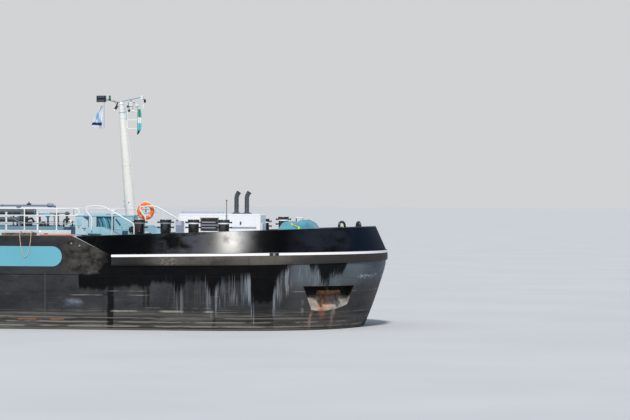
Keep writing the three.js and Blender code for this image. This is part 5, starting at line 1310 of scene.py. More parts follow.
for i, (x, y) in enumerate(HATCHES):
    s = 1 if y > 0 else -1
    hy = y + s * (HATCH_R + 0.09)
    z = HATCH_TOP + GAP
    b = Build(f"tank_hatch_cover_{i + 1}")
    b.turned([(0, 0), (HATCH_R + 0.03, 0), (HATCH_R + 0.035, 0.012), (HATCH_R + 0.03, 0.04), (HATCH_R * 0.92, 0.055), (HATCH_R * 0.6, 0.10), (HATCH_R * 0.25, 0.118), (0, 0.12)], (x, y, z), "white", 40)
    b.box(x - 0.05, x + 0.05, *sorted((y + s * 0.30, hy)), z + 0.02, z + 0.06, "white")
    b.rod((x - 0.12, hy, z + 0.036), (x + 0.12, hy, z + 0.036), 0.033, "galv", 16)
    b.tube(elbowed([(x - 0.1, y - s * 0.2, z + 0.08), (x - 0.1, y - s * 0.2, z + 0.118), (x + 0.1, y - s * 0.2, z + 0.118), (x + 0.1, y - s * 0.2, z + 0.08)], 0.02), 0.012, "galv", 8)
    b.done(f"hatch_lid_{i + 1}", (f"tank_hatch_lid_{i + 1}",), bevel=0.004, angle=40)

# =============================================================================== guard rails
RAIL_Y, RAIL_TOP = 5.30, 5.96
for name, s in (("guard_rail_starboard", -1), ("guard_rail_port", 1)):
    y = s * RAIL_Y
    b = Build(name + "_tubes")
    # foot plate at the deck edge, its top edge rolled over
    lo, hi = sorted((y - s * 0.028, y + s * 0.03))
    b.prism([(y - 0.030, DEPTH + GAP), (y + 0.030, DEPTH + GAP), (y + 0.024, 5.10), (y + 0.012, 5.118), (y - 0.012, 5.118), (y - 0.024, 5.10)], "yz", -36.4, 43.2, "foot_plate")
    end = [(42.9, y, RAIL_TOP), (43.40, y, RAIL_TOP), (43.50, y, RAIL_TOP - 0.04), (43.535, y, RAIL_TOP - 0.13), (43.50, y, 5.74), (43.42, y, 5.69), (42.9, y, 5.69)]
    b.tube([(-35.9, y, RAIL_TOP)] + bent(end, 5) + [(-35.9, y, 5.69)], 0.0195, "white_rail", 10)
    b.tube([(-35.9, y, 5.38), (42.7, y, 5.38), (43.30, y, 5.38), (43.36, y, 5.34), (43.38, y, 5.20), (43.38, y, 5.0), (43.38, y, 4.93)][:4], 0.014, "galv", 10)
    xs = [41.322 - 1.297 * k for k in range(0, 60)] + [42.619]
    for x in xs:
        if x < -35.8:
            continue
        b.rod((x, y, 5.09), (x, y, RAIL_TOP), 0.0235, "white_rail", 12)
        b.turned([(0, 0), (0.04, 0), (0.036, 0.02), (0.0235, 0.028), (0, 0.028)], (x, y, 5.108), "white_rail", 14)
        for z in (5.38, 5.69):
            b.ball((x, y, z), 0.028, "white_rail", 10, 6)
    if s < 0:
        # reinforced stanchions and short props behind the near rail
        for x in (40.578, 41.842):
            b.rod((x, y + 0.05, 5.10), (x, y + 0.05, 5.80), 0.036, "white_rail", 16)
            b.turned([(0, 0), (0.05, 0), (0.05, 0.02), (0, 0.035)], (x, y + 0.05, 5.79), "white_rail", 16)
            b.rod((x, y, 5.69), (x, y + 0.06, 5.69), 0.02, "white_rail", 8)
            b.rod((x, y, 5.38), (x, y + 0.06, 5.38), 0.02, "white_rail", 8)
        b.tube([(40.70, y + 0.02, 5.69), (41.0, y + 0.10, 5.47), (41.28, y + 0.14, 5.40)], 0.012, "galv", 8)
        b.rod((43.306, y + 0.02, 5.655), (43.306, y + 0.02, 5.93), 0.013, "grey_trim", 8)
        # a hose laid along the foot plate
        b.tube(bent([(41.96, y - 0.055, 4.932), (42.3, y - 0.058, 4.930), (42.8, y - 0.054, 4.932), (43.38, y - 0.057, 4.931)], 6), 0.024, "hose", 12)
        # white diamond and scuppers on the foot plate
        for x in (41.963, 33.2, 20.4, 7.6, -5.2, -18.0, -30.8):
            b.add([(x - 0.055, y - 0.032, 5.06), (x, y - 0.032, 5.003), (x + 0.055, y - 0.032, 5.06), (x, y - 0.032, 5.112),
                   (x - 0.05, y - 0.024, 5.06), (x, y - 0.024, 5.008), (x + 0.05, y - 0.024, 5.06), (x, y - 0.024, 5.107)],
                  [(0, 1, 2, 3), (7, 6, 5, 4), (0, 4, 5, 1), (1, 5, 6, 2), (2, 6, 7, 3), (3, 7, 4, 0)], "white", False)
    else:
        b.tube([(43.50, y, 5.79), (44.15, y, 5.79), (44.40, y, 5.79)], 0.017, "white_rail", 10)
        b.rod((43.62, y, 4.96), (43.62, y, 5.80), 0.02, "white_rail", 10)
    for x in [42.2 - 2.6 * k for k in range(30)]:
        if x < -36:
            continue
        b.box(x - 0.09, x + 0.09, y - 0.0335, y + 0.0335, 4.925, 4.985, "black_matt")
    b.done("barge", (name,), angle=40)

# =============================================================================== cargo pipes with valves
def flange(b, c, r, axis, mat="slate", t=0.035, n=24):
    b.turned([(0, -t), (r, -t), (r, t), (0, t)], c, mat, n, axis)


def wheel(b, c, R, axis, mat, spokes=5):
    b.ring(c, R, R * 0.11, mat, axis, 28, 8)
    for k in range(spokes):
        a = 2 * math.pi * k / spokes
        u, w = R * math.cos(a), R * math.sin(a)
        q = {"z": (c[0] + u, c[1] + w, c[2]), "x": (c[0], c[1] + u, c[2] + w), "y": (c[0] + u, c[1], c[2] + w)}[axis]
        b.rod(c, q, R * 0.07, mat, 8)
    b.ball(c, R * 0.2, mat, 12, 8)


b = Build("cargo_pipe_line")
for y, z, r, xa, xb, mat in ((-2.0, 5.81, 0.115, -34, 40.86, "slate"), (-1.4, 5.50, 0.10, -34, 40.4, "slate")):
    b.rod((xa, y, z), (xb, y, z), r, mat, 28)
    for x in [xa, xb] + [xb - 4.8 * k for k in range(1, 16)]:
        flange(b, (x, y, z), r * 1.38, "x", mat)
        bolts(b, (x + 0.035, y, z), r * 1.2, 8, 0.016, 0.014, "galv", "x")
# forward end: blank flange, a valve body and its hand wheel
b.turned([(0, 0), (0.15, 0), (0.15, 0.03), (0.12, 0.04), (0, 0.05)], (40.89, -2.0, 5.81), "grey_trim", 24, "x")
b.tube(elbowed([(40.5, -2.0, 5.81), (40.5, -2.55, 5.81), (40.5, -2.55, 5.50)], 0.14, 6), 0.09, "slate", 16)
b.tube([(41.02, -2.0, 5.76), (41.52, -2.0, 5.76)], 0.045, "pale_blue", 14)
flange(b, (41.05, -2.0, 5.76), 0.085, "x", "pale_blue", 0.02)
b.turned([(0, -0.09), (0.05, -0.09), (0.10, -0.04), (0.115, 0), (0.10, 0.04), (0.05, 0.09), (0, 0.09)], (41.43, -2.0, 5.68), "valve_cyan", 20, "x")
b.rod((41.44, -2.0, 5.66), (41.44, -2.0, 5.36), 0.035, "black_matt", 12)
b.turned([(0, 0), (0.09, 0), (0.09, 0.03), (0.05, 0.05), (0.05, 0.16), (0, 0.16)], (41.44, -2.0, 5.225), "black_matt", 18)
wheel(b, (41.64, -2.02, 5.70), 0.085, "y", "galv")
b.rod((41.64, -2.02, 5.70), (41.64, -1.86, 5.70), 0.018, "galv", 8)
b.rod((41.10, -2.0, 5.62), (41.10, -2.0, 5.46), 0.04, "black_matt", 12)
b.turned([(0, 0), (0.06, 0), (0.06, 0.03), (0, 0.03)], (41.10, -2.0, 5.46), "black_matt", 14)
b.rod((41.10, -2.0, 5.48), (41.10, -2.0, 5.225), 0.03, "slate", 10)
for x in [-32 + 4.8 * k for k in range(16)]:
    if x > 41:
        continue
    b.box(x - 0.035, x + 0.035, -2.2, -1.25, TRUNK_TOP + GAP, TRUNK_TOP + 0.03, "slate")
    b.rod((x, -2.0, TRUNK_TOP + 0.01), (x, -2.0, 5.72), 0.035, "slate", 10)
    b.rod((x, -1.4, TRUNK_TOP + 0.01), (x, -1.4, 5.42), 0.035, "slate", 10)
    b.tube([(x, -2.115, 5.80), (x, -2.10, 5.72), (x, -2.0, 5.69), (x, -1.90, 5.72), (x, -1.885, 5.80)], 0.016, "galv", 8)
# hose manifold amidships
for x in (-1.2, 0.0, 1.2):
    b.rod((x, -3.9, 5.50), (x, 3.9, 5.50), 0.09, "slate", 20)
    for s in (-1, 1):
        b.turned([(0, -0.03), (0.16, -0.03), (0.16, 0.03), (0, 0.03)], (x, s * 3.9, 5.50), "galv", 24, "y")
        bolts(b, (x, s * 3.93, 5.50), 0.13, 8, 0.016, 0.012, "galv", "y")
        b.turned([(0, -0.12), (0.12, -0.10), (0.15, -0.04), (0.15, 0.04), (0.12, 0.10), (0, 0.12)], (x, s * 3.1, 5.50), "valve_cyan", 20, "y")
        b.rod((x, s * 3.1, 5.50), (x, s * 3.1, 5.72), 0.03, "galv", 10)
        wheel(b, (x, s * 3.1, 5.74), 0.14, "z", "red_paint")
for s in (-1, 1):
    b.box(-1.5, 1.5, s * 3.4 - 0.05, s * 3.4 + 0.05, 5.30, 5.40, "slate")
    for x in (-1.35, 1.35):
        b.box(x - 0.05, x + 0.05, s * 3.4 - 0.05, s * 3.4 + 0.05, TRUNK_TOP + GAP, 5.32, "slate")
    b.box(-1.6, 1.6, *sorted((s * 3.62, s * 4.02)), TRUNK_TOP + GAP, 5.27, "steel")
b.done("barge", ("cargo_pipes",), bevel=0.004, angle=40)

# valve group, brackets and small fittings at the forward end of the cargo deck
b = Build("valve_group_forward")
b.turned([(0, 0), (0.075, 0), (0.075, 0.025), (0.05, 0.04), (0.05, 0.13), (0.085, 0.15), (0.085, 0.19), (0.04, 0.21), (0, 0.21)], (42.22, -2.0, 5.34), "black_gloss", 18)
b.turned([(0, 0), (0.06, 0), (0.08, 0.03), (0.06, 0.10), (0, 0.12)], (42.38, -2.02, 5.40), "white", 18)
b.tube(elbowed([(42.10, -2.0, 5.225), (42.10, -2.0, 5.50), (42.28, -2.0, 5.56), (42.46, -2.0, 5.44), (42.46, -2.0, 5.225)], 0.06, 5), 0.032, "black_matt", 12)
b.rod((42.30, -2.1, 5.225), (42.30, -2.1, 5.40), 0.03, "white", 10)
wheel(b, (42.30, -2.16, 5.44), 0.07, "y", "black_gloss")
b.box(42.20, 42.52, -2.14, -2.10, 5.235, 5.262, "black_matt")
b.box(42.16, 42.46, -2.5, -2.2, TRUNK_TOP + 0.002, 5.30, "pale_blue")
for x, m in ((40.84, "black_matt"), (40.95, "black_matt"), (41.56, "black_matt"), (41.66, "black_matt"), (42.377, "rust"), (42.56, "rust"), (39.6, "black_matt")):
    b.rod((x, -3.9, TRUNK_TOP), (x, -3.9, 5.30), 0.035, m, 10)
    b.turned([(0, 0), (0.05, 0), (0.05, 0.02), (0, 0.03)], (x, -3.9, 5.29), m, 12)
b.ring((42.70, -4.115, 5.06), 0.068, 0.014, "deep_teal", "y", 24, 8)
b.tube([(40.60, -2.7, 5.62), (40.75, -2.7, 5.52), (40.95, -2.7, 5.56), (41.05, -2.7, 5.40)], 0.05, "black_matt", 10)
b.box(40.55, 40.95, -2.95, -2.6, TRUNK_TOP + 0.002, 5.42, "black_matt")
b.turned([(0, 0), (0.12, 0), (0.12, 0.12), (0.06, 0.2), (0, 0.2)], (41.45, -2.8, TRUNK_TOP + 0.002), "black_matt", 18)
b.done("barge", bevel=0.005, angle=40)

# =============================================================================== catwalk
b = Build("catwalk_grating")
y0, y1, z = 0.75, 1.55, 5.72
b.box(-35.5, 41.5, y0 + 0.03, y1 - 0.03, z + 0.004, z + 0.045, "grating")
for y in (y0, y1 - 0.04):
    b.box(-35.5, 41.5, y, y + 0.04, z, z + 0.055, "galv")
for x in [-35 + 3.8 * k for k in range(21)]:
    if x > 41.3:
        continue
    for y in (y0 + 0.06, y1 - 0.06):
        b.box(x - 0.025, x + 0.025, y - 0.025, y + 0.025, TRUNK_TOP + GAP, z + 0.02, "galv")
    b.box(x - 0.025, x + 0.025, y0 + 0.04, y1 - 0.04, z - 0.04, z + 0.006, "galv")
b.done("barge", ("catwalk",), bevel=0.004)

# =============================================================================== deck crane
cx, cy, CZ = 33.6, 2.6, 6.075
b = Build("crane_pedestal_turned")
b.box(cx - 0.3, cx + 0.3, cy - 0.3, cy + 0.3, TRUNK_TOP + GAP, TRUNK_TOP + 0.05, "white")
b.turned([(0, 0), (0.22, 0), (0.17, 0.05), (0.16, 0.08), (0.16, 0.34), (0.175, 0.35), (0.175, 0.362), (0, 0.362)], (cx, cy, TRUNK_TOP + 0.038), "white", 36)
for k in range(4):
    a = math.pi / 2 * k
    b.box(cx + 0.24 * math.cos(a) - 0.07 * abs(math.cos(a)) - 0.012, cx + 0.24 * math.cos(a) + 0.03 * abs(math.cos(a)) + 0.012, cy + 0.24 * math.sin(a) - 0.07 * abs(math.sin(a)) - 0.012, cy + 0.24 * math.sin(a) + 0.03 * abs(math.sin(a)) + 0.012, TRUNK_TOP + 0.04, TRUNK_TOP + 0.18, "white")
bolts(b, (cx, cy, TRUNK_TOP + 0.05), 0.37, 4, 0.03, 0.03, "galv")
b.done("barge", ("crane_pedestal",), bevel=0.006, angle=40)
b = Build("crane_column_cheeks")
b.turned([(0, 0), (0.17, 0), (0.17, 0.03), (0.15, 0.05), (0.15, 0.24), (0, 0.24)], (cx, cy, 5.62 + GAP), "white", 36)
for s in (-1, 1):
    b.prism([(cx - 0.16, 5.84), (cx + 0.16, 5.84), (cx + 0.16, 6.02), (cx + 0.09, 6.15), (cx - 0.09, 6.15), (cx - 0.16, 6.02)], "xz", *sorted((cy + s * 0.058, cy + s * 0.13)), "white")
    b.turned([(0, 0), (0.05, 0), (0.05, 0.012), (0, 0.014)] if s > 0 else [(0, 0), (0.05, 0), (0.05, -0.012), (0, -0.014)], (cx, cy + s * 0.128, CZ), "galv", 20, "y")
b.done("crane_column", ("crane_column",), bevel=0.006, angle=40)
b = Build("crane_boom_tube")
tip = cx + 6.94
b.rod((cx - 0.02, cy, CZ), (tip - 0.25, cy, CZ), 0.042, "lilac", 20)
b.turned([(0, -0.048), (0.055, -0.048), (0.055, 0.048), (0, 0.048)], (cx, cy, CZ), "lilac", 24, "y")
b.turned([(0, -0.16), (0.05, -0.16), (0.082, -0.12), (0.086, -0.06), (0.086, 0.05), (0.075, 0.10), (0.04, 0.125), (0, 0.13)], (tip - 0.15, cy, CZ + 0.01), "lilac", 28, "x")
b.rod((tip - 0.05, cy, CZ), (tip + 0.06, cy, CZ - 0.03), 0.048, "lilac", 16)
b.ring((tip + 0.03, cy, CZ - 0.055), 0.035, 0.012, "galv", "y", 20, 8)
b.box(39.36, 39.54, cy - 0.05, cy + 0.05, CZ + 0.03, CZ + 0.085, "black_matt")
b.turned([(0, 0), (0.03, 0), (0.03, 0.06), (0, 0.06)], (39.45, cy, CZ + 0.08), "black_matt", 12)
for x in (35.2, 36.9, 38.3):
    b.turned([(0, -0.03), (0.052, -0.03), (0.052, 0.03), (0, 0.03)], (x, cy, CZ), "grey_trim", 20, "x")
b.done("crane_boom", ("crane_boom",), bevel=0.004, angle=40)

# =============================================================================== forward locker
TOPL = 5.72
b = Build("forward_locker_shell")
ya, yb = -4.1, -1.0
YW = -3.30  # inboard side of the narrow part over the foredeck


# body over the step in the deck, its near side divided into panels and one open recess
b.prism([(43.10, DEPTH + GAP), (43.655, DEPTH + GAP), (43.655, 4.965), (44.45, 4.965), (44.45, 5.70), (43.18, 5.70), (43.10, 5.66)], "xz", ya + 0.10, yb, "light_blue")
b.prism([(44.44, 4.97), (44.44, 4.505), (44.925, 4.505), (44.925, FOREDECK + GAP), (45.44, FOREDECK + GAP), (45.44, 5.66), (45.36, 5.70), (44.44, 5.70)], "xz", ya + 0.10, YW, "light_blue")
b.box(43.08, 43.60, ya + 0.02, ya + 0.11, DEPTH + 0.03, 5.66, "pale_blue")
b.box(43.14, 43.33, ya + 0.006, ya + 0.03, 5.30, 5.56, "light_blue")
b.box(43.625, 43.93, ya + 0.02, ya + 0.11, 4.975, 5.66, "pale_blue")
# a navy strip in the gap between the panels, as painted shade
b.box(43.605, 43.622, ya + 0.01, ya + 0.10, 4.92, 5.66, "navy")
b.box(44.655, 45.44, ya + 0.02, ya + 0.11, 4.53, 5.66, "light_blue")
# recess: its back painted a darker teal as painted shade, a navy strip of painted shade at its after edge, and curved
# rods falling forward on it, the dark teal ones painted shadows of the stair rail and the middle one light blue
b.box(43.93, 44.655, ya + 0.085, ya + 0.115, 4.97, 5.66, "teal_paint")
b.box(43.93, 43.99, ya + 0.06, ya + 0.10, 4.98, 5.66, "navy")
for k in range(5):
    x0 = 43.93 + 0.135 * k
    b.tube(bent([(x0, ya + 0.075, 5.62), (x0 + 0.08, ya + 0.07, 5.45), (x0 + 0.13, ya + 0.07, 5.24), (x0 + 0.155, ya + 0.075, 5.02)], 5), 0.022, "deep_teal" if k != 2 else "light_blue", 10)
for k in range(9):
    b.ball((44.59, ya + 0.03, 4.99 + 0.08 * k), 0.016, "black_matt", 8, 5)
b.box(44.57, 44.61, ya + 0.03, ya + 0.10, 4.975, 5.66, "grey_trim")
# roof plate with a small overhang
for xa, xb, ye in ((43.08, 44.47, yb), (44.465, 45.46, YW + 0.02)):
    b.prism([(ya, 5.655), (ya, 5.70), (ya + 0.03, 5.718), (ye - 0.03, 5.718), (ye, 5.70), (ye, 5.655)], "yz", xa, xb, "light_blue")
# painted shadows beside the corner: a dark wedge and small dark arcs
b.add([(43.36, ya + 0.005, 5.655), (43.60, ya + 0.005, 5.655), (43.60, ya + 0.005, 5.50), (43.36, ya + 0.019, 5.655), (43.60, ya + 0.019, 5.655), (43.60, ya + 0.019, 5.50)],
      [(0, 1, 2), (5, 4, 3), (0, 3, 4, 1), (1, 4, 5, 2), (2, 5, 3, 0)], "deep_teal", False)
for dx in (0.0, 0.09):
    b.tube(bent([(43.36 + dx, ya + 0.01, 5.20), (43.44 + dx, ya + 0.01, 5.16), (43.46 + dx, ya + 0.01, 5.09)], 4), 0.012, "deep_teal", 8)
b.box(43.20, 43.24, ya - 0.005, ya + 0.01, 5.20, 5.28, "galv")
# slot, vents, lashing points and small boxes on the forward panel
b.tube([(44.72, ya + 0.012, 5.55), (44.90, ya + 0.012, 5.32)], 0.028, "deep_teal", 12)
b.box(44.98, 45.21, ya - 0.005, ya + 0.03, 4.96, 5.09, "deep_teal")
b.turned([(0, 0), (0.09, 0), (0.11, -0.03), (0.08, -0.07), (0, -0.08)], (45.36, ya + 0.005, 5.14), "black_matt", 18, "y")
b.ball((45.35, ya + 0.02, 5.04), 0.05, "white", 14, 8)
for x in (44.97, 45.27):
    b.ball((x, ya + 0.012, 5.22), 0.018, "black_matt", 10, 6)
b.box(44.72, 45.40, ya + 0.008, ya + 0.03, 5.14, 5.17, "pale_blue")
# doors on the forward face, hinges and handles
for x, y, w, za, zb in ((45.44, -3.65, 0.29, 4.62, 5.58), (44.45, -2.72, 0.38, 5.02, 5.58), (44.45, -1.62, 0.38, 5.02, 5.58)):
    b.box(x - 0.005, x + 0.018, y - w, y + w, za, zb, "pale_blue")
    for z in (za + 0.12, zb - 0.12):
        b.rod((x + 0.012, y - w - 0.01, z - 0.05), (x + 0.012, y - w - 0.01, z + 0.05), 0.014, "galv", 10)
    zc = (za + zb) / 2
    b.tube(elbowed([(x, y + w - 0.1, zc + 0.05), (x + 0.03, y + w - 0.1, zc + 0.05), (x + 0.03, y + w - 0.1, zc - 0.05), (x, y + w - 0.1, zc - 0.05)], 0.01), 0.008, "galv", 8)
# coaming and hatches on the roof
for y in (-3.4, -2.2):
    b.box(43.36, 44.26, y - 0.42, y + 0.42, 5.714, 5.745, "pale_blue")
    b.box(43.38, 44.24, y - 0.40, y + 0.40, 5.745, 5.76, "light_blue")
b.turned([(0, 0), (0.09, 0), (0.07, 0.03), (0.07, 0.12), (0.12, 0.14), (0.13, 0.19), (0.05, 0.22), (0, 0.22)], (44.0, -1.3, 5.715), "white", 24)
b.done("barge", ("forward_locker",), bevel=0.006, angle=40)

# =============================================================================== stairs and their rails
for name, rail, s in (("stairs_starboard", "stair_rail_starboard", -1), ("stairs_port", "stair_rail_port", 1)):
    lo, hi = sorted((s * 4.25, s * 4.95))
    b = Build(name + "_treads")
    for xa, xb, z in ((43.76, 44.33, 5.16), (44.27, 44.73, 4.98), (44.67, 45.13, 4.78), (45.07, 45.47, 4.58)):
        b.box(xa, xb, lo + 0.05, hi - 0.05, z - 0.045, z - 0.012, "galv")
        b.box(xa + 0.01, xb - 0.01, lo + 0.06, hi - 0.06, z - 0.014, z, "grating")
        b.box(xb - 0.03, xb, lo + 0.05, hi - 0.05, z - 0.012, z + 0.001, "signal_yellow")
    for y in (lo, hi - 0.05):
        b.prism([(43.72, 4.99), (44.30, 4.97), (45.16, 4.364), (45.52, 4.364), (45.52, 4.70), (44.36, 5.24), (43.72, 5.24)], "xz", y, y + 0.05, "light_blue")
    b.done("barge", (name,), bevel=0.006)
    y = s * 5.02
    b = Build(rail + "_tube")
    b.tube(bent([(43.955, y, 5.12), (43.955, y, 5.60), (43.86, y, 5.72), (43.735, y, 5.92), (43.76, y, 6.015), (43.87, y, 6.052), (44.36, y, 6.056), (44.50, y, 6.02)], 5)
           + elbowed([(44.50, y, 6.02), (45.62, y, 5.40), (45.66, y, 5.30), (45.66, y, 4.66), (45.46, y, 4.63)], 0.08)[1:], 0.022 if s < 0 else 0.030, "white_rail", 14)
    b.rod((43.955, y, 5.16), (43.955, s * 4.956, 5.16), 0.02, "white_rail", 12)
    b.rod((45.46, y, 4.63), (45.46, s * 4.956, 4.63), 0.02, "white_rail", 12)
    b.rod((44.78, y, 4.90), (44.78, y, 5.86), 0.018, "white_rail", 12)
    b.rod((44.78, y, 4.92), (44.78, s * 4.956, 4.92), 0.016, "white_rail", 12)
    b.done("barge", (rail,), angle=40)

# =============================================================================== thruster house
b = Build("thruster_house_shell")
YH, HT, x0h, x1h = 0.65, 5.765, 46.55, 49.95
x0r, x1r, z0r, z1r = 47.46, 48.22, 5.06, 5.60
cap = [(x1h, 5.68), (x1h - 0.02, 5.735), (x1h - 0.08, HT), (x0h + 0.08, HT), (x0h + 0.02, 5.735), (x0h, 5.68)]
b.prism([(x0h, FOREDECK + GAP), (x1h, FOREDECK + GAP)] + cap, "xz", -YH + 0.08, YH, "white")
for xa, xb, za, zb in ((x0h, x0r, FOREDECK + GAP, 5.68), (x1r, x1h, FOREDECK + GAP, 5.68), (x0r, x1r, FOREDECK + GAP, z0r), (x0r, x1r, z1r, 5.68)):
    b.box(xa, xb, -YH, -YH + 0.085, za, zb, "white")
b.prism(cap, "xz", -YH, -YH + 0.085, "white")
# a low lilac box at the after corner, its colour painted shade
b.box(46.55, 46.80, -1.20, -YH - 0.002, FOREDECK + GAP, 5.47, "lilac")
b.done("barge", ("thruster_house",), bevel=0.012, angle=30)
b = Build("thruster_house_fittings")
yf = -YH
# low box at the after corner: its two panels, lavender over lilac, are painted shade
b.box(46.565, 46.785, -1.212, -1.198, 5.29, 5.45, "lavender")
b.box(46.565, 46.785, -1.212, -1.198, 4.60, 5.18, "lilac")
# pole, small fitting, hand rail and a panel on the near side; the rail is lavender as a painted shadow line across the
# white wall
b.rod((48.55, yf - 0.03, 5.56), (48.55, yf - 0.03, 6.30), 0.020, "grey_trim", 12)
b.ball((48.55, yf - 0.03, 6.31), 0.03, "black_matt", 14, 8)
for z in (5.58, 5.70):
    b.box(48.52, 48.58, yf - 0.045, yf - 0.002, z - 0.015, z + 0.015, "galv")
b.box(49.10, 49.157, yf - 0.04, yf - 0.002, 5.345, 5.455, "navy")
b.rod((48.78, yf - 0.035, 5.23), (49.78, yf - 0.035, 5.23), 0.020, "lavender", 12)
for x in (48.82, 49.28, 49.74):
    b.rod((x, yf - 0.035, 5.23), (x, yf - 0.001, 5.23), 0.012, "lavender", 8)
b.box(46.92, 47.36, yf - 0.010, yf - 0.002, 4.46, 5.60, "white")
for z in (4.7, 5.4):
    b.rod((46.925, yf - 0.014, z - 0.05), (46.925, yf - 0.014, z + 0.05), 0.012, "galv", 10)
b.box(x0r - 0.04, x1r + 0.04, yf - 0.014, yf - 0.002, z0r - 0.03, z0r, "white")
# roof: grey coaming strip along the near edge, lavender as painted shade, a low hatch, a panel on the forward face
b.box(46.66, 48.40, -0.55, -0.47, HT - 0.002, 5.86, "lavender")
b.box(46.9, 47.8, -0.1, 0.5, HT - 0.002, 5.81, "white")
b.box(x1h - 0.005, 49.975, -0.4, 0.3, 4.8, 5.4, "white")
b.done("barge", bevel=0.004, angle=40)

b = Build("thruster_louvre_blades")
# painted shade: a black back, and wide black blades for the shade between the louvre's blades, with thin lavender
# blades between them and a rust one at the top
b.box(47.48, 48.20, -0.605, -0.578, 5.08, 5.58, "black_matt")
for zc, h, m in ((5.545, 0.035, "rust"), (5.485, 0.05, "black_matt"), (5.43, 0.026, "lavender"), (5.37, 0.065, "black_matt"), (5.315, 0.022, "lavender"), (5.255, 0.065, "black_matt"), (5.20, 0.024, "lavender"), (5.14, 0.065, "black_matt")):
    b.prism([(-0.602, zc + h / 2 + 0.012), (-0.645, zc + h / 2 - 0.010), (-0.645, zc - h / 2 - 0.010), (-0.602, zc - h / 2 + 0.012)], "yz", 47.50, 48.18, m)
for x in (47.485, 48.195):
    b.box(x - 0.012, x + 0.012, -0.65, -0.60, 5.08, 5.58, "grey_trim")
b.done("barge", ("thruster_louvre",), bevel=0.003)

b = Build("exhaust_bends")
b.box(48.66, 49.46, -0.14, 0.14, HT + GAP, 5.80, "slate")
for x in (48.84, 49.27):
    pts = [(x, 0, 5.78), (x, 0, 6.42), (x + 0.015, 0, 6.50), (x + 0.045, 0, 6.57), (x + 0.10, 0, 6.655)]
    b.tube(pts[:2] + bent(pts[1:], 4)[1:], 0.092, "exhaust", 24)
    q = Vector((x + 0.10, 0, 6.655)) - Vector((x + 0.045, 0, 6.57))
    q.normalize()
    e = Vector((x + 0.10, 0, 6.655))
    b.tube([e - q * 0.02, e + q * 0.006], 0.097, "black_matt", 24)
    b.tube([e, e + q * 0.009], 0.078, "rubber", 24)
    b.turned([(0, 0), (0.14, 0), (0.14, 0.02), (0.10, 0.03), (0, 0.03)], (x, 0, 5.798), "slate", 24)
    b.ring((x, 0, 6.1), 0.094, 0.012, "slate", "z", 28, 8)
    bolts(b, (x, 0, 5.818), 0.12, 6, 0.012, 0.012, "galv")
b.done("barge", ("exhaust_pipes",), angle=40)

# =============================================================================== windlass bed and covered windlass
b = Build("windlass_bed_frame")
b.box(50.44, 52.56, -1.86, 1.86, FOREDECK + GAP, FOREDECK + 0.03, "black_matt")
for y in (-1.82, 1.78):
    b.box(50.44, 52.56, y - 0.02, y + 0.04, FOREDECK + GAP, FOREDECK + 0.06, "black_matt")
for x in (50.46, 52.50):
    b.box(x - 0.02, x + 0.06, -1.86, 1.86, FOREDECK + GAP, FOREDECK + 0.06, "black_matt")
# lever stand behind the cover
FX, FY = 51.05, 1.72
b.rod((FX, FY, FOREDECK + 0.03), (FX, FY, 5.63), 0.020, "black_matt", 12)
b.rod((FX + 0.27, FY, FOREDECK + 0.03), (FX + 0.27, FY, 5.60), 0.016, "galv", 12)
b.box(FX - 0.03, FX + 0.30, FY - 0.025, FY + 0.025, 5.595, 5.64, "white")
# chain stoppers and short runs of chain towards the pockets
for s in (-1, 1):
    b.box(52.20, 52.44, s * 0.95 - 0.12, s * 0.95 + 0.12, FOREDECK + 0.03, FOREDECK + 0.20, "black_gloss")
    for k in range(6):
        cxk, cyk = 52.0 + 0.085 * k, s * 0.95
        ringp = [(cxk + 0.06 * math.cos(a), cyk + (0.034 * math.sin(a) if k % 2 else 0), FOREDECK + 0.245 + (0 if k % 2 else 0.034 * math.sin(a))) for a in [2 * math.pi * i / 14 for i in range(14)]]
        b.tube(ringp, 0.013, "rust", 8, closed=True)
b.done("barge", ("windlass_bed",), bevel=0.005, angle=40)


def cover_top(x, y):
    """Height of the two humps under the cover."""
    left = 5.465 - 0.55 * max(0, abs(x - 51.06) - 0.10) ** 1.4 - 0.055 * (abs(y) / 1.1) ** 4
    fall = 0.60 * max(0, 51.73 - x - 0.09) ** 1.4 if x < 51.73 else 0.58 * max(0, x - 51.73 - 0.05) ** 1.3
    return max(left, 5.53 - fall - 0.06 * (abs(y) / 1.05) ** 4)


def cover_point(u, v):
    """Draped cover: u runs round, v from the crown (0) over the shoulder (0.55) to the hem (1)."""
    a = 2 * math.pi * u
    c, s = math.cos(a), math.sin(a)
    pw = 2 / 3.0
    ex, ey = math.copysign(abs(c) ** pw, c), math.copysign(abs(s) ** pw, s)
    fold = math.sin(a * 9 + 0.7 * math.sin(a * 2)) * 0.6 + math.sin(a * 17 + 1.3) * 0.25 + math.sin(a * 5 + 2.1) * 0.4
    if v <= 0.55:
        k = v / 0.55
        r = k ** 0.9
        x, y = 51.46 + 0.80 * ex * r, 1.40 * ey * r
        wrinkle = 0.012 * math.sin(x * 21 + y * 3.1) * (1 - k) + 0.010 * math.sin(y * 13 + x * 5) + 0.02 * fold * k ** 3
        z = cover_top(x, y) - 0.10 * k ** 5 + wrinkle
        z0 = 5.16 + 0.02 * fold
        if k > 0.78:
            t = (k - 0.78) / 0.22
            z = z * (1 - t * t) + min(z, z0) * t * t
        return Vector((x, y, z))
    k = (v - 0.55) / 0.45
    z_sh = min(cover_top(51.46 + 0.80 * ex, 1.40 * ey) - 0.10, 5.16 + 0.02 * fold)
    z = z_sh + (4.418 - z_sh) * k
    tie = math.exp(-((z - 4.80) / 0.09) ** 2) * 0.045
    bulge = math.sin(min(1, k * 1.4) * math.pi) * 0.03
    out = 0.80 + 0.115 * (1 - (1 - k) ** 2.2) + bulge - tie + 0.022 * fold * (0.35 + k) - 0.022
    outy = 1.40 + 0.165 * (1 - (1 - k) ** 2.2) + bulge - tie + 0.022 * fold * (0.35 + k) - 0.022
    return Vector((51.46 + out * ex, outy * ey, z))


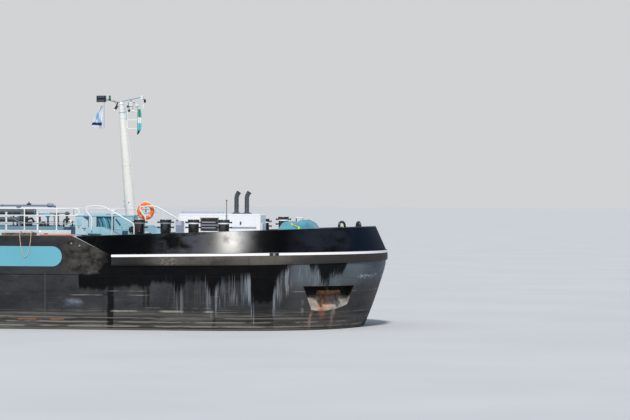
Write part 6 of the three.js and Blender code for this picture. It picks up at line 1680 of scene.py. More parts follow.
NU, NV = 168, 60
verts = [cover_point(0, 0)]
for j in range(1, NV + 1):
    for i in range(NU):
        verts.append(cover_point(i / NU, j / NV))
faces = [(0, 1 + i, 1 + (i + 1) % NU) for i in range(NU)]
for j in range(NV - 1):
    for i in range(NU):
        a0, a1 = 1 + j * NU + i, 1 + j * NU + (i + 1) % NU
        faces.append((a0, a0 + NU, a1 + NU, a1))
me = bpy.data.meshes.new("windlass_cover_cloth")
me.from_pydata([tuple(p * S) for p in verts], [], faces)
bm = bmesh.new()
bm.from_mesh(me)
bmesh.ops.recalc_face_normals(bm, faces=bm.faces)
if sum(f.normal.z * f.calc_area() for f in bm.faces) < 0:
    bmesh.ops.reverse_faces(bm, faces=bm.faces)
bm.to_mesh(me)
bm.free()
me.polygons.foreach_set("use_smooth", [True] * len(me.polygons))
me.materials.append(M["teal_cloth"])
cover = bpy.data.objects.new("windlass_cover_cloth", me)
scene.collection.objects.link(cover)
mod = cover.modifiers.new("thickness", "SOLIDIFY")
mod.thickness, mod.offset = 0.0012, -1.0
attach(cover, "barge")
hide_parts("windlass_cover")
# hem cord, seams and the strap
b = Build("windlass_cover_straps")
line = [cover_point(i / 120, 0.97) for i in range(120)]
b.tube([p + Vector((0, 0, -0.004)) for p in line], 0.017, "teal_cloth", 8, closed=True)
strap = [cover_point(i / 120, 0.805) for i in range(120)]
ctr = Vector((51.46, 0, 0))
out = []
for p in strap:
    d = Vector((p.x - ctr.x, p.y, 0)).normalized()
    out.append(p + d * 0.010)
vs, fs = [], []
for p in out:
    d = Vector((p.x - ctr.x, p.y, 0)).normalized()
    vs += [p + d * 0.004 + Vector((0, 0, 0.022)), p + d * 0.004 - Vector((0, 0, 0.022)), p - d * 0.006 - Vector((0, 0, 0.022)), p - d * 0.006 + Vector((0, 0, 0.022))]
n = len(out)
for i in range(n):
    j = (i + 1) % n
    for k in range(4):
        l = (k + 1) % 4
        fs.append((i * 4 + k, i * 4 + l, j * 4 + l, j * 4 + k))
b.add(vs, fs, "yellow")
# a short strap over the top, running down to the near side
def on_cover(x, y):
    """The point of the cover above (x, y), inside its shoulder, and its turn."""
    qx, qy = (x - 51.46) / 0.80, y / 1.40
    r = (abs(qx) ** 3 + abs(qy) ** 3) ** (1 / 3)
    turn = math.atan2(math.copysign((abs(qy) / r) ** 1.5, qy), math.copysign((abs(qx) / r) ** 1.5, qx)) / (2 * math.pi)
    return cover_point(turn, 0.55 * min(1, r) ** (1 / 0.9)), turn


pts = []
for p in bent([(51.26, -0.95, 0), (51.34, -1.12, 0), (51.48, -1.24, 0), (51.62, -1.31, 0)], 6):
    q, u_end = on_cover(p[0], p[1])
    pts.append(q + Vector((0, -0.006, 0.012)))
pts += [cover_point(u_end, v) + Vector((0.02 * k, -0.014, 0.004)) for k, v in enumerate((0.56, 0.60, 0.66))]
vs, fs = [], []
for i, p in enumerate(pts):
    d = (pts[min(i + 1, len(pts) - 1)] - pts[max(i - 1, 0)]).normalized()
    side = Vector((1, 0.25, 0)) - d * Vector((1, 0.25, 0)).dot(d)
    side.normalize()
    nrm = side.cross(d).normalized()
    if nrm.z < 0 and nrm.y > 0:
        nrm = -nrm
    vs += [p + side * 0.035 + nrm * 0.005, p - side * 0.035 + nrm * 0.005, p - side * 0.035 - nrm * 0.005, p + side * 0.035 - nrm * 0.005]
for i in range(len(pts) - 1):
    for k in range(4):
        l = (k + 1) % 4
        fs.append((i * 4 + k, i * 4 + l, (i + 1) * 4 + l, (i + 1) * 4 + k))
fs += [(0, 1, 2, 3), tuple(len(vs) - 4 + k for k in (3, 2, 1, 0))]
b.add(vs, fs, "yellow")
b.done("barge", angle=50)

# =============================================================================== folding bow mast
PX, PZ = 44.52, 5.30
LEAN_A = math.radians(5.3)
MAST_LEN = 4.96


def up(d, off=0.0, y=0.0):
    return Vector((PX - d * math.sin(LEAN_A) + off * math.cos(LEAN_A), y, PZ + d * math.cos(LEAN_A) + off * math.sin(LEAN_A)))


b = Build("mast_bracket_cheeks")
b.prism([(44.53, FOREDECK + GAP), (45.0, FOREDECK + GAP), (45.0, 4.55), (44.30, 4.55), (44.30, 4.44)], "xz", -0.34, 0.34, "white")
for s in (-1, 1):
    b.prism([(44.36, 4.5), (44.98, 4.5), (44.80, 5.15), (44.72, PZ + 0.10), (44.66, PZ + 0.14), (44.40, PZ + 0.14), (44.36, PZ + 0.10)], "xz", *sorted((s * 0.224, s * 0.27)), "white")
    b.turned([(0, 0), (0.085, 0), (0.085, 0.02 * s), (0.05, 0.03 * s), (0, 0.03 * s)], (PX, s * 0.268, PZ), "galv", 24, "y")
    b.prism([(44.46, 4.545), (44.50, 4.545), (44.48, 5.0)], "xz", *sorted((s * 0.268, s * 0.33)), "white")
b.done("barge", ("mast_bracket",), bevel=0.008, angle=40)

b = Build("bow_mast_tube")
MAST_R = ((-0.30, 0.205), (0.10, 0.205), (0.35, 0.215), (1.44, 0.215), (2.5, 0.190), (3.5, 0.162), (4.5, 0.120), (4.96, 0.100))


def mast_r(d):
    for (d0, r0), (d1, r1) in zip(MAST_R, MAST_R[1:]):
        if d <= d1:
            return r0 + (r1 - r0) * (d - d0) / (d1 - d0)
    return MAST_R[-1][1]


b.turned([(0, -0.30)] + [(mast_r(-0.30 + 5.26 * k / 40), -0.30 + 5.26 * k / 40) for k in range(41)] + [(0, 4.96)], (0, 0, 0), "mast_white", 40)
for d in (-0.26, 0.62, 2.45, 4.40):
    b.turned([(0, d), (mast_r(d) + 0.008, d), (mast_r(d) + 0.008, d + 0.03), (0, d + 0.03)], (0, 0, 0), "mast_white", 40)
# stand the tube on its leaning axis
for k in range(len(b.v)):
    q = Vector(b.v[k])
    b.v[k] = tuple(up(q.z, -0.05 + q.x, q.y))
b.rod((PX, -0.214, PZ), (PX, 0.214, PZ), 0.058, "galv", 20)
# conduit, cleats and steps
b.tube([up(0.35, 0.170), up(2.4, 0.148), up(4.6, 0.074)], 0.016, "mast_white", 10)
b.ball(up(0.92, -0.05, -0.215), 0.022, "black_matt", 10, 6)
for d in (0.75, 0.95):
    b.tube([up(d, -0.25), up(d, -0.29), up(d + 0.08, -0.30)], 0.012, "galv", 8)
for k in range(9):
    d = 1.2 + 0.38 * k
    r = mast_r(d)
    b.tube([up(d, -0.05, r - 0.01), up(d, -0.05, r + 0.07), up(d + 0.03, -0.05, r + 0.08)], 0.012, "galv", 8)
b.done("bow_mast", ("bow_mast",), angle=40)

b = Build("mast_head_gear")
L = MAST_LEN
b.tube([up(L + 0.006, -0.05), up(L + 0.02, -0.05), up(L + 0.05, -0.05)], 0.112, "white", 28)
b.tube([up(L + 0.05, -0.05), up(L + 0.13, -0.05)], 0.07, "white", 24)
b.tube([up(L - 0.34, -0.05), up(L - 0.30, -0.05)], 0.128, "pale_blue", 28)
# after arm with the twin box, falling towards the head
b.tube([(43.30, 0, 10.445), (43.44, 0, 10.44), (43.98, 0, 10.325)], 0.030, "galv", 12)
b.tube([(43.70, 0, 10.38), up(L - 0.16, -0.11)], 0.014, "galv", 8)
for z0, z1 in ((10.345, 10.47), (10.482, 10.61)):
    b.box(42.985, 43.36, -0.088, 0.088, z0, z1, "dark_glass")
    b.box(43.03, 43.32, -0.096, -0.084, z0 + 0.03, z1 - 0.03, "slate")
b.box(42.985, 43.37, -0.07, 0.07, 10.468, 10.484, "black_matt")
b.turned([(0, 0), (0.05, 0), (0.05, 0.03), (0.042, 0.035), (0.042, 0.12), (0.05, 0.125), (0.05, 0.15), (0, 0.155)], (43.525, 0, 10.46), "green_lens", 20)
b.turned([(0, 0), (0.055, 0), (0.055, 0.04), (0, 0.04)], (43.525, 0, 10.425), "black_matt", 20)
# hanging lamp aft of the head
b.tube([(43.86, 0, 10.33), (43.80, 0, 10.14)], 0.028, "black_matt", 10)
b.tube([(43.83, 0, 10.18), (43.75, 0, 10.04)], 0.052, "black_matt", 16)
b.tube([(43.752, 0, 10.045), (43.725, 0, 9.985)], 0.056, "white", 16)
# forward arm: a double bar rising to its lamp
for dy in (-0.045, 0.045):
    b.tube([(43.96, dy, 10.375), (44.83, dy, 10.545)], 0.026, "pale_blue", 10)
for k in (0.25, 0.5, 0.75):
    b.tube([(43.96 + 0.87 * k, -0.05, 10.375 + 0.17 * k), (43.96 + 0.87 * k, 0.05, 10.375 + 0.17 * k)], 0.014, "pale_blue", 8)
b.turned([(0, 0), (0.07, 0), (0.08, 0.02), (0.08, 0.08), (0.05, 0.105), (0, 0.11)], (44.875, 0, 10.50), "clear_lens", 22)
b.turned([(0, 0), (0.085, 0), (0.085, 0.03), (0, 0.03)], (44.875, 0, 10.475), "white", 22)
b.box(44.965, 45.04, -0.05, 0.05, 10.32, 10.45, "dark_glass")
b.tube([(44.90, 0, 10.485), (45.0, 0, 10.44)], 0.018, "black_matt", 8)
b.tube([(45.0, 0, 10.33), (44.93, 0, 10.16), (44.92, 0, 10.08)], 0.022, "white", 8)
# lamp cluster beneath the forward arm
b.box(44.30, 44.76, -0.05, 0.05, 10.31, 10.35, "galv")
b.rod((44.42, 0, 10.33), (44.42, 0, 10.47), 0.02, "galv", 8)
for x, zt in ((44.42, 10.28), (44.68, 10.27)):
    b.turned([(0, 0), (0.085, -0.0), (0.10, -0.05), (0.10, -0.13), (0.07, -0.16), (0, -0.16)], (x, 0, zt + 0.03), "clear_lens", 24)
    b.turned([(0, 0), (0.105, 0), (0.105, 0.035), (0, 0.045)], (x, 0, zt + 0.02), "white", 24)
b.turned([(0, 0), (0.06, 0), (0.06, -0.07), (0, -0.08)], (44.30, 0, 10.20), "black_matt", 18)
b.rod((44.30, 0, 10.18), (44.32, 0, 10.33), 0.014, "galv", 8)
b.turned([(0, 0), (0.06, 0), (0.07, -0.05), (0.04, -0.08), (0, -0.08)], (44.50, 0, 10.02), "white", 18)
b.tube([(44.50, 0, 10.0), (44.50, 0, 10.33)], 0.014, "galv", 8)
b.turned([(0, 0), (0.05, 0), (0.05, -0.09), (0, -0.10)], (44.34, 0, 10.04), "black_matt", 18)
b.tube([(44.34, 0, 10.02), (44.34, 0, 10.32)], 0.012, "galv", 8)
# thick bracket beside the head, carrying the open flag frame
b.tube([up(L - 0.12, 0.03), up(L - 0.14, 0.10), up(L - 0.30, 0.125), up(L - 0.52, 0.135), up(L - 0.58, 0.11), up(L - 0.60, 0.04)], 0.030, "pale_blue", 12)
b.box(44.255, 44.285, -0.014, 0.014, 9.24, 10.02, "white_rail")
b.tube([up(L - 0.50, 0.13), (44.27, 0, 9.80)], 0.016, "white_rail", 8)
b.box(44.26, 44.68, -0.014, 0.014, 9.24, 9.268, "white_rail")
b.box(44.26, 44.68, -0.014, 0.014, 9.60, 9.628, "white_rail")
b.box(44.26, 44.70, -0.014, 0.014, 9.94, 9.96, "white_rail")
b.rod((44.27, 0, 9.96), (44.27, 0, 10.32), 0.012, "white_rail", 8)
b.rod((44.695, 0, 9.00), (44.695, 0, 10.34), 0.010, "galv", 8)
b.rod((43.29, 0, 9.25), (43.29, 0, 10.36), 0.008, "galv", 8)
b.done("bow_mast", ("mast_crosstree",), bevel=0.003, angle=40)


def flag(name, body, mat, node, cad, hoist, steps):
    """steps(t, nu) -> the row of points across the flag at t, from the top down; the row functions set the hoist edge,
    fold depth, spread, fold phase and drop.
    """
    nu, nv = 72, 84
    rows = []
    for j in range(nv + 1):
        t = j / nv
        rows.append(steps(t, nu))
    vs = [p for r in rows for p in r]
    fs = [(j * (nu + 1) + i, j * (nu + 1) + i + 1, (j + 1) * (nu + 1) + i + 1, (j + 1) * (nu + 1) + i) for j in range(nv) for i in range(nu)]
    me = bpy.data.meshes.new(name)
    me.from_pydata([tuple(Vector(p) * S) for p in vs], [], fs)
    me.polygons.foreach_set("use_smooth", [True] * len(me.polygons))
    me.materials.append(mat)
    ob = bpy.data.objects.new(name, me)
    scene.collection.objects.link(ob)
    md = ob.modifiers.new("thickness", "SOLIDIFY")
    md.thickness, md.offset = 0.0006, 0.0
    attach(ob, body)
    if node:
        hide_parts(node)
    return ob


def folded_row(nu, L, W, waves, phase, skew=0.0):
    """A row of length L squeezed into width W: an even wave whose height is found so that its length is L."""
    def row(A):
        pts = []
        for i in range(nu + 1):
            u = i / nu
            env = min(1.0, u * 6, (1 - u) * 9 + 0.25)
            pts.append((W * u + skew * math.sin(2 * math.pi * waves * u + phase) * A * 0.5, A * env * math.sin(2 * math.pi * waves * u + phase)))
        return pts
    def length(A):
        p = row(A)
        return sum(math.dist(a, b) for a, b in zip(p, p[1:]))
    lo, hi = 0.0, L
    for _ in range(26):
        mid = (lo + hi) / 2
        if length(mid) < L:
            lo = mid
        else:
            hi = mid
    p = row(lo)
    y0 = p[0][1]
    return [(a, b - y0 * (1 - i / nu)) for i, (a, b) in enumerate(p)]


def pennant_rows(t, nu):
    # hung from its upper corner: the cloth spreads aft as it falls
    L = 0.60
    W = 0.08 + 0.35 * min(1.0, t * 1.10) ** 0.85
    row = folded_row(nu, L, W, 1.6 + 0.4 * (1 - t), 0.4 + t * 1.1)
    drop = 0.95 * t
    out = []
    for i, (a, d) in enumerate(row):
        u = i / nu
        x = 43.25 - 0.07 * t - a * 0.98
        z = 10.205 - drop * (0.98 - 0.05 * u) - 0.02 * math.sin(u * 9 + 1) * t
        out.append((x, d * 0.62 + 0.01 * math.sin(t * 7), z))
    return out


def house_rows(t, nu):
    L = 0.56
    W = 0.10 + 0.035 * math.sin(math.pi * min(1, t * 1.1)) ** 0.7 + 0.05 * t
    row = folded_row(nu, L, W, 2.0, 0.3 + t * 0.9)
    out = []
    bend = 0.0 if t < 0.80 else (t - 0.80) / 0.20
    for i, (a, d) in enumerate(row):
        u = i / nu
        x = 44.715 + a * 1.0 - 0.04 * t * t - 0.07 * bend * u
        z = 10.05 - 1.05 * t * (1 - 0.02 * u) + 0.03 * bend * u
        out.append((x, d * 0.75, z))
    return out


flag("pennant_cloth", "bow_mast", M["pennant"], "pennant", None, 0, pennant_rows)
flag("house_flag_cloth", "bow_mast", M["house_flag"], "house_flag", None, 0, house_rows)

# =============================================================================== lifebuoy
b = Build("lifebuoy_ring")
LBX, LBY, LBZ = 43.94, 5.215, 5.85
b.ring((LBX, LBY, LBZ), 0.295, 0.082, "orange", "y", 72, 20, 1.0)
for k in range(4):
    a0 = math.pi / 4 + k * math.pi / 2
    pts = [(LBX + 0.295 * math.cos(a0 + d), LBY, LBZ + 0.295 * math.sin(a0 + d)) for d in (-0.08, -0.04, 0, 0.04, 0.08)]
    b.tube(pts, 0.0852, "reflective", 20)
grab = []
for k in range(4):
    a0 = math.pi / 4 + k * math.pi / 2
    for i in range(10):
        t = i / 10
        a = a0 + t * math.pi / 2
        grab.append((LBX + (0.382 + 0.030 * math.sin(math.pi * t)) * math.cos(a), LBY - 0.01, LBZ + (0.382 + 0.030 * math.sin(math.pi * t)) * math.sin(a)))
b.tube(grab, 0.010, "white", 8, closed=True)
# light float clipped inside the ring
b.tube([(LBX - 0.10, LBY, LBZ + 0.08), (LBX + 0.14, LBY, LBZ + 0.09)], 0.030, "pale_blue", 16)
b.tube([(LBX - 0.15, LBY, LBZ + 0.078), (LBX - 0.09, LBY, LBZ + 0.08)], 0.034, "orange", 16)
b.tube([(LBX - 0.12, LBY, LBZ - 0.09), (LBX + 0.14, LBY, LBZ - 0.08)], 0.036, "pale_blue", 16)
b.box(LBX - 0.02, LBX + 0.02, LBY + 0.0, LBY + 0.07, LBZ - 0.12, LBZ + 0.30, "galv")
b.done("barge", ("lifebuoy",), angle=50)

# =============================================================================== accommodation
HOUSE_TOP, WALL = 7.10, 0.10
hx0, hx1, hy = -50.6, -43.4, 4.3


def house_outline(i):
    return [(hx0 + i, -hy + i), (hx1 - 0.9, -hy + i), (hx1 - i, -hy + 0.9), (hx1 - i, hy - 0.9), (hx1 - 0.9, hy - i), (hx0 + i, hy - i)]


b = Build("accommodation_shell")
b.prism(house_outline(0), "xy", DEPTH + GAP, HOUSE_TOP, "white")
house = b.done("barge", ("accommodation",), angle=30)
k = Build("house_inside")
k.prism(house_outline(WALL), "xy", DEPTH - 1, HOUSE_TOP - WALL, "inner")
cut_with(house, cutter_of(k))
holes = []
for s in (-1, 1):
    for x in (-49.4, -47.6, -46.0):
        holes.append((x - 0.45, x + 0.45, s * hy - 0.3, s * hy + 0.3, 6.0, 6.65))
    holes.append((-45.22, -44.38, s * hy - 0.3, s * hy + 0.3, DEPTH + 0.10, 6.90))
for y in (-2.2, 0, 2.2):
    holes.append((hx1 - 0.3, hx1 + 0.3, y - 0.5, y + 0.5, 6.0, 6.65))
    holes.append((hx0 - 0.3, hx0 + 0.3, y - 0.4, y + 0.4, 6.0, 6.65))
k = Build("house_holes")
for h in holes:
    k.box(*h, "inner")
cut_with(house, cutter_of(k))
mod = house.modifiers.new("edges", "BEVEL")
mod.width, mod.segments, mod.limit_method, mod.angle_limit, mod.harden_normals = 0.0025, 2, "ANGLE", math.radians(40), True


def window(b, axis, face, out, a0, a1, z0, z1, frame_mat="grey_trim", r=0.05, rim=0.045):
    """A glazed frame in an opening: axis x (wall faces along y) or y (wall faces along x). out is the outward sign."""
    def place(a, z, d):
        w = face + out * d
        return (a, w, z) if axis == "x" else (w, a, z)
    def loop(e, d, n=6):
        A0, A1, Z0, Z1, R = a0 + e, a1 - e, z0 + e, z1 - e, max(0.012, r - e * 0.4)
        pts = []
        for ca, cz, t0 in ((A1 - R, Z1 - R, 0), (A0 + R, Z1 - R, 90), (A0 + R, Z0 + R, 180), (A1 - R, Z0 + R, 270)):
            for k in range(n + 1):
                t = math.radians(t0 + 90 * k / n)
                pts.append(place(ca + R * math.cos(t), cz + R * math.sin(t), d))
        return pts
    rings = [loop(-0.03, 0.002), loop(-0.03, 0.018), loop(rim - 0.03, 0.018), loop(rim - 0.03, 0.002)]
    b.loft(rings, frame_mat, closed=True)
    rings = [loop(0.004, 0.004), loop(0.004, -0.07), loop(rim, -0.07), loop(rim, 0.004)]
    b.loft(rings, "rubber", closed=True)
    g0, g1 = loop(rim - 0.006, -0.045), loop(rim - 0.006, -0.025)
    n = len(g0)
    b.add(g0 + g1, [tuple(range(n)), tuple(range(2 * n - 1, n - 1, -1))] + [(i, (i + 1) % n, n + (i + 1) % n, n + i) for i in range(n)], "glass", False)


b = Build("accommodation_windows")
for s in (-1, 1):
    for x in (-49.4, -47.6, -46.0):
        window(b, "x", s * hy, s, x - 0.45, x + 0.45, 6.0, 6.65)
for y in (-2.2, 0, 2.2):
    window(b, "y", hx1, 1, y - 0.5, y + 0.5, 6.0, 6.65)
    window(b, "y", hx0, -1, y - 0.4, y + 0.4, 6.0, 6.65)
b.done("barge", angle=40)

b = Build("accommodation_trim")
for s in (-1, 1):
    # blue band, hand rail, gutter, lamps and door coaming
    b.box(hx0 + 0.05, -45.35, *sorted((s * (hy + 0.001), s * (hy + 0.010))), 5.28, 5.50, "light_blue")
    b.rod((hx0 + 0.3, s * (hy + 0.07), 5.85), (-45.5, s * (hy + 0.07), 5.85), 0.018, "white_rail", 10)
    for x in (-50.2, -48.5, -46.8, -45.6):
        b.rod((x, s * (hy + 0.001), 5.85), (x, s * (hy + 0.07), 5.85), 0.014, "white_rail", 8)
    b.box(hx0 + 0.02, hx1 - 0.92, *sorted((s * (hy + 0.001), s * (hy + 0.035))), 7.02, 7.06, "white")
    b.turned([(0, 0), (0.06, 0), (0.06, 0.04 * s), (0.04, 0.08 * s), (0, 0.09 * s)], (-44.1, s * hy, 6.55), "clear_lens", 18, "y")
    for x in (-46.8, -48.5):
        b.turned([(0, 0), (0.10, 0), (0.10, 0.05 * s), (0.06, 0.09 * s), (0, 0.09 * s)], (x, s * (hy + 0.002), 6.80), "white", 20, "y")
# roof: camber plate, hatch, vents, hand rails, life raft, lockers
b.box(hx0 + 0.1, hx1 - 0.1, -hy + 0.12, hy - 0.12, HOUSE_TOP + 0.002, HOUSE_TOP + 0.03, "deck")
for x, y in ((-44.6, -2.6), (-44.6, 2.6), (-45.8, -1.45), (-48.2, 3.4), (-48.2, -3.4)):
    b.turned([(0, 0), (0.13, 0), (0.10, 0.03), (0.10, 0.18), (0.20, 0.21), (0.21, 0.26), (0.10, 0.31), (0, 0.32)], (x, y, HOUSE_TOP + 0.028), "white", 28)
b.box(-46.6, -45.6, -3.2, -2.2, HOUSE_TOP + 0.03, HOUSE_TOP + 0.13, "white")
b.box(-46.63, -45.57, -3.23, -2.17, HOUSE_TOP + 0.13, HOUSE_TOP + 0.17, "pale_blue")
b.tube([(-45.6, 2.2, HOUSE_TOP + 0.26), (-46.7, 2.2, HOUSE_TOP + 0.26)], 0.23, "white", 32)
for x in (-45.75, -46.15, -46.55):
    b.tube([(x - 0.02, 2.2, HOUSE_TOP + 0.26), (x + 0.02, 2.2, HOUSE_TOP + 0.26)], 0.236, "black_matt", 32)
for x in (-45.85, -46.45):
    b.box(x - 0.05, x + 0.05, 1.95, 2.45, HOUSE_TOP + 0.02, HOUSE_TOP + 0.12, "galv")
for s in (-1, 1):
    for z in (7.45, 7.75):
        b.tube([(hx0 + 0.1, s * (hy - 0.1), z), (hx1 - 1.0, s * (hy - 0.1), z)], 0.02, "white_rail", 10)
    for x in np.arange(hx0 + 0.1, hx1 - 0.9, 1.02):
        b.rod((float(x), s * (hy - 0.1), HOUSE_TOP), (float(x), s * (hy - 0.1), 7.77), 0.022, "white_rail", 10)
for z in (7.45, 7.75):
    b.tube([(hx0 + 0.1, -hy + 0.1, z), (hx0 + 0.1, hy - 0.1, z)], 0.02, "white_rail", 10)
for y in np.linspace(-hy + 0.1, hy - 0.1, 8):
    b.rod((hx0 + 0.1, float(y), HOUSE_TOP), (hx0 + 0.1, float(y), 7.77), 0.022, "white_rail", 10)
b.done("barge", bevel=0.005, angle=40)

for name, node, s, body in (("accommodation_door_leaf_starboard", "accommodation_door_starboard", -1, "house_door_starboard"), ("accommodation_door_leaf_port", "accommodation_door_port", 1, "house_door_port")):
    b = Build(name)
    lo, hi = sorted((s * (hy - 0.055), s * (hy - 0.005)))
    for xa, xb, za, zb in ((-45.17, -44.98, DEPTH + 0.15, 6.85), (-44.64, -44.48, DEPTH + 0.15, 6.85), (-44.985, -44.635, DEPTH + 0.15, 6.05), (-44.985, -44.635, 6.55, 6.85)):
        b.box(xa, xb, lo, hi, za, zb, "navy")
    window(b, "x", s * (hy - 0.004), s, -44.98, -44.64, 6.05, 6.55, "navy", 0.04, 0.035)
    b.box(-45.08, -44.55, *sorted((s * (hy - 0.01), s * (hy + 0.006))), 5.25, 5.80, "navy")
    for z in (5.4, 6.5):
        b.rod((-44.43, s * (hy + 0.05), z), (-44.43, s * (hy + 0.05), z + 0.12), 0.028, "galv", 16)
        b.box(-44.60, -44.43, *sorted((s * (hy - 0.004), s * (hy + 0.024))), z + 0.01, z + 0.11, "galv")
        b.box(-44.455, -44.41, *sorted((s * (hy + 0.012), s * (hy + 0.05))), z + 0.01, z + 0.11, "galv")
    b.tube(elbowed([(-45.09, s * hy, 5.98), (-45.09, s * (hy + 0.06), 5.98), (-45.09, s * (hy + 0.06), 5.82), (-45.09, s * hy, 5.82)], 0.02), 0.012, "galv", 10)
    b.done(body, (node,), bevel=0.005, angle=40)

# =============================================================================== funnels
b = Build("funnel_casing")
z = HOUSE_TOP + 0.034
b.box(-50.2, -48.9, -2.9, 2.9, z, 7.50, "light_blue")
b.box(-50.22, -48.88, -2.92, 2.92, 7.50, 7.55, "white")
for y in (-2.2, 2.2):
    b.tube([(-49.6, y, 7.5), (-49.66, y, 8.2)], 0.315, "light_blue", 36, r2=0.30)
    b.tube([(-49.66, y, 8.2), (-49.70, y, 8.6)], 0.302, "black_matt", 36, r2=0.285)
    b.tube([(-49.655, y, 8.12), (-49.662, y, 8.2)], 0.312, "white", 36)
    b.tube([(-49.70, y, 8.55), (-49.74, y, 8.75), (-49.80, y, 8.9)], 0.135, "exhaust", 24)
    b.tube([(-49.79, y, 8.885), (-49.805, y, 8.905)], 0.11, "rubber", 24)
for y in np.arange(-1.4, 1.5, 0.14):
    b.box(-48.905, -48.885, float(y) - 0.05, float(y) + 0.05, z + 0.06, 7.44, "grey_trim")
for y in (-2.91, 2.91):
    for x in np.arange(-50.05, -49.0, 0.15):
        b.box(float(x) - 0.05, float(x) + 0.05, min(y, y * 0.995), max(y, y * 0.995), z + 0.08, 7.42, "grey_trim")
b.done("barge", ("funnels",), bevel=0.01, angle=40)

# =============================================================================== wheelhouse
CAB_FLOOR, CAB_TOP, LIFT_X = 5.40, 7.72, -40.6
wx0, wx1, wy = -42.5, -38.7, 2.1


def plan(i):
    return [(wx0 + i, -wy + i), (wx1 - 1.0, -wy + i), (wx1 - i, -wy + 0.9), (wx1 - i, wy - 0.9), (wx1 - 1.0, wy - i), (wx0 + i, wy - i)]


sill, head = 6.38, 7.50
b = Build("wheelhouse_shell")
b.prism(plan(0), "xy", CAB_FLOOR, CAB_TOP, "white")
cab = b.done("wheelhouse", ("wheelhouse",), angle=30)
k = Build("cab_inside")
k.prism(plan(0.08), "xy", CAB_FLOOR + 0.10, CAB_TOP + 1, "inner")
cut_with(cab, cutter_of(k))
k = Build("cab_holes")
for y in (-0.62, 0.62):
    k.box(wx1 - 0.4, wx1 + 0.4, y - 0.56, y + 0.56, sill, head, "rubber")
for s in (-1, 1):
    k.prism([(wx1 - 0.86, s * (wy - 0.3)), (wx1 - 0.14, s * (wy - 1.05)), (wx1 + 0.3, s * (wy - 0.6)), (wx1 - 0.4, s * (wy + 0.2))], "xy", sill, head, "rubber")
    k.box(wx1 - 2.35, wx1 - 1.12, s * wy - 0.3, s * wy + 0.3, sill, head, "rubber")
k.box(wx0 + 0.15, wx0 + 1.25, -wy - 0.3, -wy + 0.3, sill, head, "rubber")
k.box(wx0 + 0.20, wx0 + 0.98, wy - 0.3, wy + 0.3, CAB_FLOOR + 0.12, head, "rubber")
for y in (-1.0, 1.0):
    k.box(wx0 - 0.3, wx0 + 0.3, y - 0.7, y + 0.7, sill, head, "rubber")
cut_with(cab, cutter_of(k))
mod = cab.modifiers.new("edges", "BEVEL")
mod.width, mod.segments, mod.limit_method, mod.angle_limit, mod.harden_normals = 0.002, 2, "ANGLE", math.radians(40), True

b = Build("wheelhouse_glazing")
for y in (-0.62, 0.62):
    window(b, "y", wx1, 1, y - 0.56, y + 0.56, sill, head, "black_matt", 0.06, 0.05)
for s in (-1, 1):
    window(b, "x", s * wy, s, wx1 - 2.35, wx1 - 1.12, sill, head, "black_matt", 0.06, 0.05)
    # slanting corner pane
    p0, p1 = Vector((wx1 - 1.0, s * wy, 0)), Vector((wx1, s * (wy - 0.9), 0))
    d = (p1 - p0).normalized()
    nrm = Vector((d.y, -d.x, 0)) * (1 if s < 0 else -1)
    if nrm.x < 0:
        nrm = -nrm
    for e0, e1, zz0, zz1, off0, off1, mt in ((0.15, 1.19, sill + 0.04, head - 0.04, -0.045, -0.025, "glass"), (0.10, 0.16, sill - 0.03, head + 0.03, 0.002, 0.018, "black_matt"), (1.18, 1.24, sill - 0.03, head + 0.03, 0.002, 0.018, "black_matt"), (0.10, 1.24, sill - 0.03, sill + 0.03, 0.002, 0.018, "black_matt"), (0.10, 1.24, head - 0.03, head + 0.03, 0.002, 0.018, "black_matt")):
        q = [p0 + d * e + nrm * o for o in (off0, off1) for e in (e0, e1)]
        vs = [(p.x, p.y, zz) for zz in (zz0, zz1) for p in q]
        b.add(vs, [(0, 1, 3, 2), (4, 6, 7, 5), (0, 4, 5, 1), (2, 3, 7, 6), (0, 2, 6, 4), (1, 5, 7, 3)], mt, False)
window(b, "x", -wy, -1, wx0 + 0.15, wx0 + 1.25, sill, head, "black_matt", 0.06, 0.05)
for y in (-1.0, 1.0):
    window(b, "y", wx0, -1, y - 0.7, y + 0.7, sill, head, "black_matt", 0.06, 0.05)
b.done("wheelhouse", angle=40)

b = Build("wheelhouse_interior")
b.box(wx0 + 0.10, wx1 - 0.25, -1.2, 1.2, CAB_FLOOR + 0.104, CAB_FLOOR + 0.13, "rubber")
b.prism([(-39.55, 5.54), (-38.95, 5.54), (-38.95, 6.20), (-39.15, 6.34), (-39.62, 6.22)], "xz", -1.0, 1.0, "grey_trim")
for y in (-0.55, 0.0, 0.55):
    b.prism([(-39.16, 6.345), (-39.10, 6.345), (-39.14, 6.62), (-39.19, 6.62)], "xz", y - 0.20, y + 0.20, "dark_glass")
b.turned([(0, 0), (0.28, 0), (0.28, 0.03), (0.07, 0.06), (0.05, 0.36), (0, 0.36)], (-40.3, 0, 5.54), "black_matt", 24)
b.box(-40.58, -40.02, -0.28, 0.28, 5.90, 6.02, "black_gloss")
b.prism([(-40.60, 6.0), (-40.48, 6.0), (-40.56, 6.72), (-40.68, 6.72)], "xz", -0.26, 0.26, "black_gloss")
b.box(-40.55, -40.05, -0.36, -0.29, 6.14, 6.19, "black_matt")
b.box(-40.55, -40.05, 0.29, 0.36, 6.14, 6.19, "black_matt")
b.done("wheelhouse", bevel=0.02, angle=40)

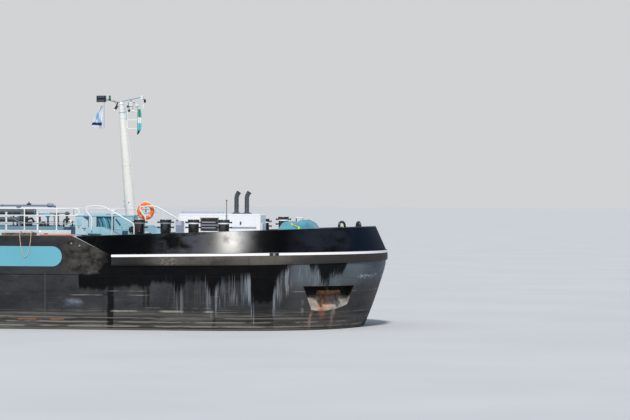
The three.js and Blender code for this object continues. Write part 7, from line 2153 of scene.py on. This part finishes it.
b = Build("wheelhouse_roof_plate")
b.prism([(wx0 - 0.2, -wy - 0.15), (wx1 - 0.8, -wy - 0.15), (wx1 + 0.25, -wy + 0.7), (wx1 + 0.25, wy - 0.7), (wx1 - 0.8, wy + 0.15), (wx0 - 0.2, wy + 0.15)], "xy", CAB_TOP + GAP, CAB_TOP + 0.13, "white")
b.prism([(wx0 - 0.12, -wy - 0.05), (wx1 - 0.85, -wy - 0.05), (wx1 + 0.15, -wy + 0.75), (wx1 + 0.15, wy - 0.75), (wx1 - 0.85, wy + 0.05), (wx0 - 0.12, wy + 0.05)], "xy", CAB_TOP + 0.129, CAB_TOP + 0.16, "pale_blue")
b.turned([(0, 0), (0.16, 0), (0.13, 0.05), (0.12, 0.34), (0.10, 0.36), (0, 0.36)], (-39.6, 0, CAB_TOP + 0.158), "white", 28)
b.tube([(-41.9, 0, CAB_TOP + 0.1), (-41.9, 0, CAB_TOP + 1.7)], 0.06, "white", 20, r2=0.04)
b.tube([(-41.9, -0.8, CAB_TOP + 1.2), (-41.9, 0.8, CAB_TOP + 1.2)], 0.028, "white", 12)
for y, m in ((-0.75, "green_lens"), (0.75, "red_lens"), (0.0, "clear_lens")):
    zb = CAB_TOP + (1.22 if y else 1.52)
    xo = -41.9 if y else -41.83
    b.turned([(0, 0), (0.05, 0), (0.05, 0.03), (0.042, 0.03), (0.042, 0.11), (0.05, 0.11), (0.05, 0.14), (0, 0.14)], (xo, y, zb), m, 18)
for x in (-41.9, -41.4):
    b.tube([(x, -1.4, CAB_TOP + 0.15), (x, -1.4, CAB_TOP + 1.3)], 0.014, "white", 8, r2=0.006)
b.tube([(-39.0, 1.2, CAB_TOP + 0.28), (-38.62, 1.2, CAB_TOP + 0.28)], 0.10, "white", 20, r2=0.13)
b.tube([(-39.0, -1.2, CAB_TOP + 0.28), (-38.62, -1.2, CAB_TOP + 0.28)], 0.10, "white", 20, r2=0.13)
for y in (-1.2, 1.2):
    b.tube([(-38.62, y, CAB_TOP + 0.28), (-38.60, y, CAB_TOP + 0.28)], 0.125, "clear_lens", 20)
    b.box(-38.88, -38.80, y - 0.03, y + 0.03, CAB_TOP + 0.155, CAB_TOP + 0.22, "galv")
b.box(-40.9, -40.1, -0.9, 0.9, CAB_TOP + 0.16, CAB_TOP + 0.24, "white")
b.done("wheelhouse", ("wheelhouse_roof",), bevel=0.012, angle=40)

b = Build("radar_scanner_bar")
rz = CAB_TOP
b.turned([(0, 0.524), (0.09, 0.524), (0.09, 0.60), (0.07, 0.64), (0, 0.64)], (-39.6, 0, rz), "white", 24)
b.tube([(-39.6, -1.0, rz + 0.70), (-39.6, -0.97, rz + 0.70), (-39.6, 0.97, rz + 0.70), (-39.6, 1.0, rz + 0.70)], 0.078, "white", 20, flat=1.0)
b.tube([(-39.6, -0.985, rz + 0.70), (-39.6, -0.94, rz + 0.70)], 0.0795, "red_paint", 20)
b.tube([(-39.6, 0.94, rz + 0.70), (-39.6, 0.985, rz + 0.70)], 0.0795, "red_paint", 20)
b.done("radar_scanner", ("radar_scanner",), angle=40)

b = Build("wheelhouse_door_leaf")
za, zb = CAB_FLOOR + 0.17, head - 0.05
for xa, xb, z0, z1 in ((wx0 + 0.27, wx0 + 0.38, za, zb), (wx0 + 0.80, wx0 + 0.93, za, zb), (wx0 + 0.375, wx0 + 0.805, za, sill), (wx0 + 0.375, wx0 + 0.805, head - 0.2, zb)):
    b.box(xa, xb, wy - 0.055, wy - 0.005, z0, z1, "white")
window(b, "x", wy - 0.004, 1, wx0 + 0.38, wx0 + 0.80, sill, head - 0.2, "black_matt", 0.04, 0.035)
for z in (5.8, 7.0):
    b.rod((wx0 + 0.22, wy + 0.05, z), (wx0 + 0.22, wy + 0.05, z + 0.12), 0.028, "galv", 16)
    b.box(wx0 + 0.22, wx0 + 0.39, wy - 0.004, wy + 0.024, z + 0.01, z + 0.11, "galv")
    b.box(wx0 + 0.20, wx0 + 0.245, wy + 0.012, wy + 0.05, z + 0.01, z + 0.11, "galv")
b.tube(elbowed([(wx0 + 0.86, wy, 6.34), (wx0 + 0.86, wy + 0.06, 6.34), (wx0 + 0.86, wy + 0.06, 6.18), (wx0 + 0.86, wy, 6.18)], 0.02), 0.012, "galv", 10)
b.done("wheelhouse_door", ("wheelhouse_door",), bevel=0.005, angle=40)

b = Build("lift_column_ram")
b.box(LIFT_X - 0.5, LIFT_X + 0.5, -0.5, 0.5, 0.75, CAB_FLOOR - 0.12, "grey_trim")
b.box(LIFT_X - 1.2, LIFT_X + 1.2, -1.2, 1.2, CAB_FLOOR - 0.13, CAB_FLOOR - GAP, "grey_trim")
for s in (-1, 1):
    for y in (-0.8, 0.8):
        b.box(LIFT_X - 1.15, LIFT_X + 1.15, y - 0.04, y + 0.04, CAB_FLOOR - 0.16, CAB_FLOOR - 0.12, "grey_trim")
b.done("wheelhouse", ("lift_column",), bevel=0.01)

# =============================================================================== stern mast and flag staff
px = -47.6
z = HOUSE_TOP + 0.034
b = Build("stern_mast_foot_plates")
b.box(px - 0.2, px + 0.2, -0.2, 0.2, z, z + 0.03, "white")
for s in (-1, 1):
    b.prism([(px - 0.12, z), (px + 0.12, z), (px + 0.12, 7.34), (px + 0.06, 7.42), (px - 0.06, 7.42), (px - 0.12, 7.34)], "xz", *sorted((s * 0.10, s * 0.145)), "white")
    b.turned([(0, 0), (0.045, 0), (0.045, 0.012 * s), (0, 0.014 * s)], (px, s * 0.144, 7.34), "galv", 18, "y")
b.done("barge", ("stern_mast_foot",), bevel=0.006)
b = Build("stern_mast_pole")
b.tube([(px, 0, 7.24), (px, 0, 9.9)], 0.068, "mast_white", 24, r2=0.045)
b.rod((px, -0.094, 7.34), (px, 0.094, 7.34), 0.03, "galv", 14)
b.tube([(px, -0.9, 9.2), (px, 0.9, 9.2)], 0.024, "mast_white", 12)
for y in (-0.86, 0.86):
    b.ball((px, y, 9.2), 0.035, "mast_white", 14, 8)
b.turned([(0, 0), (0.05, 0), (0.06, 0.02), (0.055, 0.14), (0.03, 0.17), (0, 0.17)], (px, 0, 9.85), "clear_lens", 20)
b.turned([(0, 0), (0.06, 0), (0.06, 0.12), (0, 0.12)], (px + 0.10, 0, 8.6), "clear_lens", 18)
b.box(px + 0.03, px + 0.12, -0.02, 0.02, 8.58, 8.61, "galv")
b.done("stern_mast", ("stern_mast",), angle=40)

# =============================================================================== stern bulwark
half = [p for p in stern_half(-49.8, -HALF_L, HB, 2.7) if p[0] < -48.5]


def stern_inset(pts, d):
    out = []
    for j, (x, y) in enumerate(pts):
        a, c = pts[max(0, j - 1)], pts[min(len(pts) - 1, j + 1)]
        l = math.hypot(c[0] - a[0], c[1] - a[1])
        n = (-1.0, 0.0) if j == len(pts) - 1 else ((c[1] - a[1]) / l, -(c[0] - a[0]) / l)
        out.append((x - n[0] * d, max(0.0, y - n[1] * d)))
    return out


outer, inn = stern_inset(half, 0.03), stern_inset(half, 0.09)
secs = [[(x, y, DEPTH + GAP), (x, y, 5.78), (inn[j][0], inn[j][1], 5.78), (inn[j][0], inn[j][1], DEPTH + GAP)] for j, (x, y) in enumerate(outer)]
secs[-1] = [(x, 0.0, z) for x, y, z in secs[-1]]
full = secs[:-1] + [secs[-1]] + [[(x, -y, z) for x, y, z in r] for r in reversed(secs[:-1])]
b = Build("stern_bulwark_plating")
b.loft(full, "bulwark", ring_mats=lambda i, j: "bulwark" if j in (0, 3) else ("black_gloss" if j == 1 else "inner"))
b.tube([tuple((Vector(r[1]) + Vector(r[2])) / 2 - Vector((0, 0, 0.012))) for r in full], 0.036, "black_gloss", 10)
b.done("barge", ("stern_bulwark",), angle=30)

# =============================================================================== propeller, nozzle, rudders
PRX, PRZ = -50.25, 0.96
b = Build("propeller_nozzle_ring")
prof = [(0.845, -0.42), (0.90, -0.435), (0.965, -0.36), (0.968, -0.20), (0.945, 0.40), (0.90, 0.445), (0.862, 0.44), (0.842, 0.25), (0.84, 0.10), (0.842, -0.2), (0.845, -0.42)]
vs, fs, nseg = [], [], 72
for i in range(nseg):
    a = 2 * math.pi * i / nseg
    for r, h in prof[:-1]:
        vs.append((PRX + h, r * math.cos(a), PRZ + r * math.sin(a)))
m_ = len(prof) - 1
for i in range(nseg):
    for k in range(m_):
        fs.append((i * m_ + k, i * m_ + (k + 1) % m_, ((i + 1) % nseg) * m_ + (k + 1) % m_, ((i + 1) % nseg) * m_ + k))
b.add([(x, y, max(z, 0.006)) for x, y, z in vs], fs, "hull")
b.prism([(PRX - 0.30, 1.90), (PRX + 0.30, 1.90), (PRX + 0.26, 2.016), (PRX - 0.26, 2.016)], "xz", -0.07, 0.07, "hull")
b.done("barge", ("propeller_nozzle",), angle=40)

b = Build("propeller_blades")
b.turned([(0, -0.36), (0.05, -0.35), (0.09, -0.30), (0.125, -0.15), (0.15, 0.05), (0.15, 0.28), (0.12, 0.30), (0, 0.30)], (PRX, 0, PRZ), "bronze", 36, "x")
for k in range(4):
    a0 = k * math.pi / 2 + 0.3

    def blade(u, v, a0=a0):
        # u along the chord, v from root to tip
        r = 0.12 + 0.66 * v
        wdt = 0.26 + 0.34 * math.sin(math.pi * min(1, v * 1.05) ** 0.85) - 0.16 * v * v
        if v > 0.86:
            wdt *= math.sqrt(max(0.05, 1 - ((v - 0.86) / 0.15) ** 2))
        c = (u - 0.5) * wdt + 0.05 * v * v
        tw = math.radians(52 - 26 * v)
        camber = 0.03 * (1 - (2 * u - 1) ** 2)
        x = c * math.sin(tw) + camber * math.cos(tw)
        t = c * math.cos(tw) - camber * math.sin(tw)
        ang = a0 + t / max(0.25, r) * 0.9
        p = (PRX + x, -r * math.sin(ang), PRZ + r * math.cos(ang))
        n = Vector((math.cos(tw), 0, 0)) + Vector((0, -math.cos(ang), -math.sin(ang))) * -math.sin(tw)
        return p, n

    b.grid_shell(blade, 14, 18, 0.022, "bronze")
b.done("propeller", ("propeller",), angle=40)

for name, s in (("rudder_starboard", -1), ("rudder_port", 1)):
    y, x = s * 0.60, -52.25
    b = Build(name + "_blade")
    foil = [(x + 0.45, 0), (x + 0.43, 0.028), (x + 0.36, 0.055), (x + 0.25, 0.072), (x + 0.1, 0.08), (x - 0.15, 0.074), (x - 0.4, 0.06), (x - 0.7, 0.038), (x - 1.0, 0.010)]
    outline = [(u, y + v) for u, v in foil] + [(u, y - v) for u, v in reversed(foil[1:])]
    b.prism(outline, "xy", 0.12, 1.74, "hull", smooth=True)
    b.box(x - 1.0, x + 0.40, y - 0.11, y + 0.11, 1.69, 1.735, "hull")
    b.box(x - 1.0, x + 0.40, y - 0.11, y + 0.11, 0.125, 0.17, "hull")
    b.rod((x, y, 1.7), (x, y, 2.012), 0.07, "steel", 20)
    b.done(name, (name,), bevel=0.006, angle=40)

# =============================================================================== deck gear aft
b = Build("aft_deck_gear")
for s in (-1, 1):
    b.turned([(0, 0), (0.09, 0), (0.06, 0.03), (0.055, 0.46), (0.09, 0.49), (0.10, 0.56), (0, 0.60)], (-51.3, s * 3.4, DEPTH + 0.002), "white", 24)
    b.box(-53.2, -52.2, s * 2.6 - 0.35, s * 2.6 + 0.35, DEPTH + 0.002, 5.30, "light_blue")
    b.box(-53.23, -52.17, s * 2.6 - 0.38, s * 2.6 + 0.38, 5.30, 5.34, "pale_blue")
    for x in (-42.4, -39.0):
        b.box(x - 0.3, x + 0.3, s * 4.9 - 0.22, s * 4.9 + 0.22, DEPTH + 0.002, 5.22, "white")
        b.box(x - 0.32, x + 0.32, s * 4.9 - 0.24, s * 4.9 + 0.24, 5.22, 5.25, "light_blue")
b.turned([(0, 0), (0.35, 0), (0.35, 0.08), (0.22, 0.12), (0.20, 0.40), (0.30, 0.46), (0.30, 0.52), (0.10, 0.56), (0, 0.56)], (-52.6, 0, DEPTH + 0.002), "black_gloss", 36)
b.box(-51.6, -51.0, -0.7, 0.7, DEPTH + 0.002, 5.15, "white")
b.done("barge", bevel=0.01, angle=40)

# =============================================================================== floor, light, colour
me = bpy.data.meshes.new("studio_floor")
F = 1500.0
me.from_pydata([(-F, -F, 0), (F, -F, 0), (F, F, 0), (-F, F, 0)], [], [(0, 1, 2, 3)])
me.materials.append(M["floor"])
floor = bpy.data.objects.new("studio_floor", me)
floor.location = (0, 0, WATERLINE * S)
scene.collection.objects.link(floor)

world = bpy.data.worlds.new("studio")
scene.world = world
world.use_nodes = True
bg = world.node_tree.nodes["Background"]
bg.inputs["Color"].default_value = (0.34, 0.40, 0.50, 1)
bg.inputs["Strength"].default_value = 1.0
wt = world.node_tree
backdrop = wt.nodes.new("ShaderNodeBackground")
backdrop.inputs["Color"].default_value = (0.64, 0.65, 0.66, 1)
path = wt.nodes.new("ShaderNodeLightPath")
pick = wt.nodes.new("ShaderNodeMixShader")
wt.links.new(path.outputs["Is Camera Ray"], pick.inputs[0])
wt.links.new(bg.outputs[0], pick.inputs[1])
wt.links.new(backdrop.outputs[0], pick.inputs[2])
wt.links.new(pick.outputs[0], wt.nodes["World Output"].inputs["Surface"])

sun_data = bpy.data.lights.new("key", "SUN")
sun_data.energy = 3.0
sun_data.angle = math.radians(6)
sun_data.color = (1.0, 0.965, 0.91)
sun = bpy.data.objects.new("key", sun_data)
scene.collection.objects.link(sun)
sun.rotation_euler = Vector((-0.062, 0.671, -0.737)).to_track_quat("-Z", "Y").to_euler()

scene.view_settings.view_transform = "Standard"
scene.view_settings.look = "None"
